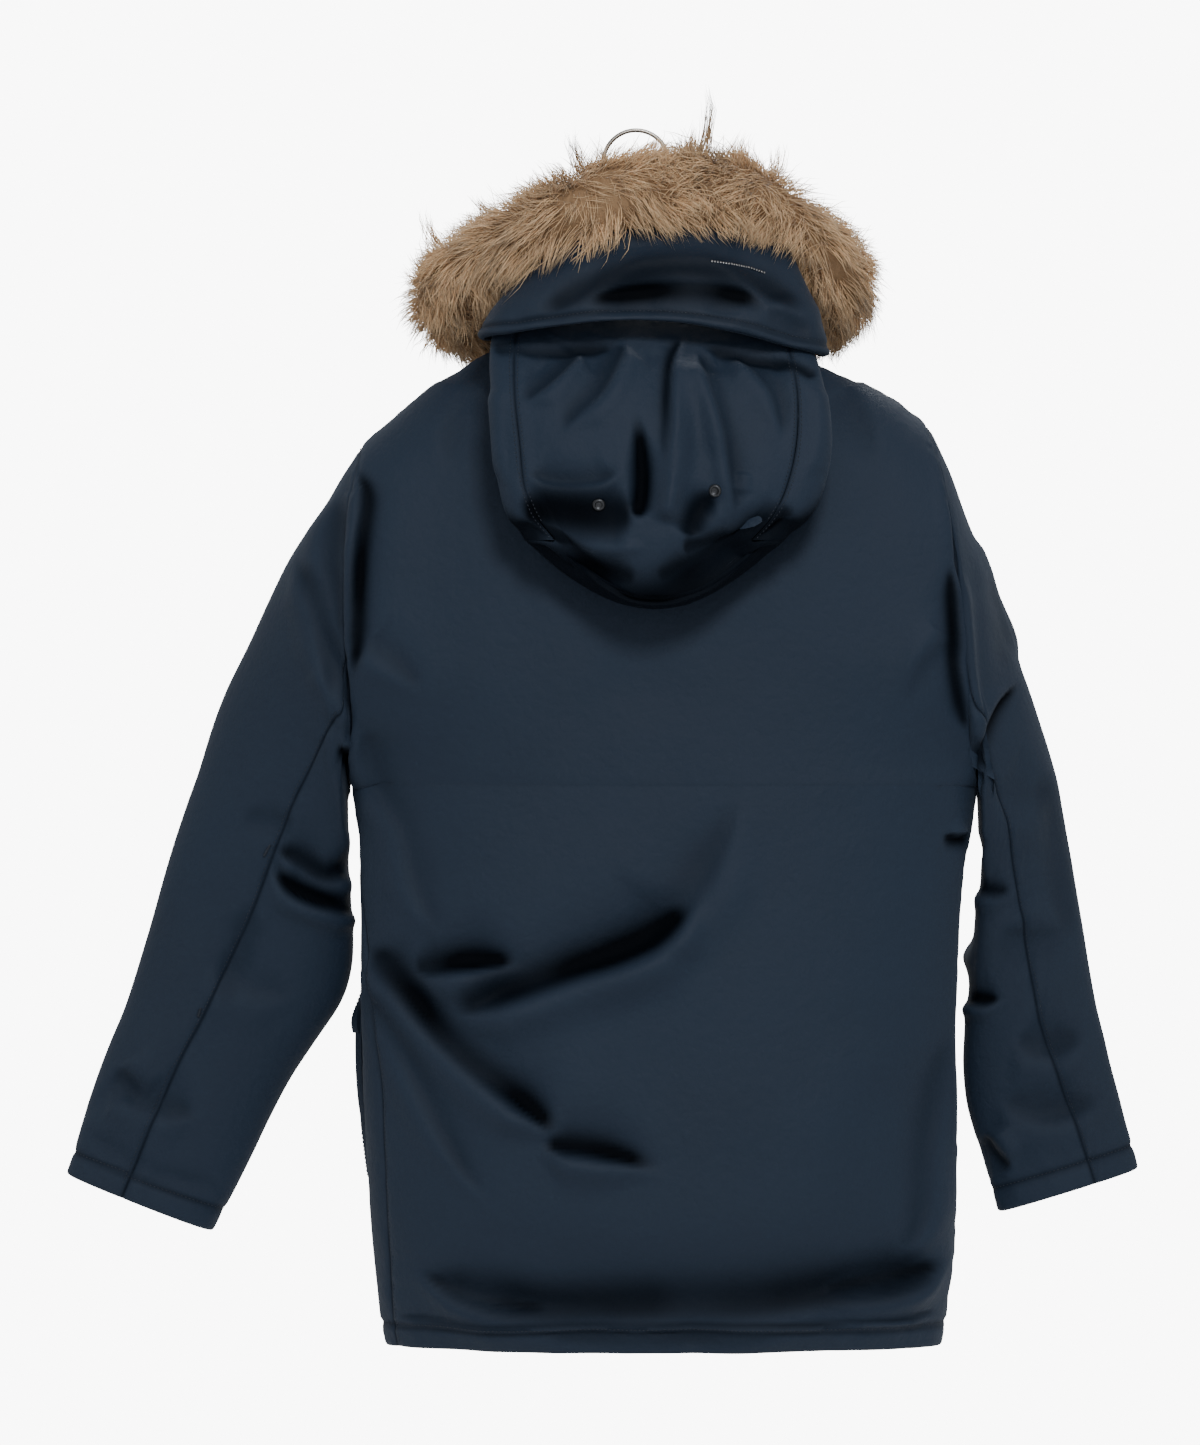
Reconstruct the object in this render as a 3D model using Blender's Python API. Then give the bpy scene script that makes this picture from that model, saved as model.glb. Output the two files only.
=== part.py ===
"""Fur trimmed parka hanging on a plain hanger, modelled in metres with +Z up.

The origin is where a rail carries the hanger's hook. The garment's front faces -Y and its back
faces +Y; the wearer's left is +X. Every cloth piece is a padded wall that grows inwards from the
garment's outer surface, and neighbours stop SEAM_GAP apart.
"""
import math

import bmesh
import bpy
import numpy as np
from mathutils import Matrix

OBJECT_NAME = "fur_trimmed_parka"

# ---------------------------------------------------------------- driving dimensions (metres)
SEAM_GAP = 0.0007
CLEAR = 0.0004
SAME_POINT = 0.00002       # panel points this close lie on one seam
SPLIT_DIRECTION = np.array((0.31, 0.53, 0.79))
TINY_TURN = 1e-6           # keeps the left edge on the back half
DOWN_WALL = 0.007
HOOD_WALL = 0.005
COLLAR_WALL = 0.005
POCKET_WALL = 0.003
SEAM_WALL = 0.003          # the padding is pinched to this along every seam
ROUNDNESS = 2.5            # exponent of the body's oval sections
SLEEVE_ROUNDNESS = 2.3     # exponent of the sleeve's oval sections

# Body sections from the hem to the armpit: height, sides, and how far back and front reach.
# seam is the turn, in degrees, of the left side seam round towards the back.
BODY_COLUMNS = ("z", "left", "right", "back", "front", "seam")
BODY_SECTIONS = (
    (-0.994, 0.205, -0.252, 0.078, -0.078, 16.0),
    (-0.972, 0.209, -0.255, 0.086, -0.086, 17.0),
    (-0.916, 0.215, -0.262, 0.101, -0.097, 19.0),
    (-0.834, 0.221, -0.263, 0.106, -0.102, 21.0),
    (-0.711, 0.225, -0.262, 0.104, -0.102, 19.0),
    (-0.629, 0.225, -0.266, 0.100, -0.100, 8.0),
    (-0.535, 0.230, -0.278, 0.096, -0.098, 0.0),
)

# Armhole edges from the armpit (share 0) to the shoulder tip (share 1).
ARMHOLE_COLUMNS = ("share", "left_x", "left_z", "right_x", "right_z")
ARMHOLES = (
    (0.00, 0.230, -0.535, -0.278, -0.535),
    (0.25, 0.233, -0.465, -0.268, -0.461),
    (0.55, 0.234, -0.383, -0.261, -0.373),
    (0.78, 0.233, -0.318, -0.254, -0.305),
    (1.00, 0.226, -0.257, -0.239, -0.240),
)
ARMHOLE_DEPTH = 0.132
CHEST_ROWS = (0.0, 0.10, 0.26, 0.44, 0.62, 0.77, 0.88, 0.95, 0.985, 1.0)
SHOULDER_CROWN_BACK = 0.086
SHOULDER_CROWN_FRONT = -0.084

# Shoulder line on each side of the neck, from the tip to the neck's side.
SHOULDER_LINE_X = (-0.239, -0.216, -0.183, -0.148, -0.088, 0.085, 0.130, 0.157, 0.182, 0.202, 0.226)
SHOULDER_LINE_Z = (-0.240, -0.221, -0.204, -0.188, -0.160, -0.160, -0.186, -0.203, -0.219, -0.236, -0.257)
NECK_LEFT = 0.085
NECK_RIGHT = -0.088
NECK_BACK_Y = 0.066
NECK_FRONT_Y = -0.080
NECK_BACK_DROP = 0.006
NECK_FRONT_DROP = 0.075
COLLAR_HEIGHT = 0.055
COLLAR_LEAN = 0.006

# Sleeve sections from the armhole to the cuff: outer edge, inner edge, how deep the oval is as a
# share of its length, how far forward it hangs, and where the back seam lies (0 inner, 1 outer).
SLEEVE_COLUMNS = ("outer_x", "outer_z", "inner_x", "inner_z", "depth", "forward", "seam")
LEFT_SLEEVE = (
    (0.2440, -0.285, 0.2350, -0.549, 0.50, 0.000, 0.30),
    (0.2630, -0.318, 0.2350, -0.564, 0.50, 0.002, 0.34),
    (0.2850, -0.351, 0.2345, -0.582, 0.50, 0.006, 0.38),
    (0.3120, -0.408, 0.2335, -0.603, 0.50, 0.014, 0.42),
    (0.3390, -0.465, 0.2330, -0.627, 0.50, 0.022, 0.46),
    (0.3620, -0.531, 0.2330, -0.655, 0.50, 0.030, 0.50),
    (0.3850, -0.597, 0.2350, -0.685, 0.49, 0.036, 0.53),
    (0.4050, -0.662, 0.2440, -0.714, 0.48, 0.040, 0.57),
    (0.4210, -0.715, 0.2640, -0.746, 0.47, 0.042, 0.59),
    (0.4350, -0.752, 0.2880, -0.784, 0.46, 0.042, 0.60),
    (0.4520, -0.802, 0.3150, -0.838, 0.45, 0.042, 0.61),
    (0.4705, -0.856, 0.3490, -0.904, 0.44, 0.040, 0.61),
)
RIGHT_SLEEVE = (
    (-0.2570, -0.277, -0.2830, -0.550, 0.50, 0.000, 0.30),
    (-0.2720, -0.318, -0.2835, -0.565, 0.50, 0.002, 0.34),
    (-0.2890, -0.359, -0.2830, -0.587, 0.50, 0.006, 0.38),
    (-0.3090, -0.416, -0.2810, -0.615, 0.50, 0.014, 0.42),
    (-0.3270, -0.465, -0.2790, -0.646, 0.50, 0.022, 0.46),
    (-0.3450, -0.527, -0.2760, -0.683, 0.50, 0.030, 0.49),
    (-0.3580, -0.588, -0.2730, -0.712, 0.49, 0.036, 0.52),
    (-0.3680, -0.646, -0.2710, -0.740, 0.48, 0.040, 0.55),
    (-0.3780, -0.703, -0.2705, -0.770, 0.48, 0.042, 0.58),
    (-0.3900, -0.752, -0.2740, -0.803, 0.46, 0.042, 0.62),
    (-0.4020, -0.802, -0.2840, -0.840, 0.45, 0.042, 0.66),
    (-0.4140, -0.852, -0.2980, -0.888, 0.44, 0.040, 0.69),
)
SEAM_COLUMN = 3            # the armhole row that the sleeve's long seams start from

# Hood bag, hanging behind the back. Rows run down its visible face.
HOOD_COLUMNS = ("z", "left", "right", "seam_left", "seam_right", "face_y", "edge_y", "inner_y", "sag")
HOOD_ROWS = (
    (-0.150, 0.109, -0.133, 0.092, -0.115, 0.094, 0.082, 0.079, 0.000),
    (-0.180, 0.118, -0.142, 0.098, -0.122, 0.118, 0.095, 0.083, 0.000),
    (-0.220, 0.117, -0.152, 0.098, -0.129, 0.148, 0.116, 0.087, 0.002),
    (-0.260, 0.114, -0.156, 0.094, -0.128, 0.163, 0.126, 0.0905, 0.006),
    (-0.295, 0.111, -0.150, 0.090, -0.120, 0.170, 0.130, 0.0925, 0.014),
    (-0.320, 0.104, -0.138, 0.080, -0.108, 0.170, 0.132, 0.0935, 0.028),
    (-0.338, 0.090, -0.118, 0.066, -0.092, 0.162, 0.130, 0.0945, 0.046),
)
HOOD_BOTTOM_SAG = 0.054
HOOD_FACE_COLUMNS = 17
HOOD_SIDE_COLUMNS = 7
HOOD_NECK_HEIGHT = 0.010
HOOD_NECK_TURN = 26.0
HOOD_INSIDE_Y = 0.12
# Pleats and hollows pressed into the visible face: ends, half width and depth.
PLEAT_COLUMNS = ("x0", "z0", "x1", "z1", "width", "depth")
HOOD_PLEATS = (
    (-0.035, -0.170, -0.021, -0.300, 0.011, 0.009),
    (0.002, -0.215, -0.002, -0.310, 0.013, 0.012),
    (-0.060, -0.190, -0.087, -0.312, 0.014, 0.006),
    (0.050, -0.177, 0.098, -0.225, 0.012, 0.005),
    (0.011, -0.166, 0.079, -0.270, 0.013, 0.006),
)

# Brim: the band between the fur and the hood. It is folded back over the bag behind the neck and
# runs forward on both sides to the collar. Stations follow the fur's; corner is the corner of the
# fur's section that it hangs from, then come its lower edge and how far it puffs out between.
BRIM_COLUMNS = ("station", "corner", "x", "y", "z", "puff")
BRIM_STATIONS = (
    (0.375, 6.0, 0.0212, -0.0798, -0.218, 0.000),
    (1.500, 6.0, 0.0636, -0.0545, -0.196, 0.000),
    (2.250, 6.0, 0.0862, -0.0170, -0.162, 0.001),
    (3.000, 6.0, 0.0882, 0.0117, -0.147, 0.001),
    (3.375, 7.0, 0.1020, 0.034, -0.160, 0.001),
    (3.750, 8.2, 0.121, 0.062, -0.174, 0.002),
    (4.125, 9.6, 0.130, 0.094, -0.171, 0.003),
    (4.500, 10.0, 0.109, 0.124, -0.170, 0.005),
    (4.875, 10.0, 0.070, 0.136, -0.166, 0.006),
    (6.000, 10.0, -0.010, 0.141, -0.162, 0.007),
    (7.125, 10.0, -0.086, 0.137, -0.172, 0.006),
    (7.500, 10.0, -0.127, 0.124, -0.181, 0.005),
    (7.875, 10.0, -0.155, 0.100, -0.187, 0.003),
    (8.250, 8.6, -0.148, 0.066, -0.184, 0.002),
    (8.625, 7.2, -0.116, 0.036, -0.167, 0.001),
    (9.000, 6.0, -0.0912, 0.0117, -0.147, 0.001),
    (9.750, 6.0, -0.0894, -0.0170, -0.162, 0.001),
    (10.500, 6.0, -0.0678, -0.0555, -0.196, 0.000),
    (11.625, 6.0, -0.0244, -0.0798, -0.218, 0.000),
)
BRIM_ROWS = 5

# Fur ruff: the middle of the fur round the hood's edge, and its half height.
FUR_COLUMNS = ("x", "y", "z", "half_height", "half_depth")
FUR_STATIONS = (
    (0.030, -0.116, -0.186, 0.024, 0.022),
    (0.090, -0.112, -0.172, 0.030, 0.026),
    (0.143, -0.066, -0.150, 0.038, 0.032),
    (0.152, 0.002, -0.134, 0.046, 0.040),
    (0.108, 0.062, -0.102, 0.044, 0.042),
    (0.052, 0.096, -0.074, 0.046, 0.038),
    (-0.010, 0.104, -0.060, 0.045, 0.036),
    (-0.072, 0.094, -0.060, 0.043, 0.038),
    (-0.122, 0.062, -0.082, 0.042, 0.042),
    (-0.162, 0.002, -0.122, 0.046, 0.040),
    (-0.152, -0.066, -0.146, 0.038, 0.032),
    (-0.096, -0.112, -0.172, 0.030, 0.026),
    (-0.036, -0.116, -0.186, 0.024, 0.022),
)
FUR_RINGS = 33
FUR_SIDES = 12
FUR_END = 0.4             # share of the section left at the two ends
FUR_TAPER = 0.9
FUR_CLEAR = 0.0026

EYELETS = (("left", 0.031, -0.310), ("right", -0.062, -0.299))
EYELET_RADIUS = 0.0055
EYELET_WIRE = 0.0011
EYELET_SEAT = 0.0005
EYELET_STEPS = 16
EYELET_SIDES = 6

# Pockets: the rows of the front that they cover, and the columns counted from the side seam.
POCKET_ROWS = (0.285, 0.61)
FLAP_ROWS = (0.555, 0.66)
POCKET_COLUMNS = {"left": (1, 5), "right": (1, 5)}
POCKET_BULGE = 0.013
FLAP_CLEAR = 0.0006

# Zip up the centre front.
ZIP_HALF_GAP = 0.0045
ZIP_TAPE_START = 0.0018
ZIP_TAPE_WIDTH = 0.012
ZIP_TAPE_THICKNESS = 0.0012
ZIP_CHAIN_HALF_WIDTH = 0.0028
ZIP_CHAIN_THICKNESS = 0.0030
ZIP_CHAIN_SEAT = 0.0005    # how far the chain stands above the cloth's inner side
ZIP_FIRST_ROW = 1          # the zip starts a little above the hem
SLIDER_SIZE = (0.0070, 0.0042, 0.0140)
SLIDER_SEAT = 0.0009
BRIDGE_WIRE = 0.0009
BRIDGE_HALF_HEIGHT = 0.0045
BRIDGE_REACH = 0.0046
BRIDGE_SINK = 0.0015
PULL_AXIS_REACH = 0.0018
PULL_SIZE = (0.0070, 0.0016, 0.0340)
PULL_EYE = (0.0038, 0.0045)

# Hanger.
HOOK_RADIUS = 0.0268
HOOK_WIRE = 0.0018
HOOK_TIP_TURN = -35.0
HOOK_END_TURN = 215.0
HOOK_NECK_Z = -0.075
BAR_CLEAR = 0.0008
BAR_EASE = 0.0022
BAR_HALF_SPAN = 0.180
BAR_RADIUS = 0.0085


# ---------------------------------------------------------------- small tools
def column(table, columns, name):
    return np.array([row[columns.index(name)] for row in table], dtype=float)


def smooth(knots, values, at):
    """Smooth curve through the values at the knots, held flat beyond both ends."""
    knots = np.asarray(knots, dtype=float)
    values = np.asarray(values, dtype=float)
    at = np.clip(np.asarray(at, dtype=float), knots[0], knots[-1])
    slopes = np.gradient(values, knots)
    index = np.clip(np.searchsorted(knots, at) - 1, 0, len(knots) - 2)
    span = knots[index + 1] - knots[index]
    t = (at - knots[index]) / span
    rise = (2 * t ** 3 - 3 * t ** 2 + 1) * values[index] + (3 * t ** 2 - 2 * t ** 3) * values[index + 1]
    lean = (t ** 3 - 2 * t ** 2 + t) * slopes[index] + (t ** 3 - t ** 2) * slopes[index + 1]
    return rise + span * lean


def oval(share, power):
    """Depth of an oval, 0 at both ends and 1 in the middle, where share runs from -1 to 1."""
    return np.clip(1 - np.abs(share) ** power, 0, 1) ** (1 / power)


def unit(vectors):
    return vectors / np.maximum(np.linalg.norm(vectors, axis=-1, keepdims=True), 1e-12)


# ---------------------------------------------------------------- garment surfaces
def neck_middle():
    return (NECK_LEFT + NECK_RIGHT) / 2


def top_line(x, back):
    """Height and depth of the top edge: the shoulder seams and the neckline between them."""
    share = np.clip((x - neck_middle()) / (NECK_LEFT - neck_middle()), -1, 1)
    bow = np.sqrt(np.clip(1 - share ** 2, 0, 1))
    drop = NECK_BACK_DROP if back else NECK_FRONT_DROP
    reach = NECK_BACK_Y if back else NECK_FRONT_Y
    z = np.interp(x, SHOULDER_LINE_X, SHOULDER_LINE_Z) - drop * bow
    return z, reach * bow


def armhole(side, share):
    """Armhole edge at a share of its height: its x, z and its depth on the back half."""
    shares = column(ARMHOLES, ARMHOLE_COLUMNS, "share")
    x = smooth(shares, column(ARMHOLES, ARMHOLE_COLUMNS, side + "_x"), share)
    z = smooth(shares, column(ARMHOLES, ARMHOLE_COLUMNS, side + "_z"), share)
    return x, z, ARMHOLE_DEPTH / 2 * oval(2 * share - 1, SLEEVE_ROUNDNESS)


def torso(row, turn):
    """Outer surface of the body.

    row 0 to 1 runs from the hem to the armpit and 1 to 2 up the armhole to the shoulder. turn is
    in degrees: 0 the left side, 90 the centre back, 180 the right side, -90 the centre front.
    """
    row, turn = np.broadcast_arrays(np.asarray(row, dtype=float), np.asarray(turn, dtype=float))
    angle = np.radians(turn)
    across = np.cos(angle)
    share = (1 - across) / 2
    back = turn > 0
    heights = column(BODY_SECTIONS, BODY_COLUMNS, "z")
    z_low = heights[0] + (heights[-1] - heights[0]) * np.clip(row, 0, 1)
    rise = np.clip(row - 1, 0, 1)
    left_x, left_z, edge_y = armhole("left", rise)
    right_x, right_z, edge_y = armhole("right", rise)
    low = row < 1
    left = np.where(low, smooth(heights, column(BODY_SECTIONS, BODY_COLUMNS, "left"), z_low), left_x)
    right = np.where(low, smooth(heights, column(BODY_SECTIONS, BODY_COLUMNS, "right"), z_low), right_x)
    x = left + (right - left) * share
    puff = oval(across, ROUNDNESS)
    flat = np.sqrt(np.clip(1 - rise ** 5, 0, 1))
    points = []
    for is_back, name, crown_top in ((True, "back", SHOULDER_CROWN_BACK), (False, "front", SHOULDER_CROWN_FRONT)):
        reach = smooth(heights, column(BODY_SECTIONS, BODY_COLUMNS, name), z_low)
        crown = reach + (crown_top - reach) * rise
        top_z, top_y = top_line(x, is_back)
        middle = top_y * (1 - flat) + crown * flat
        edge = edge_y if is_back else -edge_y
        y = edge + (middle - edge) * puff
        straight = left_z + (right_z - left_z) * share
        tip_left = SHOULDER_LINE_Z[-1]
        tip_right = SHOULDER_LINE_Z[0]
        lift = top_z - (tip_left + (tip_right - tip_left) * share)
        z = np.where(low, z_low, straight + lift * rise ** 1.6)
        points.append(np.stack((x, y, z), axis=-1))
    return np.where(back[..., None], points[0], points[1])


def sleeve(side, section, share, back):
    """Outer surface of a sleeve: section -1 is the armhole, 0 to the last row are the table's."""
    table = LEFT_SLEEVE if side == "left" else RIGHT_SLEEVE
    section = float(section)
    sign = 1.0 if back else -1.0
    if section < 0:
        x, z, depth = armhole(side, share)
        return np.stack((x, sign * depth, z), axis=-1)
    knots = np.arange(len(table))
    read = {name: smooth(knots, column(table, SLEEVE_COLUMNS, name), section) for name in SLEEVE_COLUMNS}
    start = CHEST_ROWS[SEAM_COLUMN]
    seam = read["seam"]
    share = np.where(share < start, share * seam / start, 1 - (1 - share) * (1 - seam) / (1 - start))
    x = read["inner_x"] + (read["outer_x"] - read["inner_x"]) * share
    z = read["inner_z"] + (read["outer_z"] - read["inner_z"]) * share
    length = math.hypot(read["outer_x"] - read["inner_x"], read["outer_z"] - read["inner_z"])
    y = sign * length * read["depth"] / 2 * oval(2 * share - 1, SLEEVE_ROUNDNESS) - read["forward"]
    return np.stack((x, y, z), axis=-1)


def neck_loop(turn, height):
    """Outer surface of the collar: turn 0 left, 90 back, 180 right, 270 front."""
    angle = np.radians(turn)
    half = (NECK_LEFT - NECK_RIGHT) / 2 - COLLAR_LEAN * height / COLLAR_HEIGHT
    x = neck_middle() + half * np.cos(angle)
    z, y = top_line(neck_middle() + (NECK_LEFT - NECK_RIGHT) / 2 * np.cos(angle), True)
    z_front, y_front = top_line(neck_middle() + (NECK_LEFT - NECK_RIGHT) / 2 * np.cos(angle), False)
    front = np.sin(angle) < 0
    y = np.where(front, y_front, y) * half / ((NECK_LEFT - NECK_RIGHT) / 2)
    return np.stack((x, y, np.where(front, z_front, z) + height), axis=-1)


def pressed(points, table, columns):
    """Depth of the pleats at each point, from its x and z."""
    total = np.zeros(points.shape[:-1])
    for row in table:
        pleat = dict(zip(columns, row))
        start = np.array((pleat["x0"], pleat["z0"]))
        run = np.array((pleat["x1"], pleat["z1"])) - start
        offset = points[..., (0, 2)] - start
        along = (offset @ run) / (run @ run)
        nearest = np.clip(along, 0, 1)[..., None] * run
        away = np.linalg.norm(offset - nearest, axis=-1) / pleat["width"]
        total += pleat["depth"] * np.exp(-away ** 2)
    return total


def hood_reader(table=HOOD_ROWS):
    knots = np.arange(len(table))
    return lambda name, row: float(smooth(knots, column(table, HOOD_COLUMNS, name), row))


def hood_side(side, row, shares):
    """Round the bag's side, from the visible seam (share 0) to the hidden seam (share 1)."""
    read = hood_reader()
    seam = read("seam_" + side, row)
    edge = read(side, row)
    z = read("z", row)
    turn = shares * math.pi
    x = seam + (edge - seam) * np.sin(turn)
    face = read("edge_y", row) + (read("face_y", row) - read("edge_y", row)) * 0.55
    hidden = read("inner_y", row)
    y = np.where(turn < math.pi / 2, read("edge_y", row) + (face - read("edge_y", row)) * np.cos(turn),
                 read("edge_y", row) + (read("edge_y", row) - hidden) * np.cos(turn))
    return np.stack((x, y, np.full_like(x, z)), axis=-1)


def hood_strip(row, shares, left, right):
    """One row of the hood's centre strip on its visible face, between two seam points."""
    read = hood_reader()
    points = left + (right - left) * shares[:, None]
    bow = oval(2 * shares - 1, 2.0)
    seam_y = (left[1] + right[1]) / 2
    points[:, 1] += (read("face_y", row) - seam_y) * bow
    points[:, 2] -= read("sag", row) * bow
    points[:, 1] -= pressed(points, HOOD_PLEATS, PLEAT_COLUMNS) * bow
    return points


def hood_centre_grid():
    shares = (1 - np.cos(np.linspace(0, math.pi, HOOD_FACE_COLUMNS))) / 2
    turns = np.linspace(0, 1, HOOD_SIDE_COLUMNS)
    rows = []
    last = len(HOOD_ROWS) - 1
    for row in range(len(HOOD_ROWS)):
        left = hood_side("left", row, turns)[0]
        right = hood_side("right", row, turns)[0]
        rows.append(hood_strip(row, shares, left, right))
    arc_left = hood_side("left", last, turns)
    arc_right = hood_side("right", last, turns)
    read = hood_reader()
    bow = oval(2 * shares - 1, 2.0)
    for step in range(1, HOOD_SIDE_COLUMNS):
        blend = turns[step]
        points = arc_left[step] + (arc_right[step] - arc_left[step]) * shares[:, None]
        swell = (read("face_y", last) - arc_left[0][1]) * math.cos(blend * math.pi / 2) ** 2
        points[:, 1] += swell * bow
        sag = read("sag", last) + (HOOD_BOTTOM_SAG - read("sag", last)) * math.sin(blend * math.pi)
        points[:, 2] -= sag * (1 - 0.35 * blend ** 3) * bow
        rows.append(points)
    for row in range(last - 1, 0, -1):
        left = hood_side("left", row, turns)[-1]
        right = hood_side("right", row, turns)[-1]
        points = left + (right - left) * shares[:, None]
        points[:, 2] -= read("sag", row) * 0.65 * bow
        rows.append(points)
    neck_turns = np.linspace(HOOD_NECK_TURN, 180 - HOOD_NECK_TURN, HOOD_FACE_COLUMNS)
    seat = neck_loop(neck_turns, HOOD_NECK_HEIGHT)
    outward = unit((seat - np.array((neck_middle(), 0, 0))) * np.array((1, 1, 0)))
    rows.append(seat + outward * CLEAR)
    return np.array(rows)


def hood_side_grid(side):
    turns = np.linspace(0, 1, HOOD_SIDE_COLUMNS)
    return np.array([hood_side(side, row, turns) for row in range(len(HOOD_ROWS))])


def brim_grid():
    """The brim from its edge under the fur down to its lower edge."""
    knots = column(BRIM_STATIONS, BRIM_COLUMNS, "station")
    spacing = (len(FUR_STATIONS) - 1) / (FUR_RINGS - 1)
    lines = []
    for ring in range(int(round(knots[0] / spacing)), int(round(knots[-1] / spacing)) + 1):
        station = ring * spacing
        read = {name: float(smooth(knots, column(BRIM_STATIONS, BRIM_COLUMNS, name), station))
                for name in BRIM_COLUMNS}
        turn = math.radians(read["corner"] * 360 / FUR_SIDES)
        top = fur_point(station, turn, FUR_CLEAR)
        low = np.array((read["x"], read["y"], read["z"]))
        outward = unit(low * np.array((1, 1, 0)))
        lines.append([top + (low - top) * share + outward * read["puff"] * math.sin(math.pi * share)
                      for share in np.linspace(0, 1, BRIM_ROWS)])
    return np.array(lines).transpose(1, 0, 2)


def fur_point(station, turn, clear=0.0):
    """A point of the fur's section: turn 0 faces away from the neck and a quarter turn faces up."""
    knots = np.arange(len(FUR_STATIONS))
    read = {name: float(smooth(knots, column(FUR_STATIONS, FUR_COLUMNS, name), station)) for name in FUR_COLUMNS}
    step = 0.05
    ahead = np.array([float(smooth(knots, column(FUR_STATIONS, FUR_COLUMNS, n), station + step)) for n in "xy"])
    behind = np.array([float(smooth(knots, column(FUR_STATIONS, FUR_COLUMNS, n), station - step)) for n in "xy"])
    along = unit(ahead - behind)
    sideways = np.array((along[1], -along[0], 0))
    centre = np.array((read["x"], read["y"], read["z"]))
    end = min(1.0, FUR_END + station * FUR_TAPER, FUR_END + (len(FUR_STATIONS) - 1 - station) * FUR_TAPER)
    reach = sideways * (read["half_depth"] * end + clear) * math.cos(turn)
    return centre + reach + np.array((0, 0, (read["half_height"] * end + clear) * math.sin(turn)))


def fur_ring(station):
    return [fur_point(station, turn) for turn in np.linspace(0, 2 * math.pi, FUR_SIDES, endpoint=False)]


# ---------------------------------------------------------------- meshes
def new_object(name, mesh, collection, finish):
    colour, roughness, metallic = finish
    material = bpy.data.materials.new(name + "_finish")
    material.use_nodes = True
    shader = material.node_tree.nodes["Principled BSDF"]
    shader.inputs["Base Color"].default_value = (*colour, 1)
    shader.inputs["Roughness"].default_value = roughness
    shader.inputs["Metallic"].default_value = metallic
    mesh.materials.append(material)
    item = bpy.data.objects.new(name, mesh)
    collection.objects.link(item)
    mesh.shade_smooth()
    return item


def mesh_from(name, vertices, faces):
    mesh = bpy.data.meshes.new(name)
    mesh.from_pydata([tuple(float(v) for v in point) for point in vertices], [], faces)
    work = bmesh.new()
    work.from_mesh(mesh)
    bmesh.ops.recalc_face_normals(work, faces=work.faces)
    work.to_mesh(mesh)
    work.free()
    return mesh


def grid_normals(grids):
    """Normals of all panels together, averaged where their edges meet, so that walls line up."""
    points = np.concatenate([grid.reshape(-1, 3) for grid in grids.values()])
    sums = np.zeros_like(points)
    first = 0
    for grid in grids.values():
        rows, cols = grid.shape[:2]
        number = first + np.arange(rows * cols).reshape(rows, cols)
        areas = np.cross(grid[1:, 1:] - grid[:-1, :-1], grid[1:, :-1] - grid[:-1, 1:])
        for corner in (number[:-1, :-1], number[:-1, 1:], number[1:, 1:], number[1:, :-1]):
            np.add.at(sums, corner.ravel(), areas.reshape(-1, 3))
        first += rows * cols
    meeting = np.linalg.norm(points[:, None] - points[None], axis=-1) < SAME_POINT
    normals = unit(meeting.astype(float) @ sums)
    out = {}
    first = 0
    for name, grid in grids.items():
        count = grid.shape[0] * grid.shape[1]
        out[name] = normals[first:first + count].reshape(grid.shape)
        first += count
    return out


def set_back(grid, distance):
    """Pull a grid's borders in along the surface by a distance."""
    out = grid.copy()
    out[0] += unit(grid[1] - grid[0]) * distance
    out[-1] += unit(grid[-2] - grid[-1]) * distance
    out[:, 0] += unit(grid[:, 1] - grid[:, 0]) * distance
    out[:, -1] += unit(grid[:, -2] - grid[:, -1]) * distance
    return out


def wall(name, outer, inner, collection, finish):
    """Closed wall between two grids."""
    rows, cols = outer.shape[:2]
    count = rows * cols
    vertices = np.concatenate((outer.reshape(-1, 3), inner.reshape(-1, 3)))
    number = np.arange(count).reshape(rows, cols)
    faces = []
    for a, b, c, d in zip(number[:-1, :-1].ravel(), number[:-1, 1:].ravel(),
                          number[1:, 1:].ravel(), number[1:, :-1].ravel()):
        faces.append((a, b, c, d))
        faces.append((a + count, d + count, c + count, b + count))
    border = [*number[0], *number[1:, -1], *number[-1, -2::-1], *number[-2:0:-1, 0]]
    for start, end in zip(border, border[1:] + border[:1]):
        # Both walls of a seam split their end faces along the same diagonal.
        if (vertices[end] - vertices[start]) @ SPLIT_DIRECTION > 0:
            faces += [(start, start + count, end + count), (start, end + count, end)]
        else:
            faces += [(start, start + count, end), (start + count, end + count, end)]
    faces = [tuple(int(corner) for corner in face) for face in faces]
    return new_object(name, mesh_from(name, vertices, faces), collection, finish)


def panel(name, grid, normals, thickness, collection, finish):
    """Padded wall that grows inwards from a grid, set back from its seams and pinched at them."""
    outer = set_back(grid, SEAM_GAP / 2)
    depth = np.full(grid.shape[:2], thickness)
    depth[0] = depth[-1] = SEAM_WALL
    depth[:, 0] = depth[:, -1] = SEAM_WALL
    return wall(name, outer, outer - normals * depth[..., None], collection, finish)


def tube_mesh(name, rings):
    """Closed tube through rings of points, capped at both ends."""
    sides = len(rings[0])
    vertices = [point for ring in rings for point in ring]
    faces = []
    for r in range(len(rings) - 1):
        for s in range(sides):
            n = (s + 1) % sides
            faces.append((r * sides + s, r * sides + n, (r + 1) * sides + n, (r + 1) * sides + s))
    faces.append(tuple(range(sides)))
    faces.append(tuple((len(rings) - 1) * sides + s for s in range(sides)))
    return mesh_from(name, vertices, faces)


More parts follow.
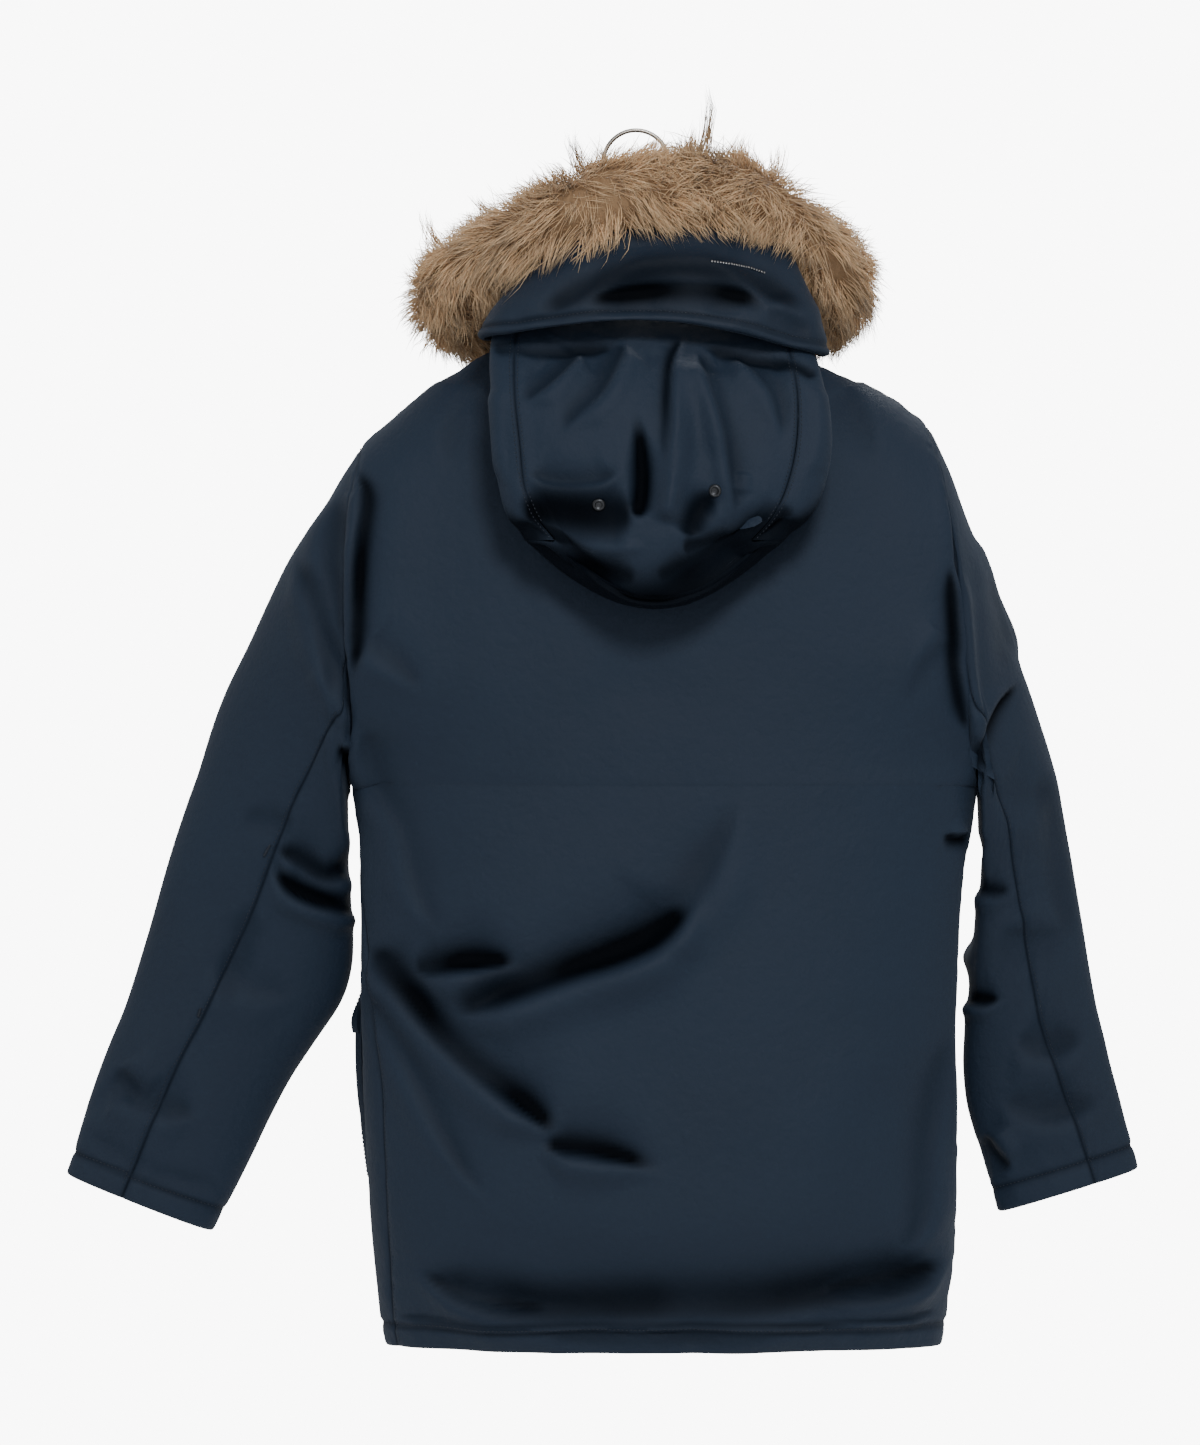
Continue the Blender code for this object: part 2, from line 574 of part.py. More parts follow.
# ---------------------------------------------------------------- finishes: colour, roughness, metallic
NAVY = ((0.021, 0.036, 0.058), 0.75, 0.0)
BAND_NAVY = ((0.018, 0.024, 0.042), 0.75, 0.0)
FUR_TAN = ((0.25, 0.17, 0.10), 0.9, 0.0)
TAPE_NAVY = ((0.012, 0.016, 0.026), 0.8, 0.0)
DARK_METAL = ((0.09, 0.09, 0.10), 0.4, 1.0)
STEEL = ((0.45, 0.42, 0.38), 0.3, 1.0)
WOOD = ((0.30, 0.17, 0.08), 0.5, 0.0)

HEM_ROWS = (0.0, 0.048, 0.11, 0.19, 0.285, 0.35, 0.42, 0.49, 0.555, 0.61, 0.66, 0.74, 0.83, 0.92)
SIDE_TURNS = (0.0, 17.0, 30.0, 43.0, 56.0)
NECK_TURNS = (0.0, 18.0, 40.0, 64.0)
BACK_NECK_TURNS = (0.0, 18.0, 40.0, 64.0, 90.0, 116.0, 140.0, 162.0, 180.0)
SEAM_SPREAD = 60.0         # turn over which the side seam's shift is taken up


def turn_at(x):
    """Turn of the column that meets the top edge at x."""
    tip_left = SHOULDER_LINE_X[-1]
    tip_right = SHOULDER_LINE_X[0]
    return math.degrees(math.acos(1 - 2 * (tip_left - x) / (tip_left - tip_right)))


def neck_columns(turns):
    half = (NECK_LEFT - NECK_RIGHT) / 2
    return [turn_at(neck_middle() + half * math.cos(math.radians(turn))) for turn in turns]


def side_seam(row):
    heights = column(BODY_SECTIONS, BODY_COLUMNS, "z")
    z = heights[0] + (heights[-1] - heights[0]) * min(row, 1)
    return float(smooth(heights, column(BODY_SECTIONS, BODY_COLUMNS, "seam"), z))


def torso_rows():
    return [*HEM_ROWS, *(1 + rise for rise in CHEST_ROWS)]


def back_grid():
    base = [*SIDE_TURNS, *neck_columns(BACK_NECK_TURNS), *(180 - turn for turn in SIDE_TURNS[::-1])]
    rows = []
    for row in torso_rows():
        seam = side_seam(row)
        turns = np.array([turn + seam * max(1 - turn / SEAM_SPREAD, 0) for turn in base])
        turns[0] = max(turns[0], TINY_TURN)
        rows.append(torso(row, turns))
    return np.array(rows)


def front_grid(side):
    """One front, from the side seam to the edge beside the zip."""
    base = [*SIDE_TURNS, *neck_columns(NECK_TURNS)]
    if side == "right":
        base = [180 - turn for turn in SIDE_TURNS] + neck_columns([180 - turn for turn in NECK_TURNS])
    step = ZIP_HALF_GAP if side == "left" else -ZIP_HALF_GAP
    rows = []
    for row in torso_rows():
        seam = side_seam(row)
        turns = [seam * max(1 - turn / SEAM_SPREAD, 0) - turn for turn in base]
        edge = torso(row, np.array(-90.0)) + np.array((step, 0, 0))
        rows.append(np.concatenate((torso(row, np.array(turns)), edge[None])))
    return np.array(rows)


def collar_grid(grids):
    """The collar stands on the neck edges of the fronts and the back, point for point."""
    neck = len(SIDE_TURNS)
    base = [*grids["front_left"][-1, :neck - 1:-1], *grids["back_panel"][-1, neck + 1:-neck],
            *grids["front_right"][-1, neck + 1:]]
    base = np.array(base)
    centre = np.array((neck_middle(), 0, 0))
    inwards = -unit((base - centre) * np.array((1, 1, 0)))
    rows = []
    for share in (0.0, 0.33, 0.67, 1.0):
        rows.append(base + inwards * COLLAR_LEAN * share + np.array((0, 0, COLLAR_HEIGHT * share)))
    return np.array(rows)


def sleeve_grids(side):
    """Upper and under panels, sharing the armhole's rows at their top."""
    back = [(share, True) for share in CHEST_ROWS]
    front = [(share, False) for share in CHEST_ROWS]
    upper_route = back[SEAM_COLUMN:] + front[SEAM_COLUMN:-1][::-1]
    under_route = back[:SEAM_COLUMN + 1][::-1] + front[1:SEAM_COLUMN + 1]
    grids = []
    for route in (upper_route, under_route):
        rows = []
        for section in range(-1, len(LEFT_SLEEVE)):
            rows.append(np.array([sleeve(side, section, np.float64(share), is_back) for share, is_back in route]))
        grids.append(np.array(rows))
    return grids


def inside_point(name, grid):
    """A point inside the tube or bag that a panel belongs to, level with the panel's middle."""
    here = grid[grid.shape[0] // 2, grid.shape[1] // 2]
    if name.startswith("sleeve"):
        side = "left" if name.endswith("left") else "right"
        section = grid.shape[0] // 2 - 1
        return (sleeve(side, section, np.float64(0), True) + sleeve(side, section, np.float64(1), True)) / 2
    if name == "hood_centre":
        return here - np.array((0, 0, -1))
    if name.startswith("hood"):
        return np.array((neck_middle(), HOOD_INSIDE_Y if "side" in name else 0, here[2]))
    return np.array((neck_middle(), 0, here[2]))


def facing_out(name, grid):
    """The grid, turned round where its faces would point into the garment."""
    r, c = grid.shape[0] // 2, grid.shape[1] // 2
    normal = np.cross(grid[r, c + 1] - grid[r, c], grid[r + 1, c] - grid[r, c])
    return grid if normal @ (grid[r, c] - inside_point(name, grid)) > 0 else grid[:, ::-1]


def build_cloth(collection):
    """All sewn panels. Returns their grids and normals for what is sewn onto them."""
    body = {"back_panel": back_grid(), "front_left": front_grid("left"), "front_right": front_grid("right")}
    body["collar"] = collar_grid(body)
    for side in ("left", "right"):
        body["sleeve_upper_" + side], body["sleeve_under_" + side] = sleeve_grids(side)
    hood = {"hood_centre": hood_centre_grid(), "hood_brim": brim_grid()}
    for side in ("left", "right"):
        hood["hood_side_" + side] = hood_side_grid(side)
    found = {}
    for group, thickness in ((body, DOWN_WALL), (hood, HOOD_WALL)):
        group = {name: facing_out(name, grid) for name, grid in group.items()}
        normals = grid_normals(group)
        for name, grid in group.items():
            depth = COLLAR_WALL if name == "collar" else thickness
            finish = BAND_NAVY if name == "hood_brim" else NAVY
            panel(name, grid, normals[name], depth, collection, finish)
            found[name] = (grid, normals[name])
    return found


def build_pocket(side, found, collection):
    """Pouch with an open top and its flap, made from the front's own points, moved out."""
    grid, normals = found["front_" + side]
    if abs(grid[0, 0, 0]) < abs(grid[0, -1, 0]):
        grid, normals = grid[:, ::-1], normals[:, ::-1]
    first, last = POCKET_COLUMNS[side]
    low, high = HEM_ROWS.index(POCKET_ROWS[0]), HEM_ROWS.index(POCKET_ROWS[1])
    flap_low, flap_high = HEM_ROWS.index(FLAP_ROWS[0]), HEM_ROWS.index(FLAP_ROWS[1])
    count = last - first
    across = np.sin(np.linspace(0, math.pi, count)) ** 0.6
    rows = np.arange(low, high + 1)
    up = np.sin(np.clip((rows - low) / (high - low) * 1.6, 0, 1) * math.pi / 2)
    swell = np.outer(up, across) * POCKET_BULGE
    base = CLEAR + POCKET_WALL
    spread = grid[rows][:, first:last], normals[rows][:, first:last]
    outer = spread[0] + spread[1] * (base + swell)[..., None]
    wall("pocket_" + side, outer, outer - spread[1] * POCKET_WALL, collection, NAVY)
    rows = np.arange(flap_low, flap_high + 1)
    lift = np.zeros((len(rows), count))
    for index, row in enumerate(rows):
        if row <= high:
            lift[index] = base + swell[row - low] + FLAP_CLEAR
    spread = grid[rows][:, first:last], normals[rows][:, first:last]
    outer = spread[0] + spread[1] * (base + lift)[..., None]
    wall("pocket_flap_" + side, outer, outer - spread[1] * POCKET_WALL, collection, NAVY)


def zip_edges(found, side):
    """Up the centre front: the panel's edge, the direction into the panel, normal and wall."""
    column_of = {"left": 0, "right": -1}
    lines = []
    grid, normals = found["front_" + side]
    last = 0 if abs(grid[0, 0, 0] - neck_middle()) < abs(grid[0, -1, 0] - neck_middle()) else -1
    beside = 1 if last == 0 else -2
    for row in range(ZIP_FIRST_ROW, grid.shape[0]):
        lines.append((grid[row, last], grid[row, beside], normals[row, last], normals[row, beside], DOWN_WALL))
    grid, normals = found["collar"]
    last = column_of[side] if grid[0, 0, 0] > grid[0, -1, 0] else column_of[side] * -1 - 1
    beside = 1 if last == 0 else -2
    for row in range(1, grid.shape[0]):
        lines.append((grid[row, last], grid[row, beside], normals[row, last], normals[row, beside], COLLAR_WALL))
    return lines


def build_zip_tape(side, edges, collection):
    rings = []
    for edge, beside, edge_normal, beside_normal, thickness in edges:
        length = np.linalg.norm(beside - edge)
        corners = []
        for reach, depth in ((-ZIP_HALF_GAP + ZIP_TAPE_START, 0), (ZIP_TAPE_WIDTH, 0), (ZIP_TAPE_WIDTH, 1),
                             (-ZIP_HALF_GAP + ZIP_TAPE_START, 1)):
            share = reach / length
            inside = max(share, 0)
            normal = edge_normal + (beside_normal - edge_normal) * inside
            here = edge + (beside - edge) * share
            seat = SEAM_WALL + (thickness - SEAM_WALL) * inside + CLEAR
            corners.append(here - normal * (seat + depth * ZIP_TAPE_THICKNESS))
        rings.append(corners)
    new_object("zip_tape_" + side, tube_mesh("zip_tape_" + side, rings), collection, TAPE_NAVY)


def zip_middle(found):
    """Points and outward normals up the middle of the zip."""
    middle = []
    for left, right in zip(zip_edges(found, "left"), zip_edges(found, "right")):
        middle.append(((left[0] + right[0]) / 2, unit(left[2] + right[2])))
    return middle


def build_zip_chain(middle, collection):
    rings = []
    for here, normal in middle:
        rings.append([here + np.array((x * ZIP_CHAIN_HALF_WIDTH, 0, 0)) - normal * (SEAM_WALL - ZIP_CHAIN_SEAT - depth)
                      for x, depth in ((-1, 0), (1, 0), (1, ZIP_CHAIN_THICKNESS), (-1, ZIP_CHAIN_THICKNESS))])
    new_object("zip_chain", tube_mesh("zip_chain", rings), collection, TAPE_NAVY)


def block(name, centre, size, collection, finish):
    """A plain block with its faces square to the axes."""
    mesh = bpy.data.meshes.new(name)
    work = bmesh.new()
    bmesh.ops.create_cube(work, size=1)
    bmesh.ops.scale(work, vec=size, verts=work.verts)
    work.to_mesh(mesh)
    work.free()
    item = new_object(name, mesh, collection, finish)
    item.location = centre
    return item


def wire(name, points, radius, collection, finish):
    """Round wire through points, as a closed mesh."""
    curve = bpy.data.curves.new(name, "CURVE")
    curve.dimensions = "3D"
    curve.bevel_depth = radius
    curve.bevel_resolution = 2
    curve.use_fill_caps = True
    spline = curve.splines.new("POLY")
    spline.points.add(len(points) - 1)
    for slot, point in zip(spline.points, points):
        slot.co = (*(float(v) for v in point), 1)
    guide = bpy.data.objects.new(name + "_guide", curve)
    bpy.context.scene.collection.objects.link(guide)
    graph = bpy.context.evaluated_depsgraph_get()
    mesh = bpy.data.meshes.new_from_object(guide.evaluated_get(graph))
    bpy.data.objects.remove(guide, do_unlink=True)
    work = bmesh.new()
    work.from_mesh(mesh)
    bmesh.ops.remove_doubles(work, verts=work.verts, dist=0.00001)
    work.to_mesh(mesh)
    work.free()
    mesh.materials.clear()
    return new_object(name, mesh, collection, finish)


def build_zip(found, collection, cutters):
    for side in ("left", "right"):
        build_zip_tape(side, zip_edges(found, side), collection)
    middle = zip_middle(found)
    build_zip_chain(middle, collection)
    here = middle[-2][0]
    face_y = here[1] + SEAM_WALL - ZIP_CHAIN_SEAT - ZIP_CHAIN_THICKNESS - SLIDER_SEAT - SLIDER_SIZE[1]
    slider = block("zip_slider", (here[0], face_y + SLIDER_SIZE[1] / 2, here[2]), SLIDER_SIZE, collection, DARK_METAL)
    turns = np.linspace(-90, 90, 13)
    arch = [(here[0], face_y + BRIDGE_SINK - (BRIDGE_REACH + BRIDGE_SINK) * math.cos(math.radians(turn)),
             here[2] + BRIDGE_HALF_HEIGHT * math.sin(math.radians(turn))) for turn in turns]
    bridge = wire("slider_bridge", arch, BRIDGE_WIRE, cutters, DARK_METAL)
    as_cutter(bridge)
    join = slider.modifiers.new("bridge", "BOOLEAN")
    join.operation = "UNION"
    join.object = bridge
    axis_y = face_y - PULL_AXIS_REACH
    drop = -PULL_SIZE[2] / 2 + PULL_SIZE[1] / 2
    pull = block("zip_pull", (0, 0, 0), PULL_SIZE, collection, DARK_METAL)
    pull.data.transform(Matrix.Translation((0, 0, drop)))
    pull.location = (here[0], axis_y, here[2])
    eye = block("pull_eye", (here[0], axis_y, here[2] - PULL_SIZE[1] / 2 - PULL_EYE[1] / 2),
                (PULL_EYE[0], PULL_SIZE[1] * 3, PULL_EYE[1]), cutters, DARK_METAL)
    as_cutter(eye)
    cut = pull.modifiers.new("eye", "BOOLEAN")
    cut.operation = "DIFFERENCE"
    cut.object = eye


def as_cutter(item):
    item.hide_render = True
    item.display_type = "WIRE"


def point_on_face(grid, x, z):
    """Point and normal of the grid's facet that holds x and z, seen along Y."""
    for r in range(grid.shape[0] - 1):
        for c in range(grid.shape[1] - 1):
            corners = (grid[r, c], grid[r, c + 1], grid[r + 1, c + 1], grid[r + 1, c])
            for triangle in (corners[:3], (corners[0], corners[2], corners[3])):
                a, b, d = (corner[[0, 2]] for corner in triangle)
                shares = np.linalg.solve(np.array((b - a, d - a)).T, np.array((x, z)) - a)
                if min(shares) >= 0 and shares.sum() <= 1:
                    across, down = triangle[1] - triangle[0], triangle[2] - triangle[0]
                    normal = unit(np.cross(across, down))
                    return triangle[0] + across * shares[0] + down * shares[1], normal * np.sign(normal[1])
    raise ValueError("the eyelet lies off the hood's face")


def build_eyelet(name, grid, x, z, collection):
    """A round wire ring lying on the hood's face."""
    centre, normal = point_on_face(grid, x, z)
    first = unit(np.cross(normal, np.array((0, 0, 1.0))))
    second = np.cross(normal, first)
    middle = centre + normal * (EYELET_WIRE + EYELET_SEAT)
    points = []
    for turn in np.linspace(0, 2 * math.pi, EYELET_STEPS, endpoint=False):
        out = first * math.cos(turn) + second * math.sin(turn)
        points += [middle + out * (EYELET_RADIUS + EYELET_WIRE * math.cos(a)) + normal * EYELET_WIRE * math.sin(a)
                   for a in np.linspace(0, 2 * math.pi, EYELET_SIDES, endpoint=False)]
    number = np.arange(EYELET_STEPS * EYELET_SIDES).reshape(EYELET_STEPS, EYELET_SIDES)
    ahead = np.roll(number, -1, axis=0)
    faces = list(zip(number.ravel().tolist(), np.roll(number, -1, axis=1).ravel().tolist(),
                     np.roll(ahead, -1, axis=1).ravel().tolist(), ahead.ravel().tolist()))
    new_object(name, mesh_from(name, points, faces), collection, DARK_METAL)


def build_eyelets(found, collection):
    face = found["hood_centre"][0]
    if face[0, 0, 2] < face[-1, 0, 2]:
        face = face[::-1]
    for side, x, z in EYELETS:
        build_eyelet("eyelet_" + side, face[:len(HOOD_ROWS)], x, z, collection)


def build_hanger(collection):
    centre_z = HOOK_WIRE - HOOK_RADIUS
    points = [(HOOK_RADIUS * math.cos(math.radians(turn)), 0, centre_z + HOOK_RADIUS * math.sin(math.radians(turn)))
              for turn in np.linspace(HOOK_TIP_TURN, HOOK_END_TURN, 24)]
    start = np.array(points[-1])
    end = np.array((0, 0, HOOK_NECK_Z))
    for share in np.linspace(0, 1, 9)[1:]:
        ease = share * share * (3 - 2 * share)
        points.append((start[0] + (end[0] - start[0]) * ease, 0, start[2] + (end[2] - start[2]) * share))
    bar_top = float(bar_height(0.0)) + BAR_RADIUS
    points.append((0, 0, bar_top + CLEAR))
    wire("hanger_hook", points, HOOK_WIRE, collection, STEEL)
    spans = np.linspace(-BAR_HALF_SPAN, BAR_HALF_SPAN, 31)
    wire("hanger_bar", [(x, 0, float(bar_height(x))) for x in spans], BAR_RADIUS, collection, WOOD)


def bar_height(x):
    """The bar follows the shoulder seams from just below the cloth."""
    step = 0.006
    line = [np.interp(x + shift, SHOULDER_LINE_X, SHOULDER_LINE_Z) for shift in (-step, 0, step)]
    slope = (line[2] - line[0]) / (2 * step)
    return min(line) - (DOWN_WALL + BAR_RADIUS + BAR_CLEAR) * math.hypot(1, slope) + BAR_EASE


def main():
    for item in list(bpy.data.objects):
        bpy.data.objects.remove(item, do_unlink=True)
    collection = bpy.data.collections.new(OBJECT_NAME)
    bpy.context.scene.collection.children.link(collection)
    cutters = bpy.data.collections.new(OBJECT_NAME + "_cutters")
    bpy.context.scene.collection.children.link(cutters)
    found = build_cloth(collection)
    for side in ("left", "right"):
        build_pocket(side, found, collection)
    build_zip(found, collection, cutters)
    build_eyelets(found, collection)
    build_hanger(collection)
    rings = [fur_ring(s) for s in np.linspace(0, len(FUR_STATIONS) - 1, FUR_RINGS)]
    new_object("fur_trim", tube_mesh("fur_trim", rings), collection, FUR_TAN)


main()
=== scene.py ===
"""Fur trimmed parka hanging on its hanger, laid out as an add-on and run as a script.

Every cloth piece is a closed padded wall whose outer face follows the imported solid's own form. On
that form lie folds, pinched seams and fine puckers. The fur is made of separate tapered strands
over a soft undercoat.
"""
import math

import bmesh
import bpy
import numpy as np
from bpy.props import FloatProperty, FloatVectorProperty, IntProperty, PointerProperty
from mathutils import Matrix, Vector, kdtree


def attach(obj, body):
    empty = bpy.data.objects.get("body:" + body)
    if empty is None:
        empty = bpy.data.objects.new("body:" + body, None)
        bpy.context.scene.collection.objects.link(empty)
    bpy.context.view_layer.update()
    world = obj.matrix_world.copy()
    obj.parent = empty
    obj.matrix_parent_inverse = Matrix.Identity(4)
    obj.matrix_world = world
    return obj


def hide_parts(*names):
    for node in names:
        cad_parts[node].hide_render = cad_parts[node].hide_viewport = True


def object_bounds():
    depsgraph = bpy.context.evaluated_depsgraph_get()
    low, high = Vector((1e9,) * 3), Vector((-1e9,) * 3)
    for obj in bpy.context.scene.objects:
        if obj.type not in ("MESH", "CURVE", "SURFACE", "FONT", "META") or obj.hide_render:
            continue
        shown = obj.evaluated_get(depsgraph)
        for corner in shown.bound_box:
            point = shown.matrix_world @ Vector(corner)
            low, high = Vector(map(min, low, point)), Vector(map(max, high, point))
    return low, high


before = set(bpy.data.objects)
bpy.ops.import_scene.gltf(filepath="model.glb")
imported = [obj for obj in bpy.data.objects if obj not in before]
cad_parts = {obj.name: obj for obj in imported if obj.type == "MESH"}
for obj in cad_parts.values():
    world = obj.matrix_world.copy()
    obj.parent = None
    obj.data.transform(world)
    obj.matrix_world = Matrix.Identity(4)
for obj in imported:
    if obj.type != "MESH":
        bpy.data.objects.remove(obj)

bl_info = {
    "name": "Fur trimmed parka",
    "version": (1, 0, 0),
    "blender": (4, 5, 0),
    "location": "View3D > Sidebar > Parka",
    "description": "Builds a padded parka with a fur trimmed hood on a hanger",
    "category": "Add Mesh",
}

CAD_BOX = [list(corner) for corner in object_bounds()]
GARMENT = "garment"
PULL = "pull"

# ---------------------------------------------------------------- the garment's form, in metres
# Body sections from the hem to the armpit: height, sides, and how far back and front reach.
# seam is the turn, in degrees, of the left side seam round towards the back.
BODY_COLUMNS = ("z", "left", "right", "back", "front", "seam")
BODY_SECTIONS = (
    (-0.994, 0.205, -0.252, 0.078, -0.078, 16.0),
    (-0.972, 0.209, -0.255, 0.086, -0.086, 17.0),
    (-0.916, 0.215, -0.262, 0.101, -0.097, 19.0),
    (-0.834, 0.221, -0.263, 0.106, -0.102, 21.0),
    (-0.711, 0.225, -0.262, 0.104, -0.102, 19.0),
    (-0.629, 0.225, -0.266, 0.100, -0.100, 8.0),
    (-0.535, 0.230, -0.278, 0.096, -0.098, 0.0),
)

# Armhole edges from the armpit (share 0) to the shoulder tip (share 1).
ARMHOLE_COLUMNS = ("share", "left_x", "left_z", "right_x", "right_z")
ARMHOLES = (
    (0.00, 0.230, -0.535, -0.278, -0.535),
    (0.25, 0.233, -0.465, -0.268, -0.461),
    (0.55, 0.234, -0.383, -0.261, -0.373),
    (0.78, 0.233, -0.318, -0.254, -0.305),
    (1.00, 0.226, -0.257, -0.239, -0.240),
)
ARMHOLE_DEPTH = 0.132
CHEST_ROWS = (0.0, 0.10, 0.26, 0.44, 0.62, 0.77, 0.88, 0.95, 0.985, 1.0)
SHOULDER_CROWN_BACK = 0.086
SHOULDER_CROWN_FRONT = -0.084

# Shoulder line on each side of the neck, from the tip to the neck's side.
SHOULDER_LINE_X = (-0.239, -0.216, -0.183, -0.148, -0.088, 0.085, 0.130, 0.157, 0.182, 0.202, 0.226)
SHOULDER_LINE_Z = (-0.240, -0.221, -0.204, -0.188, -0.160, -0.160, -0.186, -0.203, -0.219, -0.236,
                   -0.257)
NECK_LEFT = 0.085
NECK_RIGHT = -0.088
NECK_BACK_Y = 0.066
NECK_FRONT_Y = -0.080
NECK_BACK_DROP = 0.006
NECK_FRONT_DROP = 0.075
COLLAR_HEIGHT = 0.055
COLLAR_LEAN = 0.006

# Sleeve sections from the armhole to the cuff: outer edge, inner edge, how deep the oval is as a
# share of its length, how far forward it hangs, and where the back seam lies (0 inner, 1 outer).
SLEEVE_COLUMNS = ("outer_x", "outer_z", "inner_x", "inner_z", "depth", "forward", "seam")
LEFT_SLEEVE = (
    (0.2440, -0.285, 0.2350, -0.549, 0.50, 0.000, 0.30),
    (0.2630, -0.318, 0.2350, -0.564, 0.50, 0.002, 0.34),
    (0.2850, -0.351, 0.2345, -0.582, 0.50, 0.006, 0.38),
    (0.3120, -0.408, 0.2335, -0.603, 0.50, 0.014, 0.42),
    (0.3390, -0.465, 0.2330, -0.627, 0.50, 0.022, 0.46),
    (0.3620, -0.531, 0.2330, -0.655, 0.50, 0.030, 0.50),
    (0.3850, -0.597, 0.2350, -0.685, 0.49, 0.036, 0.53),
    (0.4050, -0.662, 0.2440, -0.714, 0.48, 0.040, 0.57),
    (0.4210, -0.715, 0.2640, -0.746, 0.47, 0.042, 0.59),
    (0.4350, -0.752, 0.2880, -0.784, 0.46, 0.042, 0.60),
    (0.4520, -0.802, 0.3150, -0.838, 0.45, 0.042, 0.61),
    (0.4705, -0.856, 0.3490, -0.904, 0.44, 0.040, 0.61),
)
RIGHT_SLEEVE = (
    (-0.2570, -0.277, -0.2830, -0.550, 0.50, 0.000, 0.30),
    (-0.2720, -0.318, -0.2835, -0.565, 0.50, 0.002, 0.34),
    (-0.2890, -0.359, -0.2830, -0.587, 0.50, 0.006, 0.38),
    (-0.3090, -0.416, -0.2810, -0.615, 0.50, 0.014, 0.42),
    (-0.3270, -0.465, -0.2790, -0.646, 0.50, 0.022, 0.46),
    (-0.3450, -0.527, -0.2760, -0.683, 0.50, 0.030, 0.49),
    (-0.3580, -0.588, -0.2730, -0.712, 0.49, 0.036, 0.52),
    (-0.3680, -0.646, -0.2710, -0.740, 0.48, 0.040, 0.55),
    (-0.3780, -0.703, -0.2705, -0.770, 0.48, 0.042, 0.58),
    (-0.3900, -0.752, -0.2740, -0.803, 0.46, 0.042, 0.62),
    (-0.4020, -0.802, -0.2840, -0.840, 0.45, 0.042, 0.66),
    (-0.4140, -0.852, -0.2980, -0.888, 0.44, 0.040, 0.69),
)
SEAM_COLUMN = 3            # the armhole row that the sleeve's long seams start from

# Hood bag, hanging behind the back. Rows run down its visible face.
HOOD_COLUMNS = ("z", "left", "right", "seam_left", "seam_right", "face_y", "edge_y", "inner_y",
                "sag")
HOOD_ROWS = (
    (-0.150, 0.109, -0.133, 0.092, -0.115, 0.094, 0.082, 0.079, 0.000),
    (-0.180, 0.118, -0.142, 0.098, -0.122, 0.118, 0.095, 0.083, 0.000),
    (-0.220, 0.117, -0.152, 0.098, -0.129, 0.148, 0.116, 0.087, 0.002),
    (-0.260, 0.114, -0.156, 0.094, -0.128, 0.163, 0.126, 0.0905, 0.006),
    (-0.295, 0.111, -0.150, 0.090, -0.120, 0.170, 0.130, 0.0925, 0.014),
    (-0.320, 0.104, -0.138, 0.080, -0.108, 0.170, 0.132, 0.0935, 0.028),
    (-0.338, 0.090, -0.118, 0.066, -0.092, 0.162, 0.130, 0.0945, 0.046),
)
HOOD_BOTTOM_SAG = 0.054
HOOD_EXTRA_SAG = 0.006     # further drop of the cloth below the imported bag
HOOD_NECK_HEIGHT = 0.010
HOOD_NECK_TURN = 26.0

# Brim: the band between the fur and the hood. It is folded back over the bag behind the neck and
# runs forward on both sides to the collar. Stations follow the fur's; corner is the corner of the
# fur's section that it hangs from, then come its lower edge and how far it puffs out between.
BRIM_COLUMNS = ("station", "corner", "x", "y", "z", "puff")
BRIM_STATIONS = (
    (0.375, 6.0, 0.0212, -0.0798, -0.218, 0.000),
    (1.500, 6.0, 0.0636, -0.0545, -0.196, 0.000),
    (2.250, 6.0, 0.0862, -0.0170, -0.162, 0.001),
    (3.000, 6.0, 0.0882, 0.0117, -0.147, 0.001),
    (3.375, 7.0, 0.1020, 0.034, -0.160, 0.001),
    (3.750, 8.2, 0.121, 0.062, -0.174, 0.002),
    (4.125, 9.6, 0.130, 0.094, -0.171, 0.003),
    (4.500, 10.0, 0.109, 0.124, -0.170, 0.005),
    (4.875, 10.0, 0.070, 0.136, -0.166, 0.006),
    (6.000, 10.0, -0.010, 0.141, -0.162, 0.007),
    (7.125, 10.0, -0.086, 0.137, -0.172, 0.006),
    (7.500, 10.0, -0.127, 0.124, -0.181, 0.005),
    (7.875, 10.0, -0.155, 0.100, -0.187, 0.003),
    (8.250, 8.6, -0.148, 0.066, -0.184, 0.002),
    (8.625, 7.2, -0.116, 0.036, -0.167, 0.001),
    (9.000, 6.0, -0.0912, 0.0117, -0.147, 0.001),
    (9.750, 6.0, -0.0894, -0.0170, -0.162, 0.001),
    (10.500, 6.0, -0.0678, -0.0555, -0.196, 0.000),
    (11.625, 6.0, -0.0244, -0.0798, -0.218, 0.000),
)

# Fur ruff: the middle of the fur round the hood's edge, and its half height.
FUR_COLUMNS = ("x", "y", "z", "half_height", "half_depth")
FUR_STATIONS = (
    (0.030, -0.116, -0.186, 0.024, 0.022),
    (0.090, -0.112, -0.172, 0.030, 0.026),
    (0.143, -0.066, -0.150, 0.038, 0.032),
    (0.152, 0.002, -0.134, 0.046, 0.040),
    (0.108, 0.062, -0.102, 0.044, 0.042),
    (0.052, 0.096, -0.074, 0.046, 0.038),
    (-0.010, 0.104, -0.060, 0.045, 0.036),
    (-0.072, 0.094, -0.060, 0.043, 0.038),
    (-0.122, 0.062, -0.082, 0.042, 0.042),
    (-0.162, 0.002, -0.122, 0.046, 0.040),
    (-0.152, -0.066, -0.146, 0.038, 0.032),
    (-0.096, -0.112, -0.172, 0.030, 0.026),
    (-0.036, -0.116, -0.186, 0.024, 0.022),
)
FUR_END = 0.4             # share of the section left at the two ends
FUR_TAPER = 0.9
FUR_CLEAR = 0.0026

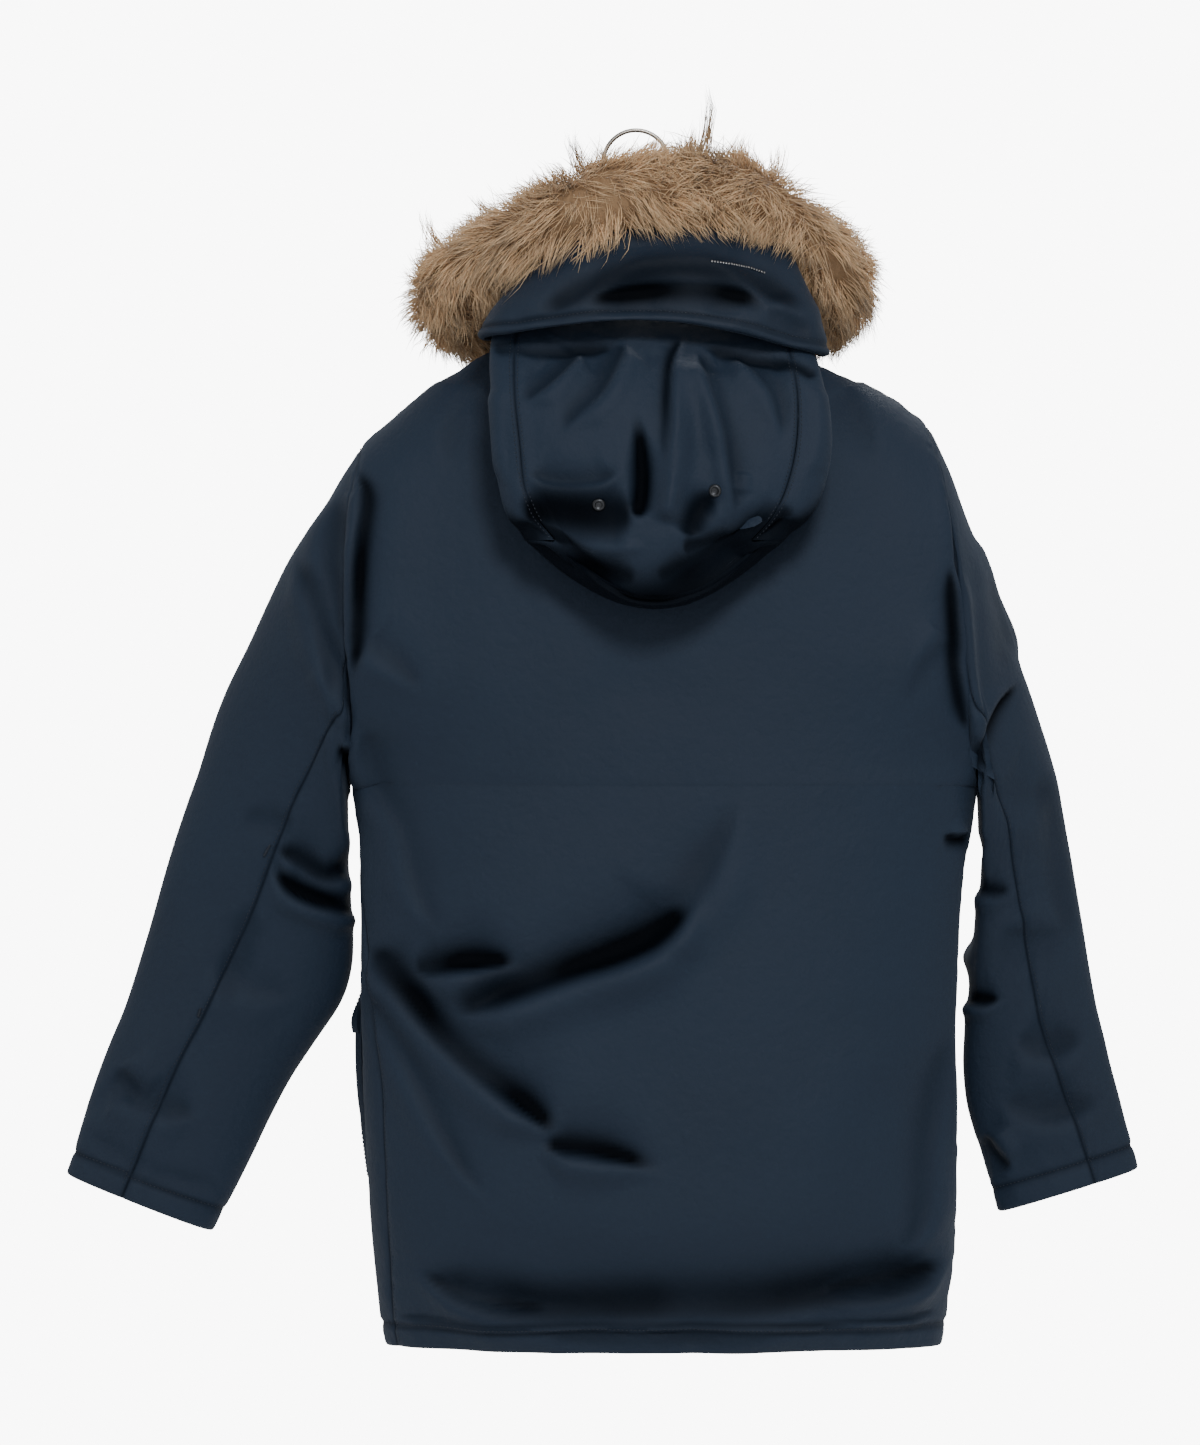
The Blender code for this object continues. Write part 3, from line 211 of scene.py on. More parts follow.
BODY_ROUNDNESS = 2.5
SLEEVE_ROUNDNESS = 2.3
SEAM_SHARE = 0.44          # armhole share where the sleeve's long seams start
SEAM_SPREAD = 60.0         # turn over which the side seam's shift is taken up
FRONT_EDGE_TURN = 88.87    # turn of each front's edge beside the zip
# Folds, given one by one. Each is half width, depth, lip (1, -1 or 0 for none), the shares over
# which it fades in and out, and the x and z of the points of its line. A negative depth is a ridge.
FOLD_STEEPNESS = 0.62      # most depth of a fold for its width
FOLD_END_WIDTH = 0.35      # width left where a fold fades out
FOLD_WANDER = 0.35         # how unevenly deep a fold is along its length
FOLD_WANDER_SIZE = 0.045
CREASE_SHADE_FROM = 0.0022       # depth at which a fold starts to be darkened with painted shade
CREASE_SHADE_RANGE = 0.0042      # further depth over which the painted shade gets fully dark
FRONT_CREASE_SHADE = 0.35        # how dark the painted shade in the creases of the fronts is beside that of the back
# how dark the painted shade in the creases of the sleeves' fronts is beside that of their backs
SLEEVE_FRONT_CREASE_SHADE = 0.3
HOOD_SHADE = 0.9           # how dark the painted shade on the underside of the hood's bag is
HOOD_FOLD_CLEAR = 0.016    # the hood's folds fade out this near its seams
# Here and in the tables below, a fold past a set depth also gets painted shade in its trough.
BACK_FOLDS = (
    # edge line: the edge of the sleeve's cast shadow, drawn as a shallow fold with light painted
    # shade
    (0.008, 0.0030, 0.8, 0.15, 0.3, ((0.2242, -0.4818), (0.2072, -0.5367), (0.1878, -0.5706),
                                     (0.1741, -0.6231), (0.1547, -0.6627))),
    # sleeve dark l
    (0.006, 0.0062, 1, 0.2, 0.3, ((0.2314, -0.2734), (0.2218, -0.2879), (0.2185, -0.3041),
                                  (0.225, -0.355), (0.2266, -0.4172), (0.2314, -0.4575))),
    # sleeve dark r
    (0.005, 0.0060, -1, 0.25, 0.2, ((-0.254, -0.3493), (-0.2556, -0.3849), (-0.2572, -0.4172),
                                    (-0.2596, -0.4543), (-0.2693, -0.4963))),
    # notch r
    (0.005, 0.0060, 1, 0.2, 0.5, ((-0.2709, -0.5771), (-0.2596, -0.5787), (-0.2483, -0.5731))),
    # fold A
    (0.011, 0.0075, 1, 0.25, 0.5, ((0.1911, -0.6845), (0.1668, -0.6805), (0.1378, -0.6764),
                                   (0.1103, -0.6764), (0.0861, -0.6805))),
    # fold B
    (0.014, 0.0090, 1, 0.22, 0.24, ((0.1588, -0.7225), (0.1345, -0.712), (0.1079, -0.7015),
                                    (0.0554, -0.6829), (0.0085, -0.6667), (-0.0238, -0.649),
                                    (-0.0513, -0.6191))),
    # fold B up
    (0.015, 0.0034, 1, 0.2, 0.6, ((-0.0028, -0.6635), (-0.0335, -0.6312), (-0.0634, -0.5868),
                                  (-0.0876, -0.5302))),
    # fold B low
    (0.026, 0.0022, 0, 0.3, 0.6, ((0.1345, -0.7362), (0.0618, -0.716), (-0.0028, -0.6797),
                                  (-0.0513, -0.6312))),
    # fold C
    (0.011, 0.0066, 1, 0.12, 0.25, ((0.2185, -0.6627), (0.1903, -0.695), (0.1571, -0.7362),
                                    (0.124, -0.7661), (0.0909, -0.7903), (0.057, -0.8226))),
    # fold C2
    (0.010, 0.0064, 1, 0.25, 0.6, ((0.0812, -0.8234), (0.0416, -0.8267), (0.0085, -0.8347),
                                   (-0.0286, -0.8461))),
    # fold D
    (0.009, 0.0032, 1, 0.2, 0.5, ((0.2201, -0.6902), (0.1903, -0.7427), (0.1668, -0.7919),
                                  (0.141, -0.8412), (0.1079, -0.884))),
    # right drape
    (0.038, 0.0022, 0, 0.35, 0.2, ((-0.2499, -0.7079), (-0.2338, -0.8049), (-0.2168, -0.9502))),
    # right line
    (0.010, 0.0032, -1, 0.3, 0.3, ((-0.258, -0.7241), (-0.237, -0.8251), (-0.233, -0.8897),
                                   (-0.2088, -0.9276))),
    # right drape b
    (0.030, 0.0020, 0, 0.35, 0.3, ((-0.1966, -0.7564), (-0.1869, -0.8533), (-0.1724, -0.9422))),
    # hem trough
    (0.017, 0.0050, 1, 0.2, 0.15, ((0.1878, -0.9228), (0.141, -0.9438), (0.0748, -0.9551),
                                   (-0.0076, -0.9535), (-0.09, -0.9519), (-0.1563, -0.9438),
                                   (-0.2217, -0.9333), (-0.2629, -0.9163))),
    # hem line
    (0.002, 0.0044, 1, 0.05, 0.05, ((0.1991, -0.968), (0.0941, -0.9704), (-0.0028, -0.9696),
                                    (-0.0997, -0.9712), (-0.1966, -0.9672), (-0.2491, -0.964))),
    # hem low
    (0.009, 0.0036, 0, 0.3, 0.3, ((0.0941, -0.9777), (-0.0109, -0.9793), (-0.132, -0.9777))),
    # hem dark r
    (0.008, 0.0056, 1, 0.4, 0.3, ((-0.132, -0.9486), (-0.1886, -0.9406), (-0.2289, -0.9317),
                                  (-0.2596, -0.9196))),
    # hem dark l
    (0.007, 0.0052, 1, 0.3, 0.6, ((0.1846, -0.9244), (0.1507, -0.9422), (0.1022, -0.9567),
                                  (0.0295, -0.9599))),
    # hem bulge
    (0.030, 0.0022, 0, 0.3, 0.3, ((0.162, -0.8808), (0.0691, -0.9147), (-0.0238, -0.9397),
                                  (-0.1474, -0.9397), (-0.2096, -0.9115), (-0.2338, -0.8743),
                                  (-0.2403, -0.8186))),
    # shoulder left
    (0.040, 0.0022, 0, 0.3, 0.5, ((0.1345, -0.2556), (0.1588, -0.3202), (0.1668, -0.401),
                                  (0.1507, -0.4818))),
    # shoulder right
    (0.040, 0.0022, 0, 0.3, 0.5, ((-0.1724, -0.2556), (-0.1966, -0.3202), (-0.2047, -0.401),
                                  (-0.1966, -0.4818))),
    # blade
    (0.060, 0.0022, 0, 0.3, 0.5, ((0.0618, -0.4495), (-0.0028, -0.4818), (-0.0836, -0.4575))),
    # armhole pull l
    (0.009, 0.0030, 1, 0.1, 0.7, ((0.2185, -0.4172), (0.1943, -0.4349), (0.1668, -0.4656))),
    # armhole pull r
    (0.009, 0.0025, 1, 0.1, 0.7, ((-0.258, -0.4172), (-0.2338, -0.4398), (-0.2128, -0.4753))),
    # neck pull l
    (0.012, 0.0025, 1, 0.1, 0.7, ((0.1345, -0.2112), (0.1507, -0.2475), (0.1539, -0.2879))),
    # neck pull r
    (0.012, 0.0025, -1, 0.1, 0.7, ((-0.1643, -0.2112), (-0.1853, -0.2475), (-0.1902, -0.2879))),
)
LEFT_SLEEVE_FOLDS = (
    # shoulder dark
    (0.006, 0.0062, 1, 0.2, 0.3, ((0.2328, -0.272), (0.2231, -0.2866), (0.2198, -0.3029),
                                  (0.2263, -0.3541), (0.2279, -0.4167), (0.2328, -0.4574))),
    # shoulder par
    (0.009, 0.0036, 1, 0.3, 0.4, ((0.2401, -0.2907), (0.2483, -0.3517), (0.2426, -0.3923),
                                  (0.2344, -0.433))),
    # upper fold
    (0.009, 0.0036, 1, 0.3, 0.4, ((0.2783, -0.3452), (0.2588, -0.3891), (0.2458, -0.446),
                                  (0.2401, -0.4753))),
    # inner fold
    (0.009, 0.0035, 1, 0.3, 0.4, ((0.2491, -0.4248), (0.232, -0.4663), (0.2247, -0.494))),
    # underarm
    (0.006, 0.0070, -1, 0.2, 0.2, ((0.2458, -0.5029), (0.2328, -0.5119), (0.2182, -0.5289),
                                   (0.2019, -0.5484))),
    # elbow a
    (0.008, 0.0060, 1, 0.25, 0.3, ((0.2995, -0.5891), (0.2808, -0.5924), (0.2572, -0.6086),
                                   (0.2328, -0.6046), (0.21, -0.5891))),
    # elbow b
    (0.008, 0.0066, 1, 0.25, 0.3, ((0.2995, -0.6021), (0.2816, -0.6184), (0.2637, -0.6273),
                                   (0.2409, -0.6346), (0.2165, -0.646))),
    # elbow c
    (0.011, 0.0022, -1, 0.3, 0.3, ((0.2531, -0.62), (0.2369, -0.6054), (0.2133, -0.5891))),
    # elbow d
    (0.012, 0.0026, 0, 0.3, 0.4, ((0.3223, -0.555), (0.3044, -0.5663), (0.2735, -0.5647))),
    # fore a
    (0.013, 0.0028, 1, 0.3, 0.5, ((0.3507, -0.6769), (0.3223, -0.6973), (0.2735, -0.7095))),
    # fore b
    (0.010, 0.0034, -1, 0.3, 0.4, ((0.4296, -0.768), (0.4166, -0.781), (0.4068, -0.7973))),
    # fore c
    (0.011, 0.0035, 1, 0.3, 0.4, ((0.4296, -0.7745), (0.4036, -0.7948), (0.3548, -0.807))),
    # fore d
    (0.015, 0.0030, 0, 0.3, 0.4, ((0.3141, -0.6281), (0.3263, -0.6769), (0.3426, -0.7257))),
    # cuff
    (0.009, 0.0025, 0, 0.2, 0.2, ((0.4556, -0.8152), (0.428, -0.8379), (0.3873, -0.8558),
                                  (0.3336, -0.8688))),
)
RIGHT_SLEEVE_FOLDS = (
    # armhole deep
    (0.005, 0.0062, -1, 0.25, 0.2, ((-0.2559, -0.3484), (-0.2575, -0.3842), (-0.2592, -0.4167),
                                    (-0.2616, -0.4541), (-0.2746, -0.5021))),
    # crease a
    (0.005, 0.0060, 1, 0.35, 0.2, ((-0.3169, -0.4476), (-0.2957, -0.4704), (-0.2827, -0.4988),
                                   (-0.273, -0.5322))),
    # pit
    (0.005, 0.0075, 1, 0.3, 0.3, ((-0.2681, -0.5192), (-0.2746, -0.5289), (-0.2811, -0.5387))),
    # upper r
    (0.014, 0.0030, 0, 0.3, 0.4, ((-0.2957, -0.3517), (-0.3039, -0.4005), (-0.299, -0.4492))),
    # dark a
    (0.006, 0.0080, 1, 0.05, 0.35, ((-0.2502, -0.6192), (-0.273, -0.6192), (-0.2917, -0.6216),
                                    (-0.312, -0.62))),
    # dark b
    (0.006, 0.0080, 1, 0.05, 0.35, ((-0.247, -0.7086), (-0.2714, -0.7103), (-0.286, -0.7119),
                                    (-0.3039, -0.7103))),
    # notch
    (0.010, 0.0024, 0, 0.2, 0.4, ((-0.2632, -0.581), (-0.2754, -0.581), (-0.2876, -0.5761))),
    # low
    (0.007, 0.0044, -1, 0.2, 0.3, ((-0.2844, -0.8233), (-0.2957, -0.8396), (-0.3088, -0.8526))),
    # elbow r
    (0.015, 0.0024, 1, 0.3, 0.5, ((-0.2876, -0.5387), (-0.3136, -0.5468), (-0.3445, -0.5387))),
    # elbow r2
    (0.014, 0.0026, -1, 0.3, 0.5, ((-0.2957, -0.6525), (-0.3242, -0.6639), (-0.3649, -0.6525))),
    # fore r1
    (0.013, 0.0035, 1, 0.3, 0.5, ((-0.3079, -0.742), (-0.3364, -0.7501), (-0.3771, -0.7379))),
    # fore r2
    (0.012, 0.0035, 1, 0.3, 0.5, ((-0.2957, -0.7908), (-0.3364, -0.8046), (-0.3933, -0.7908))),
    # outer r
    (0.014, 0.0030, 0, 0.3, 0.4, ((-0.3299, -0.5143), (-0.3478, -0.5956), (-0.3592, -0.6769))),
)
# Deeper hood folds carry painted shade in their troughs: the band shade lines paint the shadow that
# the band casts on the bag, and the caves, the hollow and the under and low shade lines paint the
# bag's dark underside.
HOOD_FOLDS = (
    # band shade l
    (0.005, 0.0052, 0, 0.1, 0.3, ((0.1189, -0.1817), (0.0854, -0.1849), (0.0455, -0.1833),
                                  (0.0096, -0.1793))),
    # band shade r
    (0.005, 0.0052, 0, 0.3, 0.1, ((-0.0471, -0.1801), (-0.0782, -0.1881), (-0.1141, -0.1945),
                                  (-0.1477, -0.2057))),
    # crease
    (0.004, 0.0060, -1, 0.12, 0.3, ((-0.0367, -0.1737), (-0.0271, -0.1913), (-0.024, -0.2208),
                                    (-0.024, -0.2503), (-0.0224, -0.2823))),
    # hollow
    (0.009, 0.0085, 0, 0.6, 0.15, ((0.0024, -0.228), (-0.0024, -0.2583), (-0.004, -0.2942),
                                   (0.0008, -0.3238))),
    # tongue
    (0.011, -0.0060, 0, 0.15, 0.06, ((-0.0391, -0.1865), (-0.0359, -0.2264), (-0.0311, -0.2663),
                                     (-0.0248, -0.327))),
    # right crease
    (0.006, 0.0038, 1, 0.15, 0.3, ((-0.0479, -0.1825), (-0.0583, -0.2057), (-0.0726, -0.2503),
                                   (-0.079, -0.2942), (-0.0798, -0.327))),
    # right bulge
    (0.013, -0.0030, 0, 0.2, 0.3, ((-0.0503, -0.1945), (-0.0583, -0.2264), (-0.0631, -0.2583),
                                   (-0.0631, -0.2783))),
    # right dark
    (0.007, 0.0036, 1, 0.2, 0.4, ((-0.0782, -0.1833), (-0.0998, -0.2025), (-0.1133, -0.2232),
                                  (-0.1189, -0.2599))),
    # left a
    (0.007, 0.0046, -1, 0.12, 0.4, ((0.0471, -0.1833), (0.0614, -0.1993), (0.0774, -0.2136),
                                    (0.0958, -0.2296))),
    # left b
    (0.008, 0.0042, -1, 0.12, 0.4, ((0.0112, -0.1769), (0.0295, -0.2136), (0.0479, -0.2328),
                                    (0.0646, -0.2551))),
    # left c
    (0.007, 0.0022, 0, 0.2, 0.6, ((0.0295, -0.1817), (0.0415, -0.2025), (0.0614, -0.2264))),
    # top gathers a
    (0.005, 0.0016, 0, 0.25, 0.7, ((-0.0144, -0.1801), (-0.012, -0.1945), (-0.0064, -0.2144))),
    # top gathers b
    (0.005, 0.0016, 0, 0.25, 0.7, ((-0.0615, -0.1833), (-0.0679, -0.1945), (-0.0742, -0.2104))),
    # top gathers c
    (0.006, 0.0018, 0, 0.25, 0.7, ((0.0694, -0.1881), (0.0814, -0.1993), (0.0934, -0.2088))),
    # top gathers d
    (0.006, 0.0018, 0, 0.25, 0.7, ((-0.1102, -0.1913), (-0.1237, -0.2072), (-0.1301, -0.2232))),
    # left cave
    (0.021, 0.0070, 0, 0.25, 0.22, ((0.0998, -0.3158), (0.0734, -0.3142), (0.0375, -0.3174),
                                    (-0.0024, -0.3174))),
    # cave rim
    (0.006, 0.0038, 1, 0.2, 0.3, ((0.0894, -0.2839), (0.0614, -0.2903), (0.0295, -0.2887),
                                  (0.012, -0.2807))),
    # right cave
    (0.012, 0.0055, 0, 0.2, 0.4, ((-0.0407, -0.3381), (-0.0503, -0.3126), (-0.0679, -0.2998))),
    # right cave b
    (0.011, 0.0055, 0, 0.2, 0.3, ((-0.0343, -0.3461), (-0.0599, -0.3421), (-0.0862, -0.3365))),
    # tongue tip
    (0.009, -0.0050, 0, 0.5, 0.25, ((-0.0295, -0.2823), (-0.0256, -0.3062), (-0.024, -0.3238))),
    # right wedge
    (0.007, -0.0030, 0, 0.2, 0.3, ((-0.0862, -0.2823), (-0.0846, -0.2934), (-0.083, -0.303))),
    # under shade
    (0.025, 0.0060, 0, 0.12, 0.12, ((0.1157, -0.3222), (0.0934, -0.3541), (0.0614, -0.3733),
                                    (0.0199, -0.3876), (-0.02, -0.386), (-0.0663, -0.3653),
                                    (-0.1022, -0.3381), (-0.1261, -0.3102))),
    # low shade l
    (0.017, 0.0060, 0, 0.15, 0.25, ((0.1109, -0.3286), (0.0774, -0.3509), (0.0295, -0.3685),
                                    (-0.0104, -0.3701))),
    # low shade r
    (0.016, 0.0060, 0, 0.25, 0.15, ((-0.0024, -0.3717), (-0.0423, -0.3637), (-0.0862, -0.3421),
                                    (-0.1301, -0.3102))),
    # low lit fold
    (0.006, -0.0045, 0, 0.35, 0.25, ((0.0535, -0.3437), (0.0295, -0.3453), (0.0096, -0.3453),
                                     (-0.008, -0.3437))),
    # side l
    (0.008, 0.0022, 1, 0.2, 0.3, ((0.0998, -0.2104), (0.1029, -0.2503), (0.0982, -0.2982))),
    # side r
    (0.008, 0.0022, -1, 0.2, 0.3, ((-0.1349, -0.2104), (-0.1365, -0.2503), (-0.1237, -0.2903))),
)
# Deeper band folds carry painted shade in their troughs; upper shade paints the shade that the fur
# casts on the band.
BRIM_FOLDS = (
    # upper dark
    (0.010, 0.0066, -1, 0.3, 0.3, ((0.0519, -0.1502), (0.0295, -0.1422), (-0.0025, -0.1358),
                                   (-0.0506, -0.1342), (-0.0866, -0.1406), (-0.1082, -0.1566))),
    # upper shade
    (0.012, 0.0045, 0, 0.2, 0.2, ((0.0856, -0.1598), (0.0455, -0.1358), (-0.0025, -0.1222),
                                  (-0.0506, -0.1182), (-0.1066, -0.1326), (-0.1387, -0.1598))),
    # soft middle
    (0.007, -0.0024, 0, 0.3, 0.3, ((0.0616, -0.1679), (-0.0025, -0.1607), (-0.0666, -0.1623),
                                   (-0.1106, -0.1703))),
    # left slack
    (0.007, 0.0025, 1, 0.2, 0.5, ((0.1096, -0.1711), (0.0776, -0.1631), (0.0295, -0.1566))),
    # right slack
    (0.008, 0.0030, -1, 0.2, 0.4, ((-0.1034, -0.1534), (-0.1266, -0.1631), (-0.1451, -0.1791))),
    # under the fur
    (0.006, 0.0025, -1, 0.3, 0.3, ((0.0199, -0.1294), (-0.0345, -0.123), (-0.0826, -0.1262))),
)
FRONT_FOLDS = (
    # left underarm drag
    (0.012, 0.0060, 1, 0.15, 0.5, ((0.205, -0.560), (0.165, -0.600), (0.110, -0.628),
                                   (0.060, -0.636))),
    # left chest
    (0.016, 0.0045, 0, 0.30, 0.5, ((0.185, -0.500), (0.130, -0.540), (0.075, -0.552))),
    # right underarm drag
    (0.014, 0.0055, -1, 0.15, 0.5, ((-0.250, -0.548), (-0.205, -0.590), (-0.150, -0.622),
                                    (-0.090, -0.640))),
    # right chest
    (0.015, 0.0040, 0, 0.30, 0.5, ((-0.225, -0.470), (-0.170, -0.520), (-0.110, -0.536))),
    # left waist
    (0.013, 0.0050, 1, 0.20, 0.4, ((0.196, -0.668), (0.140, -0.692), (0.080, -0.690),
                                   (0.030, -0.676))),
    # right waist
    (0.015, 0.0050, -1, 0.20, 0.4, ((-0.235, -0.672), (-0.180, -0.698), (-0.110, -0.694),
                                    (-0.060, -0.700))),
    # left drape
    (0.030, 0.0050, 0, 0.30, 0.2, ((0.105, -0.690), (0.095, -0.800), (0.100, -0.940))),
    # right drape
    (0.032, 0.0050, 0, 0.30, 0.2, ((-0.135, -0.700), (-0.125, -0.810), (-0.130, -0.945))),
    # left hem trough
    (0.014, 0.0055, 1, 0.20, 0.3, ((0.185, -0.940), (0.120, -0.955), (0.040, -0.962))),
    # right hem trough
    (0.014, 0.0055, 1, 0.20, 0.3, ((-0.060, -0.962), (-0.140, -0.957), (-0.230, -0.938))),
    # left neck drag
    (0.011, 0.0035, 1, 0.20, 0.5, ((0.085, -0.230), (0.120, -0.290), (0.130, -0.360))),
    # right neck drag
    (0.011, 0.0035, -1, 0.20, 0.5, ((-0.090, -0.230), (-0.130, -0.290), (-0.140, -0.360))),
    # left placket pull
    (0.009, 0.0035, 1, 0.10, 0.6, ((0.020, -0.420), (0.055, -0.430), (0.090, -0.424))),
    # right placket pull
    (0.009, 0.0035, -1, 0.10, 0.6, ((-0.040, -0.480), (-0.080, -0.492), (-0.120, -0.484))),
)
LEFT_SLEEVE_FRONT_FOLDS = (
    (0.009, 0.0055, 1, 0.15, 0.4, ((0.236, -0.330), (0.262, -0.400), (0.258, -0.480))),
    (0.011, 0.0060, 1, 0.20, 0.4, ((0.262, -0.560), (0.300, -0.585), (0.350, -0.590))),
    (0.010, 0.0060, -1, 0.20, 0.3, ((0.250, -0.640), (0.290, -0.668), (0.350, -0.672))),
    (0.010, 0.0065, 1, 0.20, 0.3, ((0.262, -0.700), (0.310, -0.712), (0.372, -0.700))),
    (0.012, 0.0045, 0, 0.30, 0.4, ((0.310, -0.770), (0.350, -0.778), (0.410, -0.760))),
    (0.011, 0.0035, 1, 0.20, 0.4, ((0.345, -0.830), (0.390, -0.842), (0.440, -0.822))),
    (0.016, 0.0040, 0, 0.30, 0.3, ((0.330, -0.480), (0.352, -0.560), (0.372, -0.640))),
)
RIGHT_SLEEVE_FRONT_FOLDS = (
    (0.009, 0.0055, -1, 0.15, 0.4, ((-0.262, -0.330), (-0.290, -0.400), (-0.288, -0.480))),
    (0.011, 0.0060, -1, 0.20, 0.4, ((-0.286, -0.570), (-0.315, -0.592), (-0.345, -0.590))),
    (0.010, 0.0060, 1, 0.20, 0.3, ((-0.278, -0.655), (-0.310, -0.676), (-0.355, -0.676))),
    (0.010, 0.0060, -1, 0.20, 0.3, ((-0.276, -0.716), (-0.315, -0.728), (-0.368, -0.716))),
    (0.012, 0.0045, 0, 0.30, 0.4, ((-0.285, -0.780), (-0.330, -0.790), (-0.385, -0.776))),
    (0.011, 0.0035, -1, 0.20, 0.4, ((-0.300, -0.836), (-0.345, -0.850), (-0.398, -0.834))),
)
def column(table, columns, name):
    return np.array([row[columns.index(name)] for row in table], dtype=float)


def smooth(knots, values, at):
    """Smooth curve through the values at the knots, held flat beyond both ends."""
    knots = np.asarray(knots, dtype=float)
    values = np.asarray(values, dtype=float)
    at = np.clip(np.asarray(at, dtype=float), knots[0], knots[-1])
    slopes = np.gradient(values, knots)
    index = np.clip(np.searchsorted(knots, at) - 1, 0, len(knots) - 2)
    span = knots[index + 1] - knots[index]
    t = (at - knots[index]) / span
    rise = (2 * t ** 3 - 3 * t ** 2 + 1) * values[index] + (3 * t ** 2 - 2
                                                            * t ** 3) * values[index + 1]
    lean = (t ** 3 - 2 * t ** 2 + t) * slopes[index] + (t ** 3 - t ** 2) * slopes[index + 1]
    return rise + span * lean


def oval(share, power):
    """Depth of an oval, 0 at both ends and 1 in the middle, where share runs from -1 to 1."""
    return np.clip(1 - np.abs(share) ** power, 0, 1) ** (1 / power)


def unit(vectors):
    return vectors / np.maximum(np.linalg.norm(vectors, axis=-1, keepdims=True), 1e-12)


def neck_middle():
    return (NECK_LEFT + NECK_RIGHT) / 2


def top_line(x, back):
    """Height and depth of the top edge: the shoulder seams and the neckline between them."""
    share = np.clip((x - neck_middle()) / (NECK_LEFT - neck_middle()), -1, 1)
    bow = np.sqrt(np.clip(1 - share ** 2, 0, 1))
    drop = NECK_BACK_DROP if back else NECK_FRONT_DROP
    reach = NECK_BACK_Y if back else NECK_FRONT_Y
    z = np.interp(x, SHOULDER_LINE_X, SHOULDER_LINE_Z) - drop * bow
    return z, reach * bow


def armhole(side, share):
    """Armhole edge at a share of its height: its x, z and its depth on the back half."""
    shares = column(ARMHOLES, ARMHOLE_COLUMNS, "share")
    x = smooth(shares, column(ARMHOLES, ARMHOLE_COLUMNS, side + "_x"), share)
    z = smooth(shares, column(ARMHOLES, ARMHOLE_COLUMNS, side + "_z"), share)
    return x, z, ARMHOLE_DEPTH / 2 * oval(2 * share - 1, SLEEVE_ROUNDNESS)


def torso(row, turn):
    """Outer surface of the body.

    row 0 to 1 runs from the hem to the armpit and 1 to 2 up the armhole to the shoulder. turn is
    in degrees: 0 the left side, 90 the centre back, 180 the right side, -90 the centre front.
    """
    row, turn = np.broadcast_arrays(np.asarray(row, dtype=float), np.asarray(turn, dtype=float))
    angle = np.radians(turn)
    across = np.cos(angle)
    share = (1 - across) / 2
    back = turn > 0
    heights = column(BODY_SECTIONS, BODY_COLUMNS, "z")
    z_low = heights[0] + (heights[-1] - heights[0]) * np.clip(row, 0, 1)
    rise = np.clip(row - 1, 0, 1)
    left_x, left_z, edge_y = armhole("left", rise)
    right_x, right_z, edge_y = armhole("right", rise)
    low = row < 1
    left = np.where(low, smooth(heights, column(BODY_SECTIONS, BODY_COLUMNS, "left"), z_low),
                    left_x)
    right = np.where(low, smooth(heights, column(BODY_SECTIONS, BODY_COLUMNS, "right"), z_low),
                     right_x)
    x = left + (right - left) * share
    puff = oval(across, BODY_ROUNDNESS)
    flat = np.sqrt(np.clip(1 - rise ** 5, 0, 1))
    points = []
    for is_back, name, crown_top in ((True, "back", SHOULDER_CROWN_BACK),
                                     (False, "front", SHOULDER_CROWN_FRONT)):
        reach = smooth(heights, column(BODY_SECTIONS, BODY_COLUMNS, name), z_low)
        crown = reach + (crown_top - reach) * rise
        top_z, top_y = top_line(x, is_back)
        middle = top_y * (1 - flat) + crown * flat
        soft_edge = edge_y * (1 - (1 - ease(rise / 0.35)) * ease(puff * 1.4))
        edge = soft_edge if is_back else -soft_edge
        y = edge + (middle - edge) * puff
        straight = left_z + (right_z - left_z) * share
        tip_left = SHOULDER_LINE_Z[-1]
        tip_right = SHOULDER_LINE_Z[0]
        lift = top_z - (tip_left + (tip_right - tip_left) * share)
        z = np.where(low, z_low, straight + lift * rise ** 1.6)
        points.append(np.stack((x, y, z), axis=-1))
    return np.where(back[..., None], points[0], points[1])


def sleeve(side, section, share, back):
    """Outer surface of a sleeve: section -1 is the armhole, 0 to the last row are the table's."""
    table = LEFT_SLEEVE if side == "left" else RIGHT_SLEEVE
    section = float(section)
    sign = 1.0 if back else -1.0
    if section < 0:
        x, z, depth = armhole(side, share)
        return np.stack((x, sign * depth, z), axis=-1)
    knots = np.arange(len(table))
    read = {name: smooth(knots, column(table, SLEEVE_COLUMNS, name), section)
            for name in SLEEVE_COLUMNS}
    start = CHEST_ROWS[SEAM_COLUMN]
    seam = read["seam"]
    share = np.where(share < start, share * seam / start,
                     1 - (1 - share) * (1 - seam) / (1 - start))
    x = read["inner_x"] + (read["outer_x"] - read["inner_x"]) * share
    z = read["inner_z"] + (read["outer_z"] - read["inner_z"]) * share
    length = math.hypot(read["outer_x"] - read["inner_x"], read["outer_z"] - read["inner_z"])
    y = sign * length * read["depth"] / 2 * oval(2 * share - 1, SLEEVE_ROUNDNESS) - read["forward"]
    return np.stack((x, y, z), axis=-1)


def neck_loop(turn, height):
    """Outer surface of the collar: turn 0 left, 90 back, 180 right, 270 front."""
    angle = np.radians(turn)
    half = (NECK_LEFT - NECK_RIGHT) / 2 - COLLAR_LEAN * height / COLLAR_HEIGHT
    x = neck_middle() + half * np.cos(angle)
    z, y = top_line(neck_middle() + (NECK_LEFT - NECK_RIGHT) / 2 * np.cos(angle), True)
    z_front, y_front = top_line(neck_middle() + (NECK_LEFT - NECK_RIGHT) / 2 * np.cos(angle), False)
    front = np.sin(angle) < 0
    y = np.where(front, y_front, y) * half / ((NECK_LEFT - NECK_RIGHT) / 2)
    return np.stack((x, y, np.where(front, z_front, z) + height), axis=-1)


def hood_reader(table=HOOD_ROWS):
    knots = np.arange(len(table))
    return lambda name, row: float(smooth(knots, column(table, HOOD_COLUMNS, name), row))


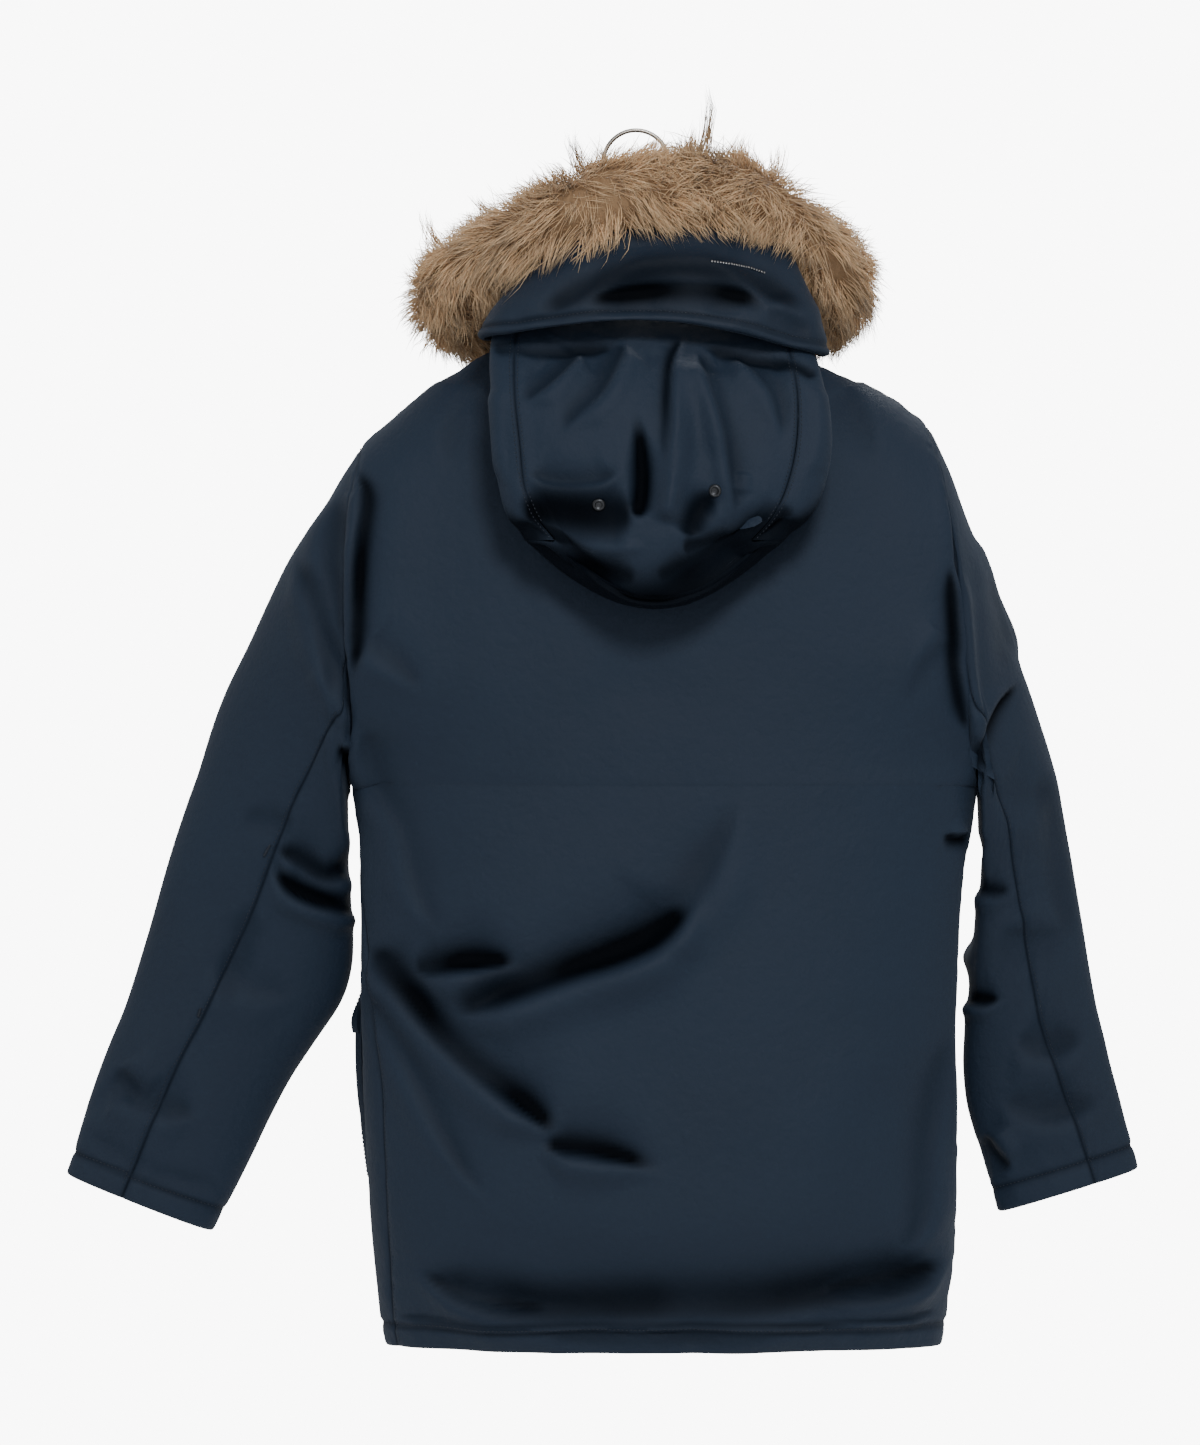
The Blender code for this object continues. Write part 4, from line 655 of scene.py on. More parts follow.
def hood_side(side, row, shares):
    """Round the bag's side, from the visible seam (share 0) to the hidden seam (share 1)."""
    read = hood_reader()
    seam = read("seam_" + side, row)
    edge = read(side, row)
    z = read("z", row)
    turn = shares * math.pi
    x = seam + (edge - seam) * np.sin(turn)
    face = read("edge_y", row) + (read("face_y", row) - read("edge_y", row)) * 0.55
    hidden = read("inner_y", row)
    y = np.where(turn < math.pi / 2, read("edge_y", row) + (face - read("edge_y", row))
                 * np.cos(turn),
                 read("edge_y", row) + (read("edge_y", row) - hidden) * np.cos(turn))
    return np.stack((x, y, np.full_like(x, z)), axis=-1)


def fur_point(station, turn, clear=0.0):
    """A point of the fur's section: turn 0 faces away from the neck and a quarter turn faces up."""
    knots = np.arange(len(FUR_STATIONS))
    read = {name: float(smooth(knots, column(FUR_STATIONS, FUR_COLUMNS, name), station))
            for name in FUR_COLUMNS}
    step = 0.05
    ahead = np.array([float(smooth(knots, column(FUR_STATIONS, FUR_COLUMNS, n), station + step))
                      for n in "xy"])
    behind = np.array([float(smooth(knots, column(FUR_STATIONS, FUR_COLUMNS, n), station - step))
                       for n in "xy"])
    along = unit(ahead - behind)
    sideways = np.array((along[1], -along[0], 0))
    centre = np.array((read["x"], read["y"], read["z"]))
    end = min(1.0, FUR_END + station * FUR_TAPER, FUR_END + (len(FUR_STATIONS) - 1 - station)
              * FUR_TAPER)
    reach = sideways * (read["half_depth"] * end + clear) * math.cos(turn)
    return centre + reach + np.array((0, 0, (read["half_height"] * end + clear) * math.sin(turn)))


def side_seam(row):
    heights = column(BODY_SECTIONS, BODY_COLUMNS, "z")
    z = heights[0] + (heights[-1] - heights[0]) * min(row, 1)
    return float(smooth(heights, column(BODY_SECTIONS, BODY_COLUMNS, "seam"), z))


# ---------------------------------------------------------------- soft relief
def lattice_noise(points, size, seed):
    """Smooth noise from -1 to 1 with features about size wide."""
    rng = np.random.default_rng(seed)
    table = rng.uniform(-1, 1, (32, 32, 32))
    where = points / size + 100.0
    cell = np.floor(where).astype(int)
    t = where - cell
    t = t * t * (3 - 2 * t)
    total = np.zeros(points.shape[:-1])
    for corner in range(8):
        step = ((corner >> 2) & 1, (corner >> 1) & 1, corner & 1)
        weight = np.ones(points.shape[:-1])
        for axis in range(3):
            weight = weight * (t[..., axis] if step[axis] else 1 - t[..., axis])
        index = (cell + np.array(step)) % 32
        total += weight * table[index[..., 0], index[..., 1], index[..., 2]]
    return total


def ease(value):
    value = np.clip(value, 0, 1)
    return value * value * (3 - 2 * value)


def fold_relief(points, folds):
    """Push along the normal from folds drawn in x and z, and the painted shade of each point: how
    far its colour is darkened where it lies in a crease.

    Each fold is width, depth, lip, fade at its start, fade at its end, and the points of its
    line. A lip of 1 or -1 raises a soft roll on that side of the trough and 0 leaves a plain dip.
    """
    flat = points[..., (0, 2)]
    total = np.zeros(points.shape[:-1])
    crease_shade = np.zeros(points.shape[:-1])
    for width, depth, lip, fade_in, fade_out, line in folds:
        line = smooth_line(np.array(line, dtype=float), 5)
        runs = np.diff(line, axis=0)
        lengths = np.linalg.norm(runs, axis=1)
        starts = np.concatenate(([0], np.cumsum(lengths)))[:-1]
        low, high = line.min(axis=0) - width * 5, line.max(axis=0) + width * 5
        near = np.all((flat > low) & (flat < high), axis=-1)
        here = flat[near]
        best = np.full(len(here), 1e9)
        side = np.zeros(len(here))
        along = np.zeros(len(here))
        headings = unit(np.gradient(line, axis=0))
        for number, (start, run, length, begun) in enumerate(zip(line[:-1], runs, lengths, starts)):
            offset = here - start
            t = np.clip(offset @ run / length ** 2, 0, 1)
            away = offset - t[:, None] * run
            distance = np.linalg.norm(away, axis=1)
            closer = distance < best
            best = np.where(closer, distance, best)
            heading = headings[number] * (1 - t[:, None]) + headings[number + 1] * t[:, None]
            across = heading[:, 0] * away[:, 1] - heading[:, 1] * away[:, 0]
            side = np.where(closer, across / np.maximum(distance, 1e-9), side)
            along = np.where(closer, (begun + t * length) / lengths.sum(), along)
        fade = ease(along / max(fade_in, 0.01)) * ease((1 - along) / max(fade_out, 0.01))
        wander = 1 + FOLD_WANDER * lattice_noise(points[near], FOLD_WANDER_SIZE,
                                                 int(width * 1e5 + depth * 1e6) % 997)
        reach = width * (FOLD_END_WIDTH + (1 - FOLD_END_WIDTH) * fade)
        u = best * np.clip(side * 1.6, -1, 1) / reach
        if lip:
            u = u * lip
            trough = np.where(u > 0, np.exp(-(u / 0.72) ** 2), np.exp(-(u / 2.7) ** 2))
            shape = 0.95 * np.exp(-((u - 1.55) / 1.3) ** 2) - 0.95 * trough
            shade_profile = np.where(u > -0.15, np.exp(-np.abs((u + 0.15) / 0.95) ** 4),
                            np.exp(-((u + 0.15) / 1.2) ** 2))
        else:
            shape = -np.exp(-(best / reach) ** 2)
            shade_profile = np.exp(-np.abs(u / 0.95) ** 3)
        total[near] += math.copysign(min(abs(depth), width * FOLD_STEEPNESS),
                                     depth) * fade * wander * shape
        # Painted shade: a fold past a set depth darkens the colour along its trough, and a ridge
        # clears the painted shade under it.
        dark = np.clip((abs(depth) - CREASE_SHADE_FROM) / CREASE_SHADE_RANGE, 0, 1)
        tuck = shade_profile * dark * ease(fade * 1.8) * np.clip(wander, 0.7, 1.2)
        if depth > 0:
            crease_shade[near] = np.maximum(crease_shade[near], np.clip(tuck, 0, 1))
        else:
            crease_shade[near] *= 1 - np.clip(tuck * 1.25, 0, 1)
    return np.stack((total, crease_shade))


def smooth_line(line, steps):
    """The line with its corners rounded by a smooth curve through its points."""
    if len(line) < 3:
        return line
    knots = np.arange(len(line))
    at = np.linspace(0, len(line) - 1, (len(line) - 1) * steps + 1)
    return np.stack([smooth(knots, line[:, axis], at) for axis in range(line.shape[1])], axis=1)


# ---------------------------------------------------------------- grids of points
def spread(total, step, fine=(0.0006, 0.0014, 0.0026, 0.0044, 0.0068)):
    """Places from 0 to total, a step apart, with finer ones beside both ends."""
    inside = np.linspace(0, total, max(2, int(round(total / step)) + 1))
    edge = np.array(fine)
    middle = inside[(inside > edge[-1] * 1.25) & (inside < total - edge[-1] * 1.25)]
    return np.concatenate(([0], edge, middle, total - edge[::-1], [total]))


def grid_normal(grid):
    """Normals of one grid, in the sense of its rows crossed with its columns."""
    down = np.gradient(grid, axis=0)
    across = np.gradient(grid, axis=1)
    return unit(np.cross(across, down))


def border_distance(grid):
    """Distance along the cloth to the first row, the last row, the first column and the last."""
    rows = np.linalg.norm(np.diff(grid, axis=0), axis=-1)
    cols = np.linalg.norm(np.diff(grid, axis=1), axis=-1)
    down = np.concatenate((np.zeros((1, grid.shape[1])), np.cumsum(rows, axis=0)))
    across = np.concatenate((np.zeros((grid.shape[0], 1)), np.cumsum(cols, axis=1)), axis=1)
    return down, down[-1:] - down, across, across[:, -1:] - across


def weld_normals(panels):
    """Averages the normals where panels meet, so that their walls meet too."""
    spots = []
    for name, panel in panels.items():
        rows, cols = panel["grid"].shape[:2]
        for r in range(rows):
            places = range(cols) if r in (0, rows - 1) else (0, cols - 1)
            spots += [(name, r, c) for c in places]
    tree = kdtree.KDTree(len(spots))
    for index, (name, r, c) in enumerate(spots):
        tree.insert(panels[name]["grid"][r, c], index)
    tree.balance()
    fresh = []
    for name, r, c in spots:
        total = np.zeros(3)
        for _, index, _ in tree.find_range(panels[name]["grid"][r, c], 0.00005):
            other, row, col = spots[index]
            total += panels[other]["normal"][row, col]
        fresh.append(unit(total))
    for (name, r, c), normal in zip(spots, fresh):
        panels[name]["normal"][r, c] = normal


# ---------------------------------------------------------------- meshes
def mesh_of(name, points, faces):
    """A mesh from arrays: faces is a list of arrays, each of polygons with as many corners."""
    mesh = bpy.data.meshes.new(name)
    mesh.vertices.add(len(points))
    mesh.vertices.foreach_set("co", np.ascontiguousarray(points, dtype=np.float32).ravel())
    corners = np.concatenate([block.ravel() for block in faces])
    sizes = np.concatenate([np.full(len(block), block.shape[1]) for block in faces])
    mesh.loops.add(len(corners))
    mesh.loops.foreach_set("vertex_index", corners.astype(np.int32))
    mesh.polygons.add(len(sizes))
    mesh.polygons.foreach_set("loop_start", (np.cumsum(sizes) - sizes).astype(np.int32))
    mesh.update(calc_edges=True)
    mesh.validate()
    mesh.shade_smooth()
    return mesh


def add_object(name, mesh, material, nodes=(), body=GARMENT):
    """Puts a finished mesh into the scene as one piece of the object."""
    item = bpy.data.objects.new(name, mesh)
    bpy.context.scene.collection.objects.link(item)
    mesh.materials.clear()
    mesh.materials.append(material)
    if nodes:
        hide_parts(*nodes)
    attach(item, body)
    return item


def grid_faces(rows, cols, first=0, flip=False):
    number = first + np.arange(rows * cols).reshape(rows, cols)
    quads = np.stack((number[:-1, :-1], number[1:, :-1], number[1:, 1:], number[:-1, 1:]),
                     axis=-1).reshape(-1, 4)
    return quads[:, ::-1] if flip else quads


def border_loop(rows, cols, first=0):
    number = first + np.arange(rows * cols).reshape(rows, cols)
    return np.concatenate((number[0], number[1:, -1], number[-1, -2::-1], number[-2:0:-1, 0]))


def coarse_steps(count, stride):
    """Every stride-th index of count, always with both ends."""
    steps = list(range(0, count - 1, stride))
    if count - 1 - steps[-1] < stride / 2 and len(steps) > 1:
        steps.pop()
    return np.array([*steps, count - 1])


def stitch_loops(dense, coarse, dense_at):
    """Triangles between a dense border and a coarse one. dense_at places each coarse corner."""
    faces = []
    count = len(dense)
    for index in range(len(coarse)):
        here, ahead = coarse[index], coarse[(index + 1) % len(coarse)]
        start = dense_at[index]
        end = dense_at[(index + 1) % len(coarse)]
        if end <= start:
            end += count
        half = (start + end) // 2
        for step in range(start, end):
            faces.append((dense[step % count], dense[(step + 1) % count],
                          here if step < half else ahead))
            if step + 1 == half or (half == start and step == start):
                faces.append((dense[half % count], ahead, here))
    return faces


def padded_wall(name, outer, normals, relief, depth, stride=4):
    """Closed wall: a dense outer face with its relief and a plain inner face below every trough."""
    rows, cols = outer.shape[:2]
    face = outer + normals * relief[..., None]
    row_steps, col_steps = coarse_steps(rows, stride), coarse_steps(cols, stride)
    lowest = np.minimum(relief, 0)
    for axis in (0, 1):
        padded = np.concatenate([np.roll(lowest, shift, axis=axis)[None]
                                 for shift in range(-stride, stride + 1)])
        lowest = padded.min(axis=0)
    for border in (np.s_[0], np.s_[-1], np.s_[:, 0], np.s_[:, -1]):
        lowest[border] = np.minimum(relief, 0)[border]
    inner = (outer + normals * (lowest - depth)[..., None])[np.ix_(row_steps, col_steps)]
    few_rows, few_cols = inner.shape[:2]
    first = rows * cols
    outer_quads = grid_faces(rows, cols)
    inner_quads = grid_faces(few_rows, few_cols, first, flip=True)
    dense = border_loop(rows, cols)
    coarse = border_loop(few_rows, few_cols, first)
    top = [int(c) for c in col_steps]
    right = [cols - 1 + int(r) for r in row_steps[1:]]
    bottom = [cols - 1 + rows - 1 + (cols - 1 - int(c)) for c in col_steps[-2::-1]]
    left = [2 * (cols - 1) + rows - 1 + (rows - 1 - int(r)) for r in row_steps[-2:0:-1]]
    triangles = np.array(stitch_loops(dense, coarse, top + right + bottom + left))
    points = np.concatenate((face.reshape(-1, 3), inner.reshape(-1, 3)))
    mesh = mesh_of(name, points, [outer_quads, inner_quads, triangles])
    work = bmesh.new()
    work.from_mesh(mesh)
    bmesh.ops.recalc_face_normals(work, faces=work.faces)
    if work.calc_volume(signed=True) < 0:
        bmesh.ops.reverse_faces(work, faces=work.faces)
    work.to_mesh(mesh)
    work.free()
    mesh.set_sharp_from_angle(angle=math.radians(60))
    return mesh
# ---------------------------------------------------------------- the panels' grids
def smooth_rings(rings, at):
    """Rings joined by a smooth curve through each column; at counts from the first ring."""
    slopes = np.gradient(rings, axis=0)
    index = np.clip(np.floor(at).astype(int), 0, len(rings) - 2)
    t = (at - index)[:, None, None]
    rise = (2 * t ** 3 - 3 * t ** 2 + 1) * rings[index] + (3 * t ** 2 - 2
                                                           * t ** 3) * rings[index + 1]
    lean = (t ** 3 - 2 * t ** 2 + t) * slopes[index] + (t ** 3 - t ** 2) * slopes[index + 1]
    return rise + lean


def armhole_shares(steps=84):
    """Shares of the armhole's height, close together at both ends and beside the long seams."""
    seam_at = math.acos(1 - 2 * SEAM_SHARE) / math.pi
    low = int(round(steps * seam_at))
    turns = np.concatenate((np.linspace(0, seam_at, low)[:-1],
                            np.linspace(seam_at, 1, steps - low)))
    shares = (1 - np.cos(turns * math.pi)) / 2
    height = ARMHOLES[0][2] - ARMHOLES[-1][2]
    beside = np.array((0.0007, 0.0016, 0.0030, 0.0048)) / abs(height)
    away = np.abs(shares - SEAM_SHARE)
    kept = shares[(away > beside[-1] * 1.2) | (away < 1e-9)]
    return np.sort(np.concatenate((kept, SEAM_SHARE - beside, SEAM_SHARE + beside)))


def body_rows(step):
    height = BODY_SECTIONS[-1][0] - BODY_SECTIONS[0][0]
    low = spread(height, step)
    low = low[low < height - 0.004] / height
    return np.concatenate((low, 1 + armhole_shares()))


def base_turns(last, step):
    """Turns from the side seam to the last one, evenly spaced along the cloth."""
    fine = np.linspace(0, last, 1200)
    points = torso(0.75, np.maximum(fine, 1e-6))
    arc = np.concatenate(([0], np.cumsum(np.linalg.norm(np.diff(points, axis=0), axis=1))))
    return np.interp(spread(arc[-1], step), arc, fine)


def back_grid(step):
    base = base_turns(180.0, step)
    seams = np.array([side_seam(row) for row in body_rows(step)])[:, None]
    turns = base[None] + seams * np.maximum(1 - base / SEAM_SPREAD, 0)[None]
    return torso(body_rows(step)[:, None], np.maximum(turns, 1e-6))


def front_grid(side, step):
    base = base_turns(FRONT_EDGE_TURN, step)
    seams = np.array([side_seam(row) for row in body_rows(step)])[:, None]
    if side == "left":
        turns = seams * np.maximum(1 - base / SEAM_SPREAD, 0)[None] - base[None]
    else:
        turns = base[None] - 180.0 + 0 * seams
    return torso(body_rows(step)[:, None], turns)


def sleeve_grids(side, step):
    """Upper and under panels of a sleeve, sharing the armhole's rows."""
    shares = armhole_shares()
    at_seam = int(np.argmin(np.abs(shares - SEAM_SHARE)))
    upper = [(share, True) for share in shares[at_seam:]]
    upper += [(share, False) for share in shares[at_seam:-1][::-1]]
    under = [(share, True) for share in shares[:at_seam + 1][::-1]]
    under += [(share, False) for share in shares[1:at_seam + 1]]
    both = [np.array([[sleeve(side, section, np.float64(share), back) for share, back in route]
                      for section in range(-1, len(LEFT_SLEEVE))]) for route in (upper, under)]
    runs = np.linalg.norm(np.diff(both[0], axis=0), axis=-1).mean(axis=1)
    arc = np.concatenate(([0], np.cumsum(runs)))
    at = np.interp(spread(arc[-1], step), arc, np.arange(len(arc)))
    return [smooth_rings(rings, at) for rings in both]


def collar_grid(step):
    half = (NECK_LEFT - NECK_RIGHT) / 2
    gap = math.degrees(math.asin(0.0045 / half))
    arc = math.pi * half * 2
    turns = -90 + gap + spread(arc, step) / arc * (360 - 2 * gap)
    heights = spread(COLLAR_HEIGHT, step)
    return np.array([neck_loop(np.mod(turns, 360.0), height) for height in heights])


# ---------------------------------------------------------------- relief of sewn and padded cloth
def pinch(distance, depth, radius):
    """The cloth dips into a seam."""
    return -depth * np.clip(1 - distance / radius, 0, 1) ** 2


def rolled(distance, radius):
    """The cloth rolls over a finished edge."""
    share = np.clip(1 - distance / radius, 0, 1)
    return -radius * (1 - np.sqrt(1 - share ** 2))


def puckers(distance, along, size, seed, pitch=0.0085, reach=0.015):
    """Short creases that run square to a seam, uneven in length and spacing."""
    places = np.stack((along, np.zeros_like(along), np.zeros_like(along)), axis=-1)
    wave = lattice_noise(places, pitch, seed) + 0.5 * lattice_noise(places, pitch * 2.7, seed + 1)
    length = reach * (1 + 0.6 * lattice_noise(places, pitch * 4, seed + 2))
    return size * wave * np.exp(-(distance / length) ** 2) * (1 - np.exp(-(distance / 0.003) ** 2))


def stitch_groove(distance, inset, depth=0.0011, width=0.0021):
    """The line that a row of topstitching draws into the cloth."""
    return -depth * np.exp(-((distance - inset) / width) ** 2)


def calm(points, sizes, seed):
    """Slow swell and fine unevenness of padded cloth."""
    total = np.zeros(points.shape[:-1])
    for number, (size, height) in enumerate(sizes):
        total += height * lattice_noise(points, size, seed + number)
    return total


def facing(normals, sign):
    """How far each point faces the back (sign 1) or the front (sign -1), from 0 to 1."""
    return ease(normals[..., 1] * sign * 1.6 + 0.5)


def outward(grid, centre):
    """Normals of a grid that point away from centre, a point or one for each row."""
    normals = grid_normal(grid)
    away = np.sum(normals * (grid - centre), axis=-1)
    return normals if away.mean() > 0 else -normals
# ---------------------------------------------------------------- node groups and materials
def new_group(name, inputs, outputs):
    group = bpy.data.node_groups.new(name, "ShaderNodeTree")
    for label, kind, value in inputs:
        socket = group.interface.new_socket(label, in_out="INPUT", socket_type=kind)
        socket.default_value = value
    for label, kind in outputs:
        group.interface.new_socket(label, in_out="OUTPUT", socket_type=kind)
    nodes = group.nodes
    return group, nodes, nodes.new("NodeGroupInput"), nodes.new("NodeGroupOutput")


def math_node(nodes, links, operation, *values):
    node = nodes.new("ShaderNodeMath")
    node.operation = operation
    for socket, value in zip(node.inputs, values):
        if isinstance(value, (int, float)):
            socket.default_value = value
        else:
            links.new(value, socket)
    return node.outputs[0]


def noise_node(nodes, links, vector, scale, detail, roughness=0.5):
    node = nodes.new("ShaderNodeTexNoise")
    node.inputs["Detail"].default_value = detail
    node.inputs["Roughness"].default_value = roughness
    if isinstance(scale, (int, float)):
        node.inputs["Scale"].default_value = scale
    else:
        links.new(scale, node.inputs["Scale"])
    links.new(vector, node.inputs["Vector"])
    return node.outputs["Fac"]


def woven_cloth_group():
    """Fine plain weave from a map in metres: its height, and how much each thread shows."""
    group, nodes, start, end = new_group(
        "woven_cloth",
        [("Map", "NodeSocketVector", (0, 0, 0)), ("Threads", "NodeSocketFloat", 1400.0),
         ("Unevenness", "NodeSocketFloat", 0.35)],
        [("Height", "NodeSocketFloat"), ("Thread", "NodeSocketFloat")])
    links = group.links
    parts = nodes.new("ShaderNodeSeparateXYZ")
    links.new(start.outputs["Map"], parts.inputs[0])
    waves = []
    for axis in ("X", "Y"):
        turns = math_node(nodes, links, "MULTIPLY", parts.outputs[axis], start.outputs["Threads"])
        wobble = noise_node(nodes, links, start.outputs["Map"], 90.0, 1.0)
        turns = math_node(nodes, links, "ADD", turns, math_node(nodes, links, "MULTIPLY", wobble,
                                                                start.outputs["Unevenness"]))
        waves.append(math_node(nodes, links, "SINE", math_node(nodes, links, "MULTIPLY", turns,
                                                               math.pi)))
    product = math_node(nodes, links, "MULTIPLY", waves[0], waves[1])
    height = math_node(nodes, links, "ABSOLUTE", product)
    links.new(height, end.inputs["Height"])
    links.new(math_node(nodes, links, "MULTIPLY_ADD", product, 0.5, 0.5), end.inputs["Thread"])
    return group


def crinkle_group():
    """Light crinkles of a coated shell: their height, a slow drift in tone and a wear mask."""
    group, nodes, start, end = new_group(
        "shell_crinkle",
        [("Place", "NodeSocketVector", (0, 0, 0)), ("Size", "NodeSocketFloat", 70.0),
         ("Drift", "NodeSocketFloat", 6.0)],
        [("Height", "NodeSocketFloat"), ("Tone", "NodeSocketFloat"), ("Rub", "NodeSocketFloat")])
    links = group.links
    broad = noise_node(nodes, links, start.outputs["Place"], start.outputs["Size"], 3.0, 0.55)
    ridge = math_node(nodes, links, "ABSOLUTE", math_node(nodes, links, "SUBTRACT", broad, 0.5))
    finer = noise_node(nodes, links, start.outputs["Place"],
                       math_node(nodes, links, "MULTIPLY", start.outputs["Size"], 2.6), 2.0)
    height = math_node(nodes, links, "MULTIPLY_ADD", finer, 0.35,
                       math_node(nodes, links, "MULTIPLY", ridge, 1.4))
    links.new(height, end.inputs["Height"])
    links.new(noise_node(nodes, links, start.outputs["Place"], start.outputs["Drift"], 4.0, 0.6),
              end.inputs["Tone"])
    specks = noise_node(nodes, links, start.outputs["Place"], 260.0, 2.0, 0.7)
    rub = nodes.new("ShaderNodeMapRange")
    rub.inputs["From Min"].default_value = 0.62
    rub.inputs["From Max"].default_value = 0.80
    links.new(specks, rub.inputs["Value"])
    links.new(rub.outputs["Result"], end.inputs["Rub"])
    return group


def mix_colour(nodes, links, factor, first, second, blend="MIX"):
    node = nodes.new("ShaderNodeMix")
    node.data_type = "RGBA"
    node.blend_type = blend
    for socket, value in ((node.inputs["Factor"], factor), (node.inputs["A"], first),
                          (node.inputs["B"], second)):
        if isinstance(value, (int, float)):
            socket.default_value = value
        elif isinstance(value, tuple):
            socket.default_value = (*value, 1)
        else:
            links.new(value, socket)
    return node.outputs["Result"]


def start_material(name):
    material = bpy.data.materials.new(name)
    material.use_nodes = True
    tree = material.node_tree
    shader = tree.nodes["Principled BSDF"]
    return material, tree.nodes, tree.links, shader


def bump_into(nodes, links, shader, steps):
    """Chains bump nodes for (height, depth in metres) pairs into the shader's Normal."""
    normal = None
    for height, depth in steps:
        bump = nodes.new("ShaderNodeBump")
        bump.inputs["Distance"].default_value = depth
        bump.inputs["Strength"].default_value = 1.0
        links.new(height, bump.inputs["Height"])
        if normal is not None:
            links.new(normal, bump.inputs["Normal"])
        normal = bump.outputs["Normal"]
    links.new(normal, shader.inputs["Normal"])


def shell_material(name, dark, light, roughness, sheen, crinkle=0.0009):
    """Coated navy shell cloth: a fine weave, light crinkles, a slow drift in tone, and painted
    shade in its creases and seams read from a point attribute.
    """
    material, nodes, links, shader = start_material(name)
    place = nodes.new("ShaderNodeTexCoord").outputs["Object"]
    flat = nodes.new("ShaderNodeUVMap")
    flat.uv_map = "cloth"
    weave = nodes.new("ShaderNodeGroup")
    weave.node_tree = bpy.data.node_groups["woven_cloth"]
    links.new(flat.outputs["UV"], weave.inputs["Map"])
    folds = nodes.new("ShaderNodeGroup")
    folds.node_tree = bpy.data.node_groups["shell_crinkle"]
    links.new(place, folds.inputs["Place"])
    base = mix_colour(nodes, links, folds.outputs["Tone"], dark, light)
    base = mix_colour(nodes, links, math_node(nodes, links, "MULTIPLY", weave.outputs["Thread"],
                                              0.16), base,
                      tuple(min(1.0, value * 1.5) for value in light))
    base = mix_colour(nodes, links, math_node(nodes, links, "MULTIPLY", folds.outputs["Rub"], 0.10),
                      base,
                      tuple(min(1.0, value * 2.2) for value in light))
    # Painted shade: the point attribute darkens the colour almost to black in folds, seams, stitch
    # lines and under the hood's bag, and takes away specular and sheen there.
    read = nodes.new("ShaderNodeAttribute")
    read.attribute_name = "crease_shade"
    depth = math_node(nodes, links, "MULTIPLY", read.outputs["Fac"], 0.96)
    base = mix_colour(nodes, links, depth, base, tuple(value * 0.06 for value in dark))
    links.new(base, shader.inputs["Base Color"])
    links.new(math_node(nodes, links, "MULTIPLY_ADD", folds.outputs["Tone"], 0.14,
                        roughness - 0.07), shader.inputs["Roughness"])
    links.new(math_node(nodes, links, "MULTIPLY_ADD", depth, -0.22, 0.24),
              shader.inputs["Specular IOR Level"])
    links.new(math_node(nodes, links, "MULTIPLY_ADD", depth, -sheen, sheen),
              shader.inputs["Sheen Weight"])
    bump_into(nodes, links, shader, [(folds.outputs["Height"], crinkle),
                                     (weave.outputs["Height"], 0.00008)])
    shader.inputs["Sheen Roughness"].default_value = 0.45
    shader.inputs["Sheen Tint"].default_value = (0.55, 0.66, 0.82, 1)
    return material


def fur_material(name, root, middle, tip, smoke):
    """Guard hair: darker at the root, tan along its length, some tufts tipped dark grey."""
    material, nodes, links, shader = start_material(name)
    read = nodes.new("ShaderNodeAttribute")
    read.attribute_name = "hair"
    parts = nodes.new("ShaderNodeSeparateXYZ")
    links.new(read.outputs["Vector"], parts.inputs[0])
    along, luck, smoky = parts.outputs
    ramp = nodes.new("ShaderNodeValToRGB")
    ramp.color_ramp.elements[0].color = (*root, 1)
    ramp.color_ramp.elements[1].color = (*tip, 1)
    ramp.color_ramp.elements[1].position = 0.95
    centre = ramp.color_ramp.elements.new(0.45)
    centre.color = (*middle, 1)
    links.new(along, ramp.inputs["Fac"])
    tone = math_node(nodes, links, "MULTIPLY_ADD", luck, 0.50, 0.74)
    grey = nodes.new("ShaderNodeCombineColor")
    for socket in grey.inputs[:3]:
        links.new(tone, socket)
    shade = mix_colour(nodes, links, 1.0, ramp.outputs["Color"], grey.outputs[0], "MULTIPLY")
    dusk = math_node(nodes, links, "MULTIPLY", smoky, math_node(nodes, links, "POWER", along, 1.6))
    links.new(mix_colour(nodes, links, dusk, shade, smoke), shader.inputs["Base Color"])
    links.new(math_node(nodes, links, "MULTIPLY_ADD", luck, 0.2, 0.42), shader.inputs["Roughness"])
    shader.inputs["Specular IOR Level"].default_value = 0.3
    shader.inputs["Sheen Weight"].default_value = 0.25
    return material


def undercoat_material(name, dark, light):
    """Dense short wool under the guard hair. Its dark colour is partly the wool's own and partly
    painted shade between the strands.
    """
    material, nodes, links, shader = start_material(name)
    place = nodes.new("ShaderNodeTexCoord").outputs["Object"]
    coarse = noise_node(nodes, links, place, 45.0, 6.0, 0.7)
    fine = noise_node(nodes, links, place, 420.0, 3.0, 0.6)
    links.new(mix_colour(nodes, links, math_node(nodes, links, "MULTIPLY_ADD", coarse, 0.7,
                                                 math_node(nodes, links, "MULTIPLY", fine, 0.3)),
                         dark, light),
              shader.inputs["Base Color"])
    links.new(math_node(nodes, links, "MULTIPLY_ADD", fine, 0.2, 0.75), shader.inputs["Roughness"])
    bump_into(nodes, links, shader, [(coarse, 0.004), (fine, 0.0012)])
    shader.inputs["Specular IOR Level"].default_value = 0.15
    return material


